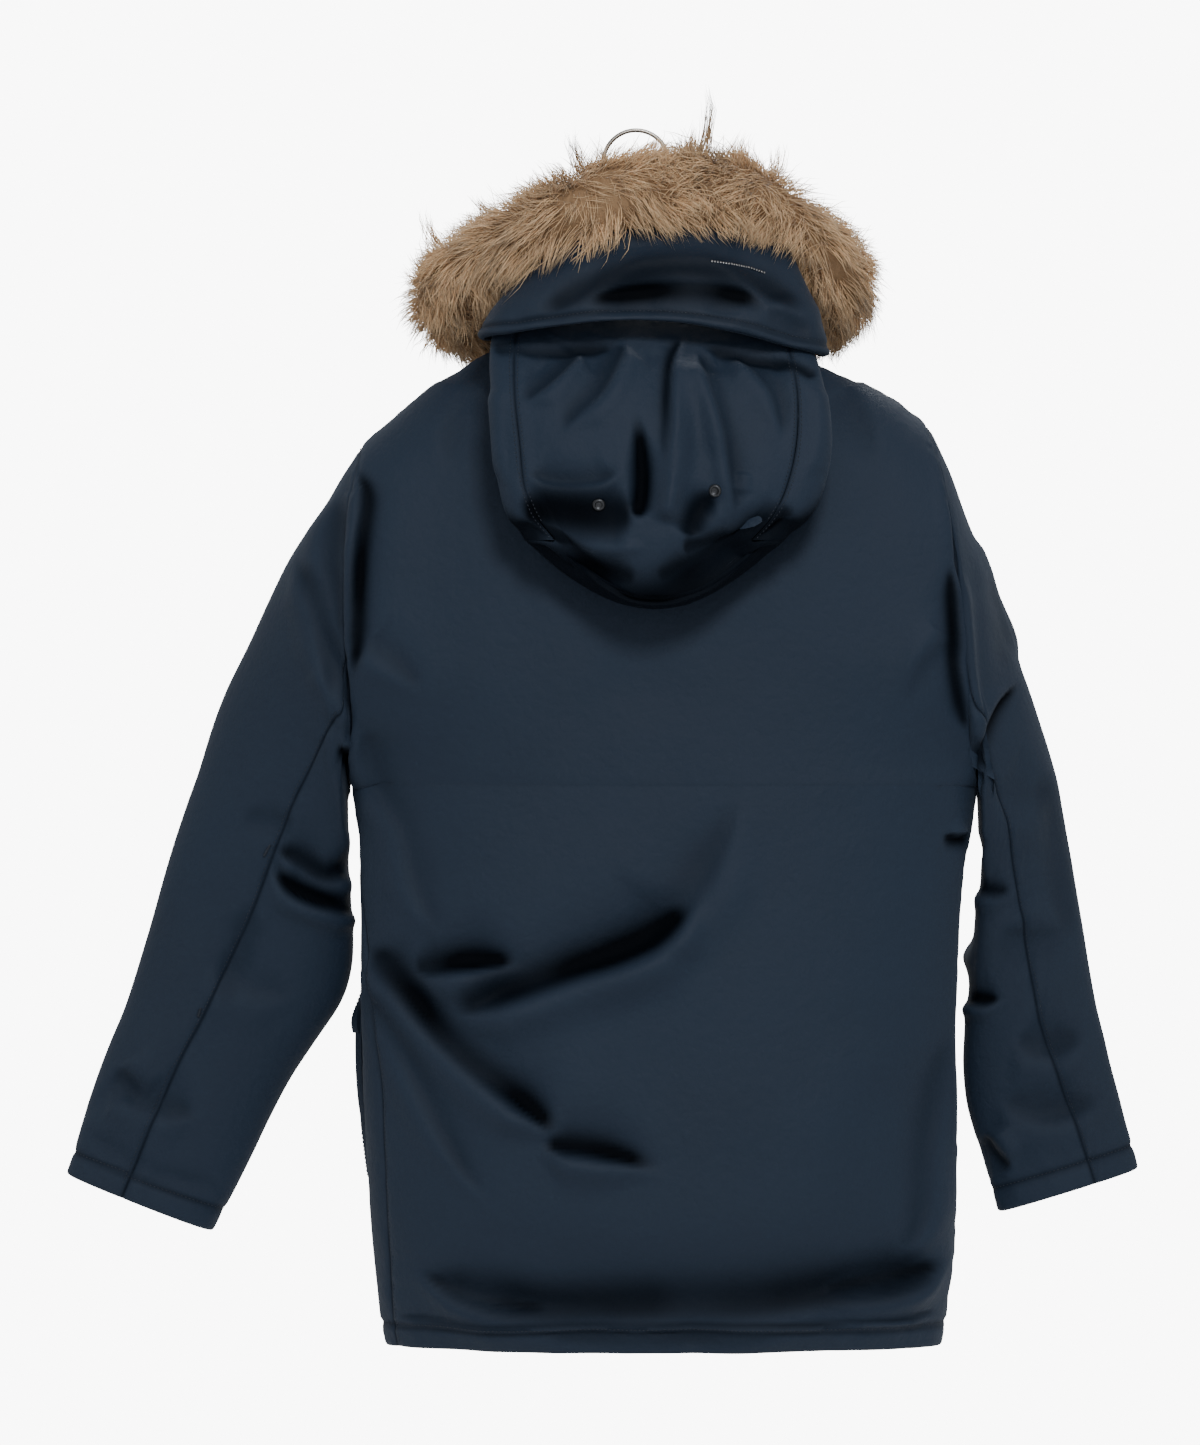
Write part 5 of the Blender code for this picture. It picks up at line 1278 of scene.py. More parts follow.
def metal_material(name, colour, roughness, wear):
    """Metal with fine brushing and darker rubbed places."""
    material, nodes, links, shader = start_material(name)
    place = nodes.new("ShaderNodeTexCoord").outputs["Object"]
    stretch = nodes.new("ShaderNodeMapping")
    stretch.inputs["Scale"].default_value = (1, 1, 0.12)
    links.new(place, stretch.inputs["Vector"])
    brush = noise_node(nodes, links, stretch.outputs[0], 2600.0, 2.0)
    spots = noise_node(nodes, links, place, 180.0, 4.0, 0.65)
    links.new(mix_colour(nodes, links, spots, colour, tuple(value * wear for value in colour)),
              shader.inputs["Base Color"])
    links.new(math_node(nodes, links, "MULTIPLY_ADD", brush, 0.25, roughness - 0.1),
              shader.inputs["Roughness"])
    bump_into(nodes, links, shader, [(brush, 0.00004)])
    shader.inputs["Metallic"].default_value = 1.0
    return material


def wood_material(name, light, dark):
    """Varnished wood with its grain along the bar."""
    material, nodes, links, shader = start_material(name)
    place = nodes.new("ShaderNodeTexCoord").outputs["Object"]
    stretch = nodes.new("ShaderNodeMapping")
    stretch.inputs["Scale"].default_value = (0.06, 1, 1)
    links.new(place, stretch.inputs["Vector"])
    grain = noise_node(nodes, links, stretch.outputs[0], 420.0, 5.0, 0.65)
    links.new(mix_colour(nodes, links, grain, light, dark), shader.inputs["Base Color"])
    links.new(math_node(nodes, links, "MULTIPLY_ADD", grain, 0.2, 0.28), shader.inputs["Roughness"])
    bump_into(nodes, links, shader, [(grain, 0.0002)])
    shader.inputs["Coat Weight"].default_value = 0.4
    return material


def tape_material(name, colour):
    """Woven zip tape and thread."""
    material, nodes, links, shader = start_material(name)
    place = nodes.new("ShaderNodeTexCoord").outputs["Object"]
    rib = nodes.new("ShaderNodeTexWave")
    rib.bands_direction = "Z"
    rib.inputs["Scale"].default_value = 480.0
    rib.inputs["Distortion"].default_value = 1.2
    links.new(place, rib.inputs["Vector"])
    spots = noise_node(nodes, links, place, 300.0, 3.0)
    links.new(mix_colour(nodes, links, spots, colour, tuple(value * 1.7 for value in colour)),
              shader.inputs["Base Color"])
    links.new(math_node(nodes, links, "MULTIPLY_ADD", spots, 0.15, 0.68),
              shader.inputs["Roughness"])
    bump_into(nodes, links, shader, [(rib.outputs["Fac"], 0.00015)])
    return material


def floor_material(name, colour):
    """Plain pale studio floor."""
    material, nodes, links, shader = start_material(name)
    place = nodes.new("ShaderNodeTexCoord").outputs["Object"]
    spots = noise_node(nodes, links, place, 2.0, 2.0)
    links.new(mix_colour(nodes, links, spots, colour, tuple(value * 0.985 for value in colour)),
              shader.inputs["Base Color"])
    shader.inputs["Roughness"].default_value = 0.9
    shader.inputs["Specular IOR Level"].default_value = 0.1
    return material


# ---------------------------------------------------------------- building the cloth
SEAM_SHADE = 0.55          # how dark the painted shade along a seam is, and over what distance
SEAM_LINE = 0.0016
EDGE_INSET = 0.019         # where the stitch line lies from an open edge
# how dark the painted shade in an open edge's stitch line is, and over what distance
EDGE_SHADE = 0.50
EDGE_LINE = 0.0026


def cloth_map(mesh, grid):
    """A map in metres along the cloth, for the weave. The inner face repeats it."""
    down, _, across, _ = border_distance(grid)
    flat = np.stack((across.ravel(), down.ravel()), axis=-1)
    where = np.zeros((len(mesh.vertices), 2))
    where[:len(flat)] = flat
    rest = np.empty(len(mesh.vertices) * 3, dtype=np.float32)
    mesh.vertices.foreach_get("co", rest)
    where[len(flat):] = rest.reshape(-1, 3)[len(flat):][:, (0, 2)]
    corners = np.empty(len(mesh.loops), dtype=np.int32)
    mesh.loops.foreach_get("vertex_index", corners)
    layer = mesh.uv_layers.new(name="cloth")
    layer.uv.foreach_set("vector", where[corners].astype(np.float32).ravel())


def panel_relief(panel):
    """Pinched seams, rolled edges, puckers and stitch lines along the four borders of a panel."""
    grid = panel["grid"]
    distances = border_distance(grid)
    along = (distances[2], distances[2], distances[0], distances[0])
    total = np.zeros(grid.shape[:2])
    for index, (kind, distance, run) in enumerate(zip(panel["borders"], distances, along)):
        if kind == "seam":
            total += pinch(distance, panel.get("pinch", 0.0024), 0.010)
            total += puckers(distance, run, panel.get("pucker", 0.0009), panel["seed"] + 7 * index)
        elif kind == "plain":
            total += pinch(distance, 0.0010, 0.006)
        elif kind == "edge":
            total += rolled(distance, 0.0032)
            inset = panel.get("inset", EDGE_INSET)
            total += stitch_groove(distance, inset, 0.0016, EDGE_LINE)
            total += puckers(np.abs(distance - inset), run, 0.0011, panel["seed"] + 7 * index,
                             0.011, 0.012)
    return total


def wall_depth(panel, wall):
    """Padding depth behind the cloth: thin at its borders and full inside."""
    near = np.min(np.stack(border_distance(panel["grid"])), axis=0)
    return 0.0028 + (wall - 0.0028) * ease(near / 0.022)


def paint_crease_shade(mesh, crease_shade):
    """Stores the painted shade of each point of the outer face: how dark its colour is made in a
    crease, seam or stitch line.
    """
    values = np.zeros(len(mesh.vertices), dtype=np.float32)
    values[:crease_shade.size] = np.clip(crease_shade, 0, 1).ravel()
    mesh.attributes.new("crease_shade", "FLOAT", "POINT").data.foreach_set("value", values)


def sew(name, panel, relief, wall, material, nodes, crease_shade=None):
    """Makes the padded wall of one panel, with its cloth map and the painted shade of its creases,
    seams and stitch lines.
    """
    panel["face"] = panel["grid"] + panel["normal"] * relief[..., None]
    mesh = padded_wall(name, panel["grid"], panel["normal"], relief, wall_depth(panel, wall))
    cloth_map(mesh, panel["grid"])
    # Painted shade along the seams and the stitch lines by open edges joins that of the creases.
    lines = np.zeros(relief.shape) if crease_shade is None else crease_shade
    for kind, distance in zip(panel["borders"], border_distance(panel["grid"])):
        if kind == "seam":
            lines = np.maximum(lines, SEAM_SHADE * np.exp(-(distance / SEAM_LINE) ** 2))
        elif kind == "edge":
            beside = (distance - panel.get("inset", EDGE_INSET)) / EDGE_LINE
            lines = np.maximum(lines, EDGE_SHADE * np.exp(-beside ** 2))
    paint_crease_shade(mesh, lines)
    return add_object(name, mesh, material, nodes)


def body_and_sleeves(settings):
    """Grids and welded normals of every panel that hangs from the shoulders."""
    fine = settings.grid_step
    panels = {}
    centre_x = neck_middle()
    grids = {"back": back_grid(fine), "front_left": front_grid("left", fine * 1.15),
             "front_right": front_grid("right", fine * 1.15)}
    for name, grid in grids.items():
        centre = np.stack((np.full(len(grid), centre_x), np.zeros(len(grid)),
                           grid[:, :, 2].mean(axis=1)), axis=-1)
        panels[name] = {"grid": grid, "normal": outward(grid, centre[:, None]),
                        "seed": 10 + len(panels)}
    for name in ("back", "front_left", "front_right"):
        panels[name]["borders"] = ("edge", "seam", "seam", "seam" if name == "back" else "plain")
    for side in ("left", "right"):
        upper, under = sleeve_grids(side, fine)
        ends = np.concatenate((upper, under), axis=1).mean(axis=1)
        for label, grid in (("upper", upper), ("under", under)):
            panels[label + "_" + side] = {"grid": grid, "normal": outward(grid, ends[:, None]),
                                          "borders": ("seam", "edge", "seam", "seam"),
                                          "seed": 30 + len(panels), "inset": 0.020}
    collar = collar_grid(fine)
    centre = np.array((centre_x, 0, -0.12))
    panels["collar"] = {"grid": collar, "normal": outward(collar, centre), "seed": 60,
                        "borders": ("seam", "edge", "plain", "plain"), "inset": 0.007,
                        "pucker": 0.0004}
    weld_normals(panels)
    return panels


_garment = {}


def garment_panels(settings):
    """The panels, made once and shared by the operators."""
    if not _garment:
        _garment.update(body_and_sleeves(settings))
        for panel in _garment.values():
            panel["relief"] = panel_relief(panel)
    return _garment
# ---------------------------------------------------------------- hood and brim
def hood_rings(shares):
    """Rows of the hood's centre strip: down its visible face, under the bag and up to the neck."""
    last = len(HOOD_ROWS) - 1
    turns = np.linspace(0, 1, 7)
    read = hood_reader()
    bow = np.sin(math.pi * shares) ** 0.88
    rings = []
    for row in range(last + 1):
        left = hood_side("left", row, turns)[0]
        right = hood_side("right", row, turns)[0]
        points = left + (right - left) * shares[:, None]
        points[:, 1] += (read("face_y", row) - (left[1] + right[1]) / 2) * bow
        points[:, 2] -= read("sag", row) * bow
        rings.append(points)
    arc_left = hood_side("left", last, turns)
    arc_right = hood_side("right", last, turns)
    low_sag = HOOD_BOTTOM_SAG + HOOD_EXTRA_SAG
    for step in range(1, len(turns)):
        blend = turns[step]
        points = arc_left[step] + (arc_right[step] - arc_left[step]) * shares[:, None]
        back = read("face_y", last) - arc_left[0][1]
        points[:, 1] += back * math.cos(blend * math.pi / 2) ** 2 * bow
        sag = read("sag", last) + (low_sag - read("sag", last)) * math.sin(blend * math.pi)
        points[:, 2] -= sag * (1 - 0.35 * blend ** 3) * bow
        rings.append(points)
    for row in range(last - 1, 0, -1):
        left = hood_side("left", row, turns)[-1]
        right = hood_side("right", row, turns)[-1]
        points = left + (right - left) * shares[:, None]
        points[:, 2] -= read("sag", row) * 0.65 * bow
        rings.append(points)
    neck_turns = HOOD_NECK_TURN + (180 - 2 * HOOD_NECK_TURN) * shares
    seat = neck_loop(neck_turns, HOOD_NECK_HEIGHT)
    away = unit((seat - np.array((neck_middle(), 0, 0))) * np.array((1, 1, 0)))
    rings.append(seat + away * 0.0006)
    return np.array(rings)


def hood_panels(settings):
    """The bag's centre strip and its two sides, as panels with welded normals."""
    step = settings.grid_step * 0.62
    shares = spread(0.205, step) / 0.205
    rings = hood_rings(shares)
    arc = np.concatenate(([0], np.cumsum(np.linalg.norm(np.diff(rings, axis=0),
                                                        axis=-1).mean(axis=1))))
    face_end = arc[len(HOOD_ROWS) + 2]
    places = np.concatenate((spread(face_end, step)[:-6], np.linspace(face_end, arc[-1], 44)))
    centre = smooth_rings(rings, np.interp(places, arc, np.arange(len(arc))))
    panels = {}
    normal = grid_normal(centre)
    if normal[len(places) // 4, centre.shape[1] // 2, 1] < 0:
        normal = -normal
    panels["centre"] = {"grid": centre, "normal": normal,
                        "borders": ("plain", "plain", "seam", "seam"), "seed": 80}
    last = len(HOOD_ROWS) - 1
    heights = column(HOOD_ROWS, HOOD_COLUMNS, "z")
    rows = np.interp(-spread(heights[0] - heights[-1], step * 1.3), heights[::-1] - heights[0],
                     np.arange(last + 1)[::-1])
    turns = spread(0.075, step) / 0.075
    for side in ("left", "right"):
        grid = np.array([hood_side(side, row, turns) for row in rows])
        inside = np.array((neck_middle(), 0.12, -0.24))
        panels[side] = {"grid": grid, "normal": outward(grid, inside),
                        "borders": ("plain", "none", "seam", "seam"), "seed": 84}
    for panel in panels.values():
        panel["pinch"], panel["pucker"] = 0.0006, 0.0003
    weld_normals(panels)
    return panels


def brim_panel(settings):
    """The folded-back band: from its edge under the fur down to its stitched lower edge."""
    step = settings.grid_step
    knots = column(BRIM_STATIONS, BRIM_COLUMNS, "station")
    values = {name: column(BRIM_STATIONS, BRIM_COLUMNS, name) for name in BRIM_COLUMNS}
    shares = spread(0.085, step * 0.8) / 0.085
    lines = []
    for station in np.linspace(knots[0], knots[-1], settings.brim_columns):
        read = {name: float(smooth(knots, values[name], station)) for name in BRIM_COLUMNS}
        top = fur_point(station, math.radians(read["corner"] * 30), FUR_CLEAR)
        low = np.array((read["x"], read["y"], read["z"]))
        out = unit(low * np.array((1, 1, 0)))
        centre = np.array([float(smooth(np.arange(len(FUR_STATIONS)),
                                        column(FUR_STATIONS, FUR_COLUMNS, n), station))
                           for n in "xyz"])
        tuck = top + (centre - top) * 0.42
        swell = out * read["puff"] * np.sin(math.pi * shares)[:, None]
        line = top + (low - top) * shares[:, None] + swell
        hidden = tuck + (top - tuck) * np.array((0.0, 0.3, 0.6, 0.85))[:, None]
        lines.append(np.concatenate((hidden, line)))
    grid = np.array(lines).transpose(1, 0, 2)
    normal = grid_normal(grid)
    middle = grid.shape[1] // 2
    if normal[len(shares) // 2, middle, 1] < 0:
        normal = -normal
    return {"grid": grid, "normal": normal, "borders": ("plain", "edge", "plain", "plain"),
            "seed": 90, "inset": 0.008}
# ---------------------------------------------------------------- fur
# station and turn of the dark tufts
FUR_SMOKE = ((6.65, 1.5), (5.05, 1.5), (8.0, 1.9), (4.2, 0.2))

FUR_TUFTS = (
    ((-0.049, 0.098, -0.036), (-0.0575, 0.101, 0.031), 0.0050, 46, 1.9),
    ((-0.046, 0.096, -0.040), (-0.0470, 0.100, 0.004), 0.0070, 40, 0.5),
    ((0.036, 0.096, -0.050), (0.0540, 0.100, -0.006), 0.0100, 60, 1.7),
    ((0.020, 0.098, -0.050), (0.0380, 0.104, -0.012), 0.0080, 40, 1.2),
    ((0.160, 0.004, -0.094), (0.1740, 0.006, -0.064), 0.0090, 30, 0.3),
    ((0.112, 0.060, -0.074), (0.1330, 0.064, -0.054), 0.0090, 30, 1.0),
    ((-0.108, 0.070, -0.046), (-0.1160, 0.074, -0.013), 0.0100, 44, 0.0),
    ((-0.082, 0.088, -0.036), (-0.0880, 0.092, -0.006), 0.0100, 44, 0.2),
    ((-0.010, 0.100, -0.052), (0.0100, 0.106, -0.020), 0.0160, 60, 0.1),
)   # root, tip, spread, strands and greyness of the tall tufts


def fur_frames(stations):
    """Middle, outward and upward reach of the fur at each station, as arrays."""
    knots = np.arange(len(FUR_STATIONS))
    read = {name: smooth(knots, column(FUR_STATIONS, FUR_COLUMNS, name), stations)
            for name in FUR_COLUMNS}
    ahead = np.stack([smooth(knots, column(FUR_STATIONS, FUR_COLUMNS, n), stations + 0.05)
                      for n in "xy"], axis=-1)
    behind = np.stack([smooth(knots, column(FUR_STATIONS, FUR_COLUMNS, n), stations - 0.05)
                       for n in "xy"], axis=-1)
    along = unit(ahead - behind)
    sideways = np.stack((along[..., 1], -along[..., 0], np.zeros_like(stations)), axis=-1)
    forward = np.stack((along[..., 0], along[..., 1], np.zeros_like(stations)), axis=-1)
    centre = np.stack((read["x"], read["y"], read["z"]), axis=-1)
    end = np.minimum(1.0, np.minimum(0.4 + stations * 0.9,
                                     0.4 + (len(FUR_STATIONS) - 1 - stations) * 0.9))
    return centre, sideways, forward, read["half_depth"] * end, read["half_height"] * end


def section_point(frames, turn, share):
    """A point at a share of the way from the fur's middle to its surface."""
    centre, sideways, _, deep, tall = frames
    reach = sideways * (deep * np.cos(turn) * share)[..., None]
    return centre + reach + np.stack((np.zeros_like(turn), np.zeros_like(turn),
                                      tall * np.sin(turn) * share), axis=-1)


STRAND_PLACES = (0.0, 0.34, 0.70, 1.0)


def bent_strands(root, tip, lean, width, rng):
    """Three-sided tapered strands from root to tip, bowed towards lean and slightly curled."""
    count = len(root)
    size = np.linalg.norm(tip - root, axis=1, keepdims=True)
    bow = unit(lean) * size * rng.uniform(0.07, 0.20, count)[:, None]
    curl = unit(rng.normal(0, 1, (count, 3))) * size * rng.uniform(0.0, 0.05, count)[:, None]
    spine = np.stack([root + (tip - root) * p + bow * math.sin(math.pi * p) + curl
                      * math.sin(2 * math.pi * p)
                      for p in STRAND_PLACES], axis=1)
    heading = unit(tip - root)
    side_a = unit(np.cross(heading, rng.normal(0, 1, (count, 3))))
    side_b = np.cross(heading, side_a)
    thick = width * rng.uniform(0.7, 1.3, count)[:, None, None]
    rings = []
    for index, share in enumerate((0.75, 1.0, 0.62)):
        for corner in range(3):
            angle = corner * 2 * math.pi / 3
            rings.append(spine[:, index] + (side_a * math.cos(angle) + side_b * math.sin(angle))
                         * thick[:, 0] * share)
    return np.stack([*rings, spine[:, 3]], axis=1)


def hair_values(luck, smoke):
    """How far along its strand each point is, the strand's own tone and how grey it is."""
    hair = np.empty((len(luck), 10, 3))
    hair[:, :, 0] = np.array(np.repeat(STRAND_PLACES[:3], 3).tolist() + [1.0])
    hair[:, :, 1] = luck[:, None]
    hair[:, :, 2] = smoke[:, None]
    return hair


def hair_strands(count, seed, width, first_station, last_station):
    """Points of tapered three-sided strands: gathered in locks, bowed and a little unruly."""
    rng = np.random.default_rng(seed)
    tufts = max(8, count // 30)
    tuft_station = rng.uniform(first_station, last_station, tufts)
    tuft_turn = rng.uniform(-2.3, 2.7, tufts)
    member = rng.integers(0, tufts, count)
    stations = np.clip(tuft_station[member] + rng.normal(0, 0.10, count), first_station,
                       last_station)
    turns = tuft_turn[member] + rng.normal(0, 0.20, count)
    root = section_point(fur_frames(stations), turns, rng.uniform(0.40, 0.70, count))
    comb = 2.3 * tuft_station + 1.1 * np.sin(1.7 * tuft_turn) + 0.6
    tuft_shift = 0.26 * np.sin(comb) + rng.normal(0, 0.13, tufts)
    tuft_twist = 0.20 * np.sin(3.1 * tuft_station + 1.3 * tuft_turn) + rng.normal(0, 0.15, tufts)
    tuft_reach = rng.uniform(0.88, 1.10, tufts)
    hang = np.clip(np.cos(turns), 0, 1) * 0.42
    last = len(FUR_STATIONS) - 1
    tip_station = np.clip(stations + tuft_shift[member] + rng.normal(0, 0.05, count), 0, last)
    tip_turn = turns + tuft_twist[member] - hang + rng.normal(0, 0.06, count)
    reach = tuft_reach[member] * rng.uniform(0.84, 1.08, count)
    reach = reach + rng.uniform(0, 0.30, count) * (rng.random(count) < 0.09)
    low_back = np.exp(-((turns + 0.7) / 0.55) ** 2) * (np.abs(stations - 6.0) < 2.6)
    reach = reach + 0.22 * low_back
    thin = np.exp(-((tip_station - 5.85) / 0.75) ** 2) * (np.sin(turns) > 0.3)
    reach = reach - 0.10 * thin
    own_tip = section_point(fur_frames(tip_station), tip_turn, reach)
    lock_station = np.clip(tuft_station[member] + tuft_shift[member], 0, last)
    lock_turn = tuft_turn[member] + tuft_twist[member] - hang
    lock_tip = section_point(fur_frames(lock_station), lock_turn, reach * 1.02)
    gather = rng.uniform(0.10, 0.72, count)[:, None]
    tip = own_tip * (1 - gather) + lock_tip * gather
    tuft_bow = rng.normal(0, 1, (tufts, 3)) + np.array((0, 0, 0.8))
    points = bent_strands(root, tip, tuft_bow[member] + rng.normal(0, 0.35, (count, 3)), width, rng)
    luck = rng.random(tufts)[member] * 0.6 + rng.random(count) * 0.4
    smoke_places = np.array(FUR_SMOKE)
    near = np.exp(-np.min(((tip_station[:, None] - smoke_places[None, :, 0]) / 0.34) ** 2 +
                          ((turns[:, None] - smoke_places[None, :, 1]) / 0.55) ** 2, axis=1))
    smoke = np.clip(near * (rng.random(count) < 0.6) + (rng.random(tufts) < 0.05)[member] * 0.8, 0,
                    1)
    return points, hair_values(luck, smoke)


def wisp_strands(tufts, seed, width):
    """Tall separate tufts: each is a root, a tip, its spread, its count and how grey it is."""
    rng = np.random.default_rng(seed)
    points, hair = [], []
    for base, end, spread_wide, count, grey in tufts:
        base, end = np.array(base), np.array(end)
        root = base + rng.normal(0, 1, (count, 3)) * np.array((0.5, 0.5, 0.3)) * spread_wide
        tall = rng.uniform(0.45, 1.0, count)[:, None] ** 0.7
        tip = base + (end - base) * tall
        tip = tip + (root - base) * 0.45 + rng.normal(0, spread_wide * 0.35, (count, 3))
        lean = np.array((rng.choice((-1, 1)) * 1.2, rng.normal(), 0.3))
        points.append(bent_strands(root, tip, lean + rng.normal(0, 0.4, (count, 3)), width, rng))
        hair.append(hair_values(rng.random(count), grey * rng.uniform(0.5, 1.0, count)))
    return np.concatenate(points), np.concatenate(hair)


def hair_mesh(name, points, hair):
    """Closed strands: a root cap, two sleeves of quads and a pointed tip."""
    count = len(points)
    first = np.arange(count)[:, None] * 10
    quads = []
    for ring in range(2):
        for corner in range(3):
            ahead = (corner + 1) % 3
            quads.append(first + np.array((ring * 3 + corner, ring * 3 + ahead,
                                           ring * 3 + 3 + ahead, ring * 3 + 3 + corner)))
    triangles = [first + np.array((2, 1, 0))]
    for corner in range(3):
        triangles.append(first + np.array((6 + corner, 6 + (corner + 1) % 3, 9)))
    mesh = mesh_of(name, points.reshape(-1, 3), [np.concatenate(quads), np.concatenate(triangles)])
    layer = mesh.attributes.new("hair", "FLOAT_VECTOR", "POINT")
    layer.data.foreach_set("vector", hair.reshape(-1, 3).astype(np.float32).ravel())
    return mesh


def undercoat_mesh(name, share, seed):
    """Lumpy closed core of short wool under the strands."""
    stations = np.linspace(0, len(FUR_STATIONS) - 1, 150)
    turns = np.linspace(0, 2 * math.pi, 28, endpoint=False)
    frames = [value[:, None] if value.ndim == 1 else value[:, None, :]
              for value in fur_frames(stations)]
    grid_turns = np.broadcast_to(turns[None], (150, 28))
    frames = (np.broadcast_to(frames[0], (150, 28, 3)), np.broadcast_to(frames[1], (150, 28, 3)),
              None,
              np.broadcast_to(frames[3], (150, 28)), np.broadcast_to(frames[4], (150, 28)))
    rough = section_point(frames, grid_turns, np.full((150, 28), share))
    lumps = 1 + 0.10 * lattice_noise(rough, 0.016,
                                     seed) + 0.06 * lattice_noise(rough, 0.007, seed + 1)
    points = section_point(frames, grid_turns, share * lumps).reshape(-1, 3)
    number = np.arange(150 * 28).reshape(150, 28)
    ahead = np.roll(number, -1, axis=1)
    quads = np.stack((number[:-1], ahead[:-1], ahead[1:], number[1:]), axis=-1).reshape(-1, 4)
    caps = np.array([number[0][::-1], number[-1]])
    mesh = mesh_of(name, points, [quads, caps])
    work = bmesh.new()
    work.from_mesh(mesh)
    bmesh.ops.recalc_face_normals(work, faces=work.faces)
    work.to_mesh(mesh)
    work.free()
    return mesh
# ---------------------------------------------------------------- pockets, zip, hanger, stitches
POCKET_PLACES = {              # x beside the side seam, x towards the zip, low z, high z
    "left": (0.2265, 0.1190, -0.8634, -0.7140),
    "right": (-0.2545, -0.1555, -0.8634, -0.7140),
}
POCKET_START_Y = {"left": -0.0100, "right": -0.0440}
FLAP_HEIGHTS = (-0.7395, -0.6912)
POCKET_SWELL = 0.0125
POCKET_SEAT = 0.0012
ZIP_START_Z = -0.9715
BAND_ZIP = ((-0.0602, -0.115), (-0.0746, -0.1158), (-0.089, -0.1182), (-0.1018, -0.1214),
            (-0.1146, -0.127))
# Across the zip tape, in millimetres from the front's edge: how far in, and how deep under it.
ZIP_TAPE_REACH = (-1.9, -1.0, 0.0, 3.0, 7.0, 11.0)
ZIP_TAPE_DEPTH = (2.6, 2.7, 3.4, 4.6, 5.6, 6.4)
ZIP_TAPE_WALL = 0.0009
ZIP_STAGGER = 0.0009       # how far each tooth stands off the zip's middle line
ZIP_TOOTH = (0.0046, 0.0026, 0.0015)
ZIP_PITCH = 0.0028
SLIDER_PLACE = (-0.00625, -0.0826, -0.198025)
PULL_PLACE = (-0.00625, -0.08326, -0.198025)
EYELET_PLACES = {"left": (0.031, -0.310), "right": (-0.062, -0.299)}
HOOK_RADIUS = 0.0268
HOOK_WIRE = 0.0018
HOOK_NECK_Z = -0.075
HOOK_LOW_Z = -0.1652
# x, z and lean of the elbow's bar tacks
BAR_TACKS = ((0.3010, -0.5900, 62.0), (0.3575, -0.7205, 74.0))


def pocket_cover(side, points):
    """1 under the pocket and its flap, easing to 0 around them."""
    near, far, low, _ = POCKET_PLACES[side]
    high = FLAP_HEIGHTS[1]
    left, right = max(near, far), min(near, far)
    across = ease((points[..., 0] - right + 0.016)
                  / 0.014) * ease((left + 0.040 - points[..., 0]) / 0.014)
    if side == "right":
        across = ease((points[..., 0] - right + 0.040)
                      / 0.014) * ease((left + 0.016 - points[..., 0]) / 0.014)
    up = ease((points[..., 2] - low + 0.016) / 0.014) * ease((high + 0.016 - points[..., 2])
                                                             / 0.014)
    return across * up * (points[..., 1] < 0.012)


def patch(panel, side, low, high):
    """Rows and columns of a front that lie under a pocket or flap."""
    grid = panel["grid"]
    middle = int(np.argmin(np.abs(grid[:, 0, 2] + 0.79)))
    _, far, _, _ = POCKET_PLACES[side]
    row = grid[middle]
    ahead = row[:, 1] < POCKET_START_Y[side]
    start = int(np.argmax(ahead))
    stop = start + int(np.argmin(np.abs(row[start:, 0] - far)))
    rows = np.where((grid[:, start, 2] > low) & (grid[:, start, 2] < high))[0]
    return rows[0], rows[-1] + 1, start, stop + 1


def pocket_panels(panel, side):
    """The pouch, open at its top, and the flap over its mouth."""
    _, _, low, high = POCKET_PLACES[side]
    out = {}
    r0, r1, c0, c1 = patch(panel, side, low, high)
    grid, normal = panel["grid"][r0:r1, c0:c1], panel["normal"][r0:r1, c0:c1]
    up = np.sin(np.clip(np.linspace(0, 1.55, r1 - r0), 0, 1) * math.pi / 2)
    across = np.sin(np.linspace(0, math.pi, c1 - c0)) ** 0.5
    swell = np.outer(up, across)
    flap_low, flap_high = FLAP_HEIGHTS
    f0, f1, _, _ = patch(panel, side, flap_low, flap_high)
    pouch = grid + normal * (POCKET_SEAT + 0.0028 + swell * POCKET_SWELL)[..., None]
    out["pocket"] = {"grid": pouch, "normal": outward(pouch,
                                                      grid.mean(axis=(0, 1)) * np.array((1, 0, 1))),
                     "seed": 100,
                     "borders": ("edge", "edge", "edge", "edge"), "inset": 0.0035}
    grid, normal = panel["grid"][f0:f1, c0:c1], panel["normal"][f0:f1, c0:c1]
    rows = np.arange(f0, f1)
    over = ease((r1 + 3 - rows) / 8.0) * swell[-1].max()
    lift = POCKET_SEAT + 0.0028 + over[:, None] * (across[None] * POCKET_SWELL + 0.0040)
    flap = grid + normal * lift[..., None]
    out["flap"] = {"grid": flap, "normal": outward(flap,
                                                   grid.mean(axis=(0, 1)) * np.array((1, 0, 1))),
                   "seed": 110,
                   "borders": ("edge", "plain", "edge", "edge"), "inset": 0.0045}
    return out


def block_by_hand(name, place, size, rounding, segments=2):
    """A block with rounded edges, shaped in edit mode."""
    bpy.ops.object.select_all(action="DESELECT")
    bpy.ops.mesh.primitive_cube_add(size=1, location=(0, 0, 0))
    item = bpy.context.object
    item.name = name
    bpy.ops.object.mode_set(mode="EDIT")
    bpy.ops.mesh.select_all(action="SELECT")
    bpy.ops.transform.resize(value=size)
    bpy.ops.mesh.bevel(offset=rounding, segments=segments, profile=0.5, affect="EDGES")
    bpy.ops.transform.translate(value=place)
    bpy.ops.mesh.normals_make_consistent(inside=False)
    bpy.ops.object.mode_set(mode="OBJECT")
    item.data.shade_smooth()
    item.data.set_sharp_from_angle(angle=math.radians(50))
    return item


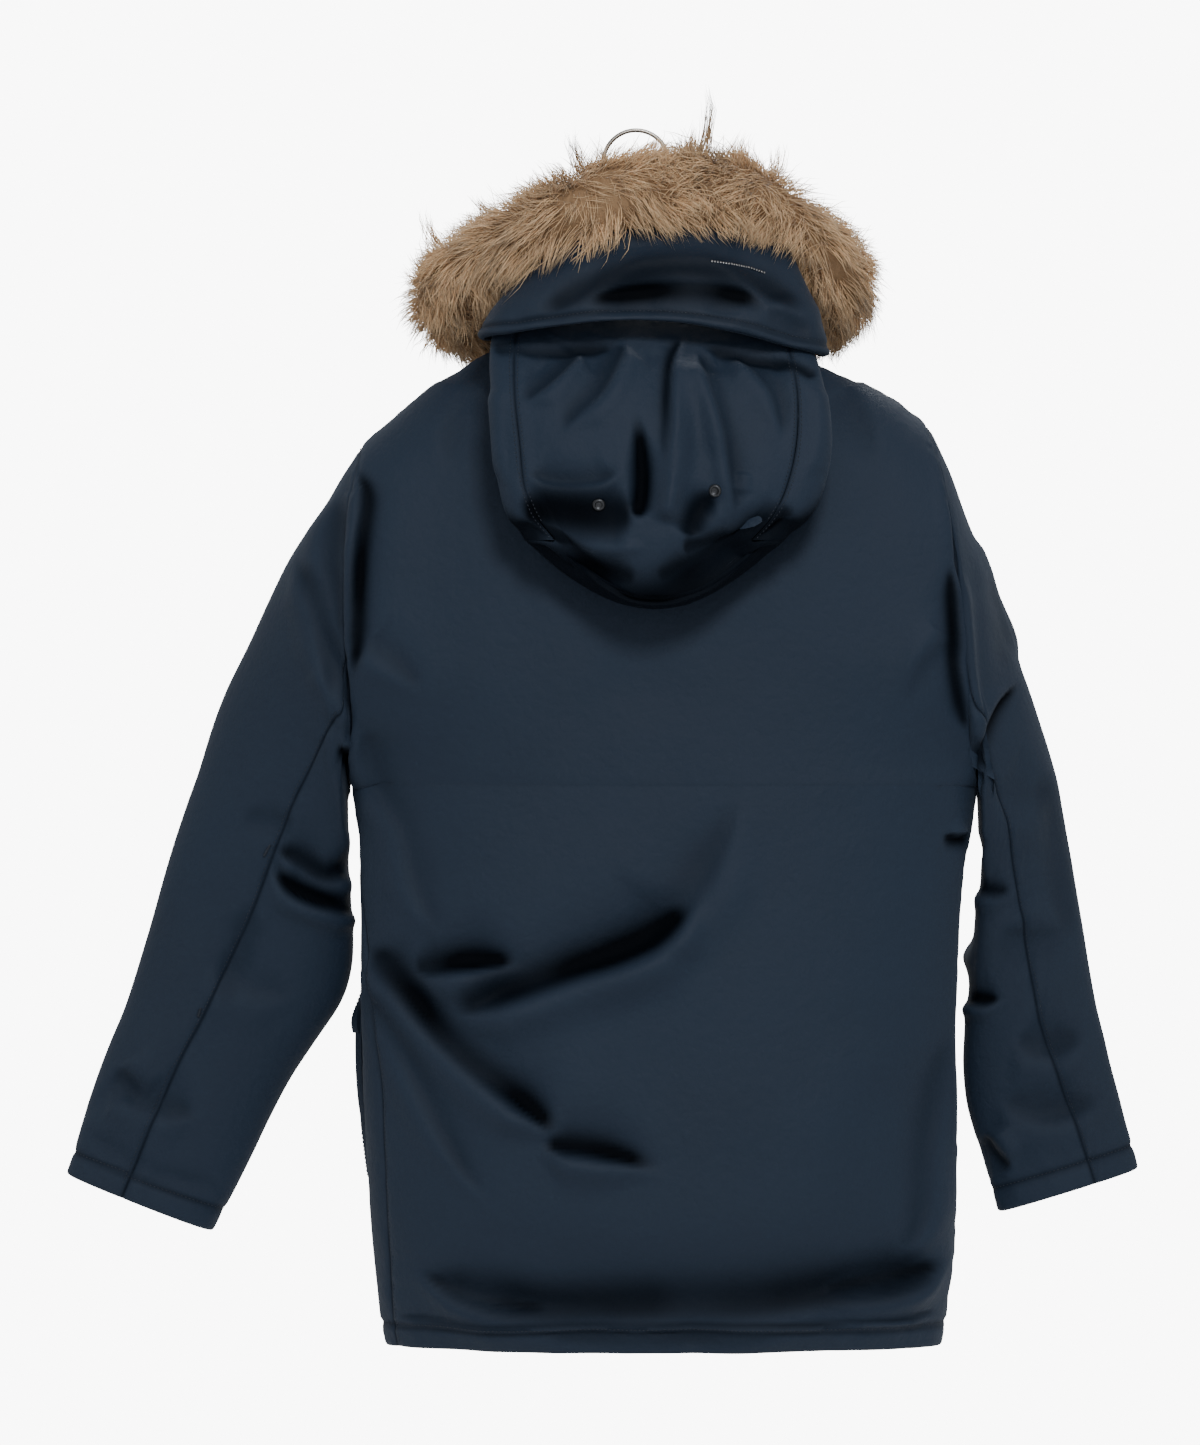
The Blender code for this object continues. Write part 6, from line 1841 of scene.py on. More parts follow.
def finish_piece(item, material, nodes, body=GARMENT):
    item.data.materials.clear()
    item.data.materials.append(material)
    if nodes:
        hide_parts(*nodes)
    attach(item, body)
    item.select_set(False)
    return item


def cut_by_hand(item, cutter, operation="DIFFERENCE"):
    """Joins or cuts with another piece, which is used up."""
    work = item.modifiers.new("cut", "BOOLEAN")
    work.operation = operation
    work.object = cutter
    bpy.ops.object.select_all(action="DESELECT")
    bpy.context.view_layer.objects.active = item
    item.select_set(True)
    bpy.ops.object.modifier_apply(modifier=work.name)
    bpy.data.objects.remove(cutter, do_unlink=True)
    item.data.shade_smooth()
    item.data.set_sharp_from_angle(angle=math.radians(40))


def wire_by_hand(name, points, radius, sides=3):
    """Round wire through points, drawn as a curve and made a mesh."""
    curve = bpy.data.curves.new(name, "CURVE")
    curve.dimensions = "3D"
    curve.bevel_depth = radius
    curve.bevel_resolution = sides
    curve.use_fill_caps = True
    spline = curve.splines.new("POLY")
    spline.points.add(len(points) - 1)
    for knot, point in zip(spline.points, points):
        knot.co = (*(float(v) for v in point), 1)
    item = bpy.data.objects.new(name, curve)
    bpy.context.scene.collection.objects.link(item)
    bpy.ops.object.select_all(action="DESELECT")
    bpy.context.view_layer.objects.active = item
    item.select_set(True)
    bpy.ops.object.convert(target="MESH")
    item = bpy.context.object
    bpy.ops.object.mode_set(mode="EDIT")
    bpy.ops.mesh.select_all(action="SELECT")
    bpy.ops.mesh.remove_doubles(threshold=0.00001)
    bpy.ops.mesh.normals_make_consistent(inside=False)
    bpy.ops.object.mode_set(mode="OBJECT")
    item.data.shade_smooth()
    return item


def repeated(name, source, places, sides, ups, outs):
    """One mesh of copies of source, each set at its place on its own three axes."""
    count = len(source.data.vertices)
    rest = np.empty(count * 3)
    source.data.vertices.foreach_get("co", rest)
    rest = rest.reshape(-1, 3)
    axes = np.stack((sides, outs, ups), axis=1)
    points = places[:, None] + np.einsum("vk,nkj->nvj", rest, axes)
    blocks = {}
    for polygon in source.data.polygons:
        blocks.setdefault(len(polygon.vertices), []).append(list(polygon.vertices))
    first = np.arange(len(places))[:, None, None] * count
    faces = [(np.array(block)[None] + first).reshape(-1, size) for size, block in blocks.items()]
    return mesh_of(name, points.reshape(-1, 3), faces)


def evenly(points, pitch):
    """Places along a line, a pitch apart, with the direction and segment there."""
    runs = np.linalg.norm(np.diff(points, axis=0), axis=1)
    arc = np.concatenate(([0], np.cumsum(runs)))
    at = np.arange(pitch / 2, arc[-1], pitch)
    index = np.clip(np.searchsorted(arc, at) - 1, 0, len(runs) - 1)
    share = (at - arc[index]) / np.maximum(runs[index], 1e-9)
    here = points[index] + (points[index + 1] - points[index]) * share[:, None]
    return here, unit(points[index + 1] - points[index]), index


STITCH_FACES = np.array(((0, 1, 2), (0, 2, 3), (0, 3, 4), (0, 4, 1), (5, 2, 1), (5, 3, 2),
                         (5, 4, 3), (5, 1, 4)))


def stitch_points(line, normals, pitch=0.0034, length=0.0024, width=0.00042, seed=1):
    """Corners of one small spindle for each stitch of a row."""
    here, heading, index = evenly(line, pitch)
    out = normals[index]
    side = unit(np.cross(heading, out))
    jitter = np.random.default_rng(seed).normal(0, 0.00012, len(here))
    here = here + side * jitter[:, None] + out * width * 0.35
    return np.stack((here - heading * length / 2, here + side * width, here + out * width,
                     here - side * width,
                     here - out * width, here + heading * length / 2), axis=1)


def stitches_piece(name, runs, nodes=()):
    """All the stitches of a row or of many rows, as one piece."""
    points = np.concatenate([stitch_points(*run, seed=index) for index, run in enumerate(runs)])
    first = np.arange(len(points))[:, None, None] * 6
    mesh = mesh_of(name, points.reshape(-1, 3), [(STITCH_FACES[None] + first).reshape(-1, 3)])
    return add_object(name, mesh, finish("thread"), nodes)


def border_run(panel, border, inset, start=0.0, stop=1.0):
    """The line that runs at inset from a border, on the finished face, with its normals."""
    face, normal = panel["face"], panel["normal"]
    distance = border_distance(panel["grid"])[border]
    lines, norms = [], []
    if border < 2:
        for c in range(face.shape[1]):
            r = int(np.argmin(np.abs(distance[:, c] - inset)))
            lines.append(face[r, c])
            norms.append(normal[r, c])
    else:
        for r in range(face.shape[0]):
            c = int(np.argmin(np.abs(distance[r] - inset)))
            lines.append(face[r, c])
            norms.append(normal[r, c])
    first, last = int(len(lines) * start), int(len(lines) * stop)
    line = np.array(lines)[first:last]
    smooth_part = np.copy(line)
    smooth_part[1:-1] = (line[:-2] + 2 * line[1:-1] + line[2:]) / 4
    return smooth_part, np.array(norms)[first:last]
# ---------------------------------------------------------------- settings
class ParkaSettings(bpy.types.PropertyGroup):
    """Sizes and colours that a maker would change."""
    grid_step: FloatProperty(name="Cloth grid",
                             description="Distance between the points of the shell cloth",
                             default=0.0034, min=0.0025, max=0.02, unit="LENGTH")
    brim_columns: IntProperty(name="Band columns",
                              description="Columns of points along the hood's front band",
                              default=250, min=60, max=400)
    fold_depth: FloatProperty(name="Fold depth",
                              description="How deep the main folds are, as a share",
                              default=1.4, min=0.0, max=3.0, subtype="FACTOR")
    padding: FloatProperty(name="Padding",
                           description="Thickness of the down wall away from its seams",
                           default=0.0065, min=0.003, max=0.012, unit="LENGTH")
    shell_dark: FloatVectorProperty(name="Shell, dark",
                                    description="Darker tone of the shell cloth",
                                    default=(0.0100, 0.0190, 0.0365), subtype="COLOR", min=0, max=1)
    shell_light: FloatVectorProperty(name="Shell, light",
                                     description="Lighter tone of the shell cloth",
                                     default=(0.0155, 0.0285, 0.0525), subtype="COLOR", min=0,
                                     max=1)
    fur_root: FloatVectorProperty(name="Fur root",
                                  description="Colour of the guard hair at its root",
                                  default=(0.40, 0.250, 0.135), subtype="COLOR", min=0, max=1)
    fur_middle: FloatVectorProperty(name="Fur length", description="Colour along the guard hair",
                                    default=(0.80, 0.530, 0.290), subtype="COLOR", min=0, max=1)
    fur_tip: FloatVectorProperty(name="Fur tip", description="Colour of the guard hair at its tip",
                                 default=(0.96, 0.710, 0.440), subtype="COLOR", min=0, max=1)
    fur_strands: IntProperty(name="Fur strands", description="Strands of guard hair round the hood",
                             default=32000, min=2000, max=45000)


def colour(values):
    return tuple(values[:3])


_finishes = {}


def finish(name):
    return _finishes[name]


# ---------------------------------------------------------------- operators
class PARKA_OT_finishes(bpy.types.Operator):
    """Makes the shared effects and every finish"""
    bl_idname = "parka.finishes"
    bl_label = "Finishes"

    def execute(self, context):
        settings = context.scene.parka
        woven_cloth_group()
        crinkle_group()
        dark, light = colour(settings.shell_dark), colour(settings.shell_light)
        _finishes["shell"] = shell_material("navy_shell", dark, light, 0.60, 0.08)
        _finishes["band"] = shell_material("hood_band_shell", tuple(v * 0.85 for v in dark),
                                           tuple(v * 0.9 for v in light),
                                           0.52, 0.08, 0.0006)
        _finishes["fur"] = fur_material("fur_guard_hair", colour(settings.fur_root),
                                        colour(settings.fur_middle),
                                        colour(settings.fur_tip), (0.035, 0.033, 0.034))
        # The undercoat's dark tones: partly the wool's own colour, partly painted shade between the
        # strands.
        _finishes["undercoat"] = undercoat_material("fur_undercoat", (0.19, 0.115, 0.062),
                                                    (0.42, 0.27, 0.15))
        _finishes["tape"] = tape_material("zip_tape", (0.010, 0.013, 0.020))
        _finishes["thread"] = tape_material("thread", (0.016, 0.022, 0.034))
        _finishes["metal"] = metal_material("zip_metal", (0.42, 0.42, 0.43), 0.34, 0.72)
        _finishes["dark_metal"] = metal_material("eyelet_metal", (0.10, 0.105, 0.115), 0.45, 0.6)
        _finishes["hook"] = metal_material("hook_wire", (0.50, 0.47, 0.43), 0.30, 0.75)
        _finishes["wood"] = wood_material("hanger_wood", (0.36, 0.20, 0.10), (0.20, 0.10, 0.045))
        return {"FINISHED"}


class PARKA_OT_body(bpy.types.Operator):
    """Builds the back and the two fronts"""
    bl_idname = "parka.body"
    bl_label = "Body"

    def execute(self, context):
        settings = context.scene.parka
        panels = garment_panels(settings)
        back = panels["back"]
        folds, crease_shade = fold_relief(back["grid"], BACK_FOLDS) * facing(back["normal"], 1)
        relief = back["relief"] + settings.fold_depth * folds
        relief += calm(back["grid"], ((0.16, 0.0022), (0.07, 0.0010), (0.028, 0.00030)), 3)
        piece = sew("back_shell", back, relief, settings.padding, finish("shell"), ["back_panel"],
                    crease_shade=crease_shade)
        for side in ("left", "right"):
            panel = panels["front_" + side]
            folds, crease_shade = fold_relief(panel["grid"], FRONT_FOLDS) * facing(panel["normal"], -1)
            relief = panel["relief"] + settings.fold_depth * folds
            relief += calm(panel["grid"], ((0.16, 0.0022), (0.07, 0.0010), (0.028, 0.00030)), 5)
            relief *= 1 - pocket_cover(side, panel["grid"])
            # The fronts' painted crease shade is scaled down.
            piece = sew("front_shell_" + side, panel, relief, settings.padding, finish("shell"),
                        ["front_" + side],
                        crease_shade=crease_shade * FRONT_CREASE_SHADE)
        return {"FINISHED"}


class PARKA_OT_sleeves(bpy.types.Operator):
    """Builds the two-piece sleeves"""
    bl_idname = "parka.sleeves"
    bl_label = "Sleeves"

    def execute(self, context):
        settings = context.scene.parka
        panels = garment_panels(settings)
        for side, behind, ahead in (("left", LEFT_SLEEVE_FOLDS, LEFT_SLEEVE_FRONT_FOLDS),
                                    ("right", RIGHT_SLEEVE_FOLDS, RIGHT_SLEEVE_FRONT_FOLDS)):
            for label in ("upper", "under"):
                panel = panels[label + "_" + side]
                # The painted shade of the sleeves' front folds is scaled down; their relief is
                # kept.
                lighter = np.array((1, SLEEVE_FRONT_CREASE_SHADE))[:, None, None]
                back = fold_relief(panel["grid"], behind) * facing(panel["normal"], 1)
                front = fold_relief(panel["grid"], ahead) * facing(panel["normal"], -1) * lighter
                folds, crease_shade = back + front
                relief = panel["relief"] + settings.fold_depth * folds
                relief += calm(panel["grid"], ((0.11, 0.0018), (0.05, 0.0009), (0.024, 0.00028)), 8)
                piece = sew("sleeve_" + label + "_shell_" + side, panel, relief,
                            settings.padding * 0.9,
                            finish("shell"), ["sleeve_" + label + "_" + side], crease_shade=crease_shade)
        return {"FINISHED"}


class PARKA_OT_collar(bpy.types.Operator):
    """Builds the low stand collar"""
    bl_idname = "parka.collar"
    bl_label = "Collar"

    def execute(self, context):
        settings = context.scene.parka
        panel = garment_panels(settings)["collar"]
        relief = panel["relief"] + calm(panel["grid"], ((0.05, 0.0010), (0.02, 0.0003)), 12)
        piece = sew("collar_shell", panel, relief, 0.0045, finish("shell"), ["collar"])
        return {"FINISHED"}


class PARKA_OT_hood(bpy.types.Operator):
    """Builds the hanging hood bag: centre strip and two sides"""
    bl_idname = "parka.hood"
    bl_label = "Hood"

    def execute(self, context):
        settings = context.scene.parka
        panels = hood_panels(settings)
        _garment.update({"hood_" + key: panel for key, panel in panels.items()})
        for label, piece_name, node in (("centre", "hood_centre_shell", "hood_centre"),
                                        ("left", "hood_side_shell_left", "hood_side_left"),
                                        ("right", "hood_side_shell_right", "hood_side_right")):
            panel = panels[label]
            folds, crease_shade = fold_relief(panel["grid"], HOOD_FOLDS) * facing(panel["normal"], 1)
            # Painted shade: cloth that faces downwards, the underside of the bag, is darkened as if
            # in its own shadow.
            crease_shade = np.maximum(crease_shade, HOOD_SHADE * ease((-panel["normal"][..., 2] - 0.15) / 0.45))
            _, below, before, after = border_distance(panel["grid"])
            beside = np.minimum(before, after)
            if label != "centre":
                beside = np.minimum(beside, below)
            relief = (panel_relief(panel)
                      + settings.fold_depth * folds * ease(beside / HOOD_FOLD_CLEAR))
            relief += calm(panel["grid"], ((0.06, 0.0012), (0.03, 0.0006), (0.014, 0.00022)), 20)
            piece = sew(piece_name, panel, relief, 0.0042, finish("shell"), [node], crease_shade=crease_shade)
        return {"FINISHED"}


class PARKA_OT_band(bpy.types.Operator):
    """Builds the hood's front band, folded back over the bag"""
    bl_idname = "parka.band"
    bl_label = "Hood band"

    def execute(self, context):
        settings = context.scene.parka
        panel = brim_panel(settings)
        _garment["band"] = panel
        folds, crease_shade = fold_relief(panel["grid"], BRIM_FOLDS) * facing(panel["normal"], 1)
        relief = panel_relief(panel) + settings.fold_depth * folds
        relief += calm(panel["grid"], ((0.05, 0.0009), (0.02, 0.0003)), 25)
        piece = sew("hood_band_shell", panel, relief, 0.0040, finish("band"), ["hood_brim"],
                    crease_shade=crease_shade)
        face, out = panel["face"], panel["normal"]
        line, normals = [], []
        for x, z in BAND_ZIP:
            away = np.hypot(face[..., 0] - x, face[..., 2] - z) + (out[..., 1] < 0.1)
            r, c = np.unravel_index(int(np.argmin(away)), away.shape)
            line.append(face[r, c])
            normals.append(out[r, c])
        here, heading, index = evenly(np.array(line), 0.0024)
        normal = np.array(normals)[np.clip(index, 0, len(normals) - 1)]
        tooth = block_by_hand("band_tooth", (0, 0, 0), (0.0018, 0.0013, 0.0016), 0.0003, 1)
        mesh = repeated("band_zip_teeth", tooth, here + normal * 0.0004,
                        unit(np.cross(normal, heading)), heading, normal)
        bpy.data.objects.remove(tooth, do_unlink=True)
        add_object("band_zip_teeth", mesh, finish("metal"))
        return {"FINISHED"}


class PARKA_OT_fur(bpy.types.Operator):
    """Builds the fur: a woolly undercoat and separate guard hairs"""
    bl_idname = "parka.fur"
    bl_label = "Fur"

    def execute(self, context):
        settings = context.scene.parka
        add_object("fur_undercoat", undercoat_mesh("fur_undercoat", 0.62, 40), finish("undercoat"),
                   ["fur_trim"])
        last = len(FUR_STATIONS) - 1
        edges = np.linspace(0.05, last - 0.05, 5)
        for index in range(4):
            count = settings.fur_strands // 4
            points, hair = hair_strands(count, 50 + index, 0.00032, edges[index], edges[index + 1])
            if index == 2:
                more, more_hair = wisp_strands(FUR_TUFTS, 60, 0.00028)
                points, hair = np.concatenate((points, more)), np.concatenate((hair, more_hair))
            add_object(f"fur_hair_{index + 1}", hair_mesh(f"fur_hair_{index + 1}", points, hair),
                       finish("fur"), ["fur_trim"])
        return {"FINISHED"}


class PARKA_OT_pockets(bpy.types.Operator):
    """Builds the cargo pockets and their flaps"""
    bl_idname = "parka.pockets"
    bl_label = "Pockets"

    def execute(self, context):
        panels = garment_panels(context.scene.parka)
        for side in ("left", "right"):
            made = pocket_panels(panels["front_" + side], side)
            for label, node in (("pocket", "pocket_" + side), ("flap", "pocket_flap_" + side)):
                panel = made[label]
                _garment[label + "_" + side] = panel
                relief = panel_relief(panel) * 0.6 + calm(panel["grid"],
                                                          ((0.05, 0.0012), (0.02, 0.0004)), 31)
                panel["face"] = panel["grid"] + panel["normal"] * relief[..., None]
                mesh = padded_wall(label + "_shell_" + side, panel["grid"], panel["normal"], relief,
                                   np.full(relief.shape, 0.0022))
                cloth_map(mesh, panel["grid"])
                piece = add_object(label + "_shell_" + side, mesh, finish("shell"), [node])
        return {"FINISHED"}


class PARKA_OT_zip(bpy.types.Operator):
    """Builds the front zip: tapes, teeth, slider and pull tab"""
    bl_idname = "parka.zip"
    bl_label = "Zip"

    def execute(self, context):
        panels = garment_panels(context.scene.parka)
        edges = {}
        for side, last in (("left", 0), ("right", -1)):
            front, collar = panels["front_" + side], panels["collar"]
            rows = np.where(front["grid"][:, -1, 2] > ZIP_START_Z)[0]
            beside = -5
            edges[side] = [np.concatenate((front[key][rows, -1], collar[key][6:-6, last]))
                           for key in ("grid", "normal")]
            edges[side].append(np.concatenate((front["grid"][rows, beside],
                                               collar["grid"][6:-6, 4 if last == 0 else -5])))
            line, normal, inside = edges[side]
            toward = unit(inside - line)
            reach = np.array(ZIP_TAPE_REACH)[None, :, None] / 1000
            deep = np.array(ZIP_TAPE_DEPTH)[None, :, None] / 1000
            outer = line[:, None] + toward[:, None] * reach - normal[:, None] * deep
            normals = np.repeat(normal[:, None], outer.shape[1], axis=1)
            flat = np.zeros(outer.shape[:2])
            mesh = padded_wall("zip_tape_cloth_" + side, outer, normals, flat, flat + ZIP_TAPE_WALL,
                               stride=2)
            tape = add_object("zip_tape_cloth_" + side, mesh, finish("tape"), ["zip_tape_" + side])
        middle = (edges["left"][0] + edges["right"][0]) / 2
        normal = unit(edges["left"][1] + edges["right"][1])
        tooth = block_by_hand("tooth", (0, 0, 0), ZIP_TOOTH, 0.0004, 1)
        here, heading, index = evenly(middle, ZIP_PITCH / 2)
        out = normal[index]
        sideways = unit(np.cross(out, heading))
        shift = np.where(np.arange(len(here)) % 2 == 0, ZIP_STAGGER, -ZIP_STAGGER)
        places = here + sideways * shift[:, None] - out * 0.0016
        mesh = repeated("zip_teeth", tooth, places, sideways, heading, out)
        bpy.data.objects.remove(tooth, do_unlink=True)
        mesh.set_sharp_from_angle(angle=math.radians(40))
        add_object("zip_teeth", mesh, finish("metal"), ["zip_chain"])
        x, y, z = SLIDER_PLACE
        slider = block_by_hand("zip_slider_body", (x, y, z), (0.0070, 0.0036, 0.0140), 0.0011, 3)
        arch = [(x, y - 0.0010 - 0.0036 * math.cos(math.radians(turn)),
                 z + 0.0045 * math.sin(math.radians(turn)))
                for turn in np.linspace(-90, 90, 17)]
        cut_by_hand(slider, wire_by_hand("zip_slider_bridge", arch, 0.0009), "UNION")
        finish_piece(slider, finish("metal"), ["zip_slider"])
        x, y, z = PULL_PLACE
        pull = block_by_hand("zip_pull_tab", (x, y, z - 0.0162), (0.0070, 0.0016, 0.0340), 0.0006,
                             3)
        cut_by_hand(pull, block_by_hand("eye", (x, y, z - 0.0030), (0.0038, 0.0060, 0.0045), 0.0009,
                                        3))
        cut_by_hand(pull, block_by_hand("slot", (x, y, z - 0.0215), (0.0030, 0.0060, 0.0140),
                                        0.0012, 3))
        finish_piece(pull, finish("metal"), ["zip_pull"], PULL)
        return {"FINISHED"}


class PARKA_OT_eyelets(bpy.types.Operator):
    """Builds the two vent eyelets in the hood"""
    bl_idname = "parka.eyelets"
    bl_label = "Eyelets"

    def execute(self, context):
        panel = _garment["hood_centre"]
        face, normal = panel["face"], panel["normal"]
        for side, (x, z) in EYELET_PLACES.items():
            away = np.hypot(face[..., 0] - x, face[..., 2] - z) + (normal[..., 1] < 0.2)
            r, c = np.unravel_index(int(np.argmin(away)), away.shape)
            near = np.s_[max(r - 2, 0):r + 3, max(c - 2, 0):c + 3]
            out = unit(np.cross(face[r, c + 3] - face[r, c - 3], face[r + 3, c] - face[r - 3, c]))
            out = out * np.sign(out @ normal[r, c])
            middle = face[near].mean(axis=(0, 1)) + out * 0.0009
            first = unit(np.cross(out, np.array((0, 0, 1.0))))
            second = np.cross(out, first)
            profile = ((0.0, -0.0002), (0.0018, -0.0002), (0.0026, 0.0001), (0.0030, 0.0009),
                       (0.0037, 0.0013), (0.0045, 0.0010),
                       (0.0051, 0.0002), (0.0052, -0.0006), (0.0, -0.0008))
            turns = np.linspace(0, 2 * math.pi, 28, endpoint=False)
            rings = [middle + (first * math.cos(t) + second * math.sin(t)) * radius + out * height
                     for radius, height in profile[1:-1] for t in turns]
            points = np.array([*rings, middle + out * profile[0][1], middle + out * profile[-1][1]])
            number = np.arange(len(profile[1:-1]) * 28).reshape(-1, 28)
            ahead = np.roll(number, -1, axis=1)
            quads = np.stack((number[:-1], number[1:], ahead[1:], ahead[:-1]),
                             axis=-1).reshape(-1, 4)
            top = np.stack((number[0], ahead[0], np.full(28, len(points) - 2)), axis=-1)
            low = np.stack((ahead[-1], number[-1], np.full(28, len(points) - 1)), axis=-1)
            mesh = mesh_of("vent_eyelet_" + side, points, [quads, np.concatenate((top, low))])
            work = bmesh.new()
            work.from_mesh(mesh)
            bmesh.ops.recalc_face_normals(work, faces=work.faces)
            work.to_mesh(mesh)
            work.free()
            add_object("vent_eyelet_" + side, mesh, finish("dark_metal"), ["eyelet_" + side])
        return {"FINISHED"}


class PARKA_OT_hanger(bpy.types.Operator):
    """Builds the hanger's wire hook and finishes its bar"""
    bl_idname = "parka.hanger"
    bl_label = "Hanger"

    def execute(self, context):
        middle = HOOK_WIRE - HOOK_RADIUS
        points = [(HOOK_RADIUS * math.cos(math.radians(turn)), 0,
                   middle + HOOK_RADIUS * math.sin(math.radians(turn)))
                  for turn in np.linspace(-35, 215, 64)]
        start, end = np.array(points[-1]), np.array((0, 0, HOOK_NECK_Z))
        for share in np.linspace(0, 1, 25)[1:]:
            points.append((start[0] + (end[0] - start[0]) * float(ease(share)), 0,
                           start[2] + (end[2] - start[2]) * share))
        points.append((0, 0, HOOK_LOW_Z))
        hook = wire_by_hand("hook_wire_bent", points, HOOK_WIRE, 5)
        finish_piece(hook, finish("hook"), ["hanger_hook"])
        bar = bpy.data.objects["hanger_bar"]
        for holder in bar.material_slots:
            holder.material = finish("wood")
        return {"FINISHED"}


class PARKA_OT_stitching(bpy.types.Operator):
    """Sews the visible rows of stitches and the bar tacks"""
    bl_idname = "parka.stitching"
    bl_label = "Stitching"

    def execute(self, context):
        runs = [border_run(_garment["back"], 0, 0.020), border_run(_garment["back"], 2, 0.0036,
                                                                   0.02, 0.42),
                border_run(_garment["back"], 3, 0.0036, 0.02, 0.42)]
        for side in ("left", "right"):
            runs.append(border_run(_garment["front_" + side], 0, 0.020))
            runs.append(border_run(_garment["front_" + side], 3, 0.0060))
            for label in ("upper", "under"):
                runs.append(border_run(_garment[label + "_" + side], 1, 0.020))
            for border in (2, 3):
                runs.append(border_run(_garment["upper_" + side], border, 0.0030, 0.03, 0.97))
            runs.append(border_run(_garment["flap_" + side], 0, 0.0045))
            for border in (2, 3):
                runs.append(border_run(_garment["flap_" + side], border, 0.0045))
                runs.append(border_run(_garment["pocket_" + side], border, 0.0035))
            runs.append(border_run(_garment["pocket_" + side], 0, 0.0035))
            runs.append(border_run(_garment["hood_" + side], 2, 0.0030))
        for border in (2, 3):
            runs.append(border_run(_garment["hood_centre"], border, 0.0030, 0.02, 0.6))
        runs.append(border_run(_garment["collar"], 1, 0.0070))
        runs.append(border_run(_garment["band"], 1, 0.0080))
        stitches_piece("stitching", runs)
        panel = _garment["upper_left"]
        tacks = []
        for x, z, lean in BAR_TACKS:
            away = np.hypot(panel["face"][..., 0] - x, panel["face"][..., 2]
                            - z) + (panel["normal"][..., 1] < 0.1)
            r, c = np.unravel_index(int(np.argmin(away)), away.shape)
            here, out = panel["face"][r, c], panel["normal"][r, c]
            along = np.array((math.cos(math.radians(lean)), 0, -math.sin(math.radians(lean))))
            side = unit(np.cross(along, out))
            for step in np.linspace(-0.005, 0.005, 16):
                start = here + along * step + out * 0.0004
                tacks.append((np.array((start - side * 0.0014, start + side * 0.0014)),
                              np.array((out, out))))
        points = np.concatenate([stitch_points(line, normal, 0.0028, 0.0030, 0.0005, 7) for line,
                                 normal in tacks])
        first = np.arange(len(points))[:, None, None] * 6
        mesh = mesh_of("bar_tacks", points.reshape(-1, 3),
                       [(STITCH_FACES[None] + first).reshape(-1, 3)])
        add_object("bar_tacks", mesh, finish("thread"))
        return {"FINISHED"}


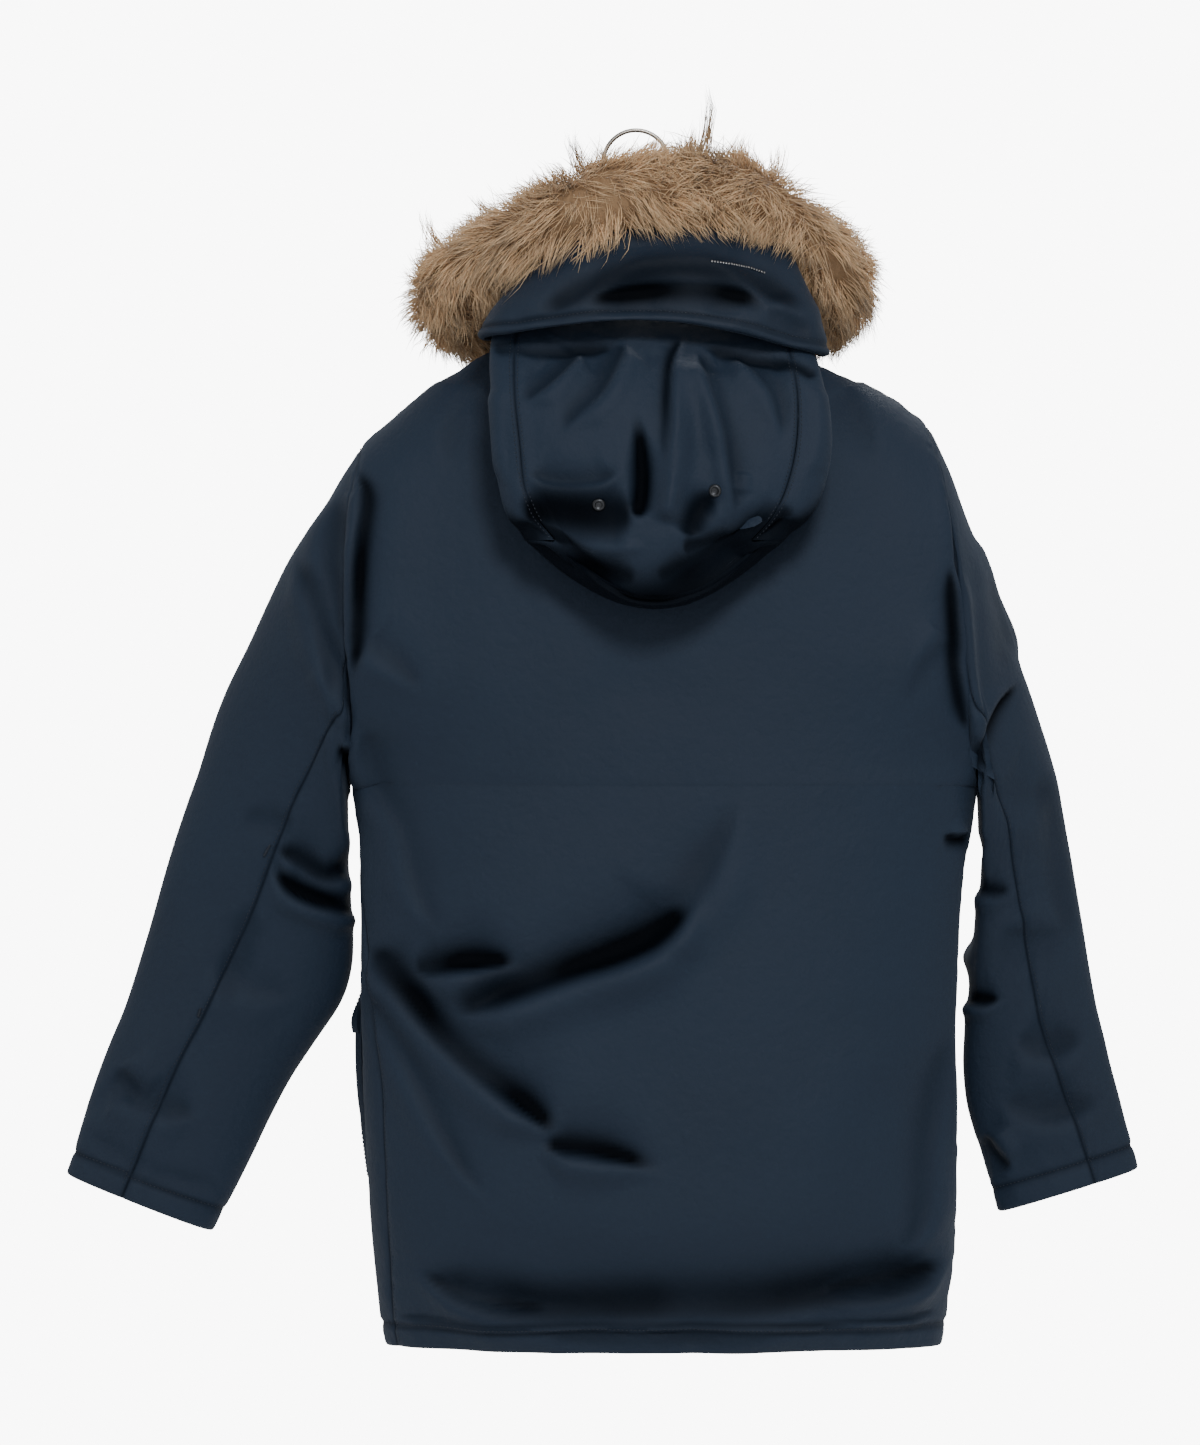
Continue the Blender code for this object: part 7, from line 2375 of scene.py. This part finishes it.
class PARKA_OT_stage(bpy.types.Operator):
    """Sets the floor, the soft lights and the camera"""
    bl_idname = "parka.stage"
    bl_label = "Stage"

    def execute(self, context):
        low = CAD_BOX[0][2] - 0.28
        work = bmesh.new()
        bmesh.ops.create_circle(work, cap_ends=True, segments=96, radius=1.45)
        bmesh.ops.translate(work, verts=work.verts, vec=(0.03, 0, low))
        mesh = bpy.data.meshes.new("studio_floor")
        work.to_mesh(mesh)
        work.free()
        floor = bpy.data.objects.new("studio_floor", mesh)
        context.scene.collection.objects.link(floor)
        mesh.materials.append(floor_material("studio_floor", (0.86, 0.86, 0.865)))
        for name, place, size, power in (("overhead", (-0.55, 3.5, 1.8), 0.9, 90.0),
                                         ("fill", (0.8, 4.8, 0.2), 2.6, 18.0),
                                         ("overhead_front", (-0.3, -2.0, 2.0), 1.6, 50.0),
                                         ("side_left", (3.2, 0.2, 0.6), 1.8, 14.0),
                                         ("side_right", (-3.2, 0.2, 0.6), 1.8, 10.0)):
            lamp = bpy.data.lights.new(name, "AREA")
            lamp.energy = power
            lamp.size = size
            item = bpy.data.objects.new(name, lamp)
            item.location = place
            aim = Vector((0.0, 0.0, -0.5)) - Vector(place)
            item.rotation_euler = aim.to_track_quat("-Z", "Y").to_euler()
            context.scene.collection.objects.link(item)
        world = bpy.data.worlds.new("studio")
        world.use_nodes = True
        nodes, links = world.node_tree.nodes, world.node_tree.links
        surround = nodes["Background"]
        surround.inputs["Strength"].default_value = 0.34
        pale = nodes.new("ShaderNodeBackground")
        pale.inputs["Color"].default_value = (1, 1, 1, 1)
        pale.inputs["Strength"].default_value = 9.0
        surround.inputs["Color"].default_value = (1, 1, 1, 1)
        mix = nodes.new("ShaderNodeMixShader")
        links.new(nodes.new("ShaderNodeLightPath").outputs["Is Camera Ray"], mix.inputs["Fac"])
        links.new(surround.outputs[0], mix.inputs[1])
        links.new(pale.outputs[0], mix.inputs[2])
        links.new(mix.outputs[0], nodes["World Output"].inputs["Surface"])
        context.scene.world = world
        camera = bpy.data.cameras.new("camera")
        camera.sensor_fit = "VERTICAL"
        camera.sensor_height = 36.0
        camera.lens = 36.0 * 6.0 / 1.1849
        camera.clip_end = 50.0
        item = bpy.data.objects.new("camera", camera)
        item.location = (0.0295, 6.0, -0.4838)
        item.rotation_euler = (math.pi / 2, 0, math.pi)
        context.scene.collection.objects.link(item)
        context.scene.camera = item
        return {"FINISHED"}


PARTS = (PARKA_OT_finishes, PARKA_OT_body, PARKA_OT_sleeves, PARKA_OT_collar, PARKA_OT_hood,
         PARKA_OT_band, PARKA_OT_fur,
         PARKA_OT_pockets, PARKA_OT_zip, PARKA_OT_eyelets, PARKA_OT_hanger, PARKA_OT_stitching,
         PARKA_OT_stage)


class PARKA_PT_panel(bpy.types.Panel):
    """Lists the parka's settings and parts"""
    bl_label = "Fur trimmed parka"
    bl_idname = "PARKA_PT_panel"
    bl_space_type = "VIEW_3D"
    bl_region_type = "UI"
    bl_category = "Parka"

    def draw(self, context):
        settings = context.scene.parka
        column = self.layout.column()
        for name in ParkaSettings.__annotations__:
            column.prop(settings, name)
        for part in PARTS:
            column.operator(part.bl_idname)


CLASSES = (ParkaSettings, *PARTS, PARKA_PT_panel)


def register():
    for item in CLASSES:
        bpy.utils.register_class(item)
    bpy.types.Scene.parka = PointerProperty(type=ParkaSettings)


def unregister():
    del bpy.types.Scene.parka
    for item in reversed(CLASSES):
        bpy.utils.unregister_class(item)


def main():
    register()
    bpy.ops.object.select_all(action="DESELECT")
    for part in PARTS:
        group, action = part.bl_idname.split(".")
        getattr(getattr(bpy.ops, group), action)()


if __name__ == "__main__":
    main()
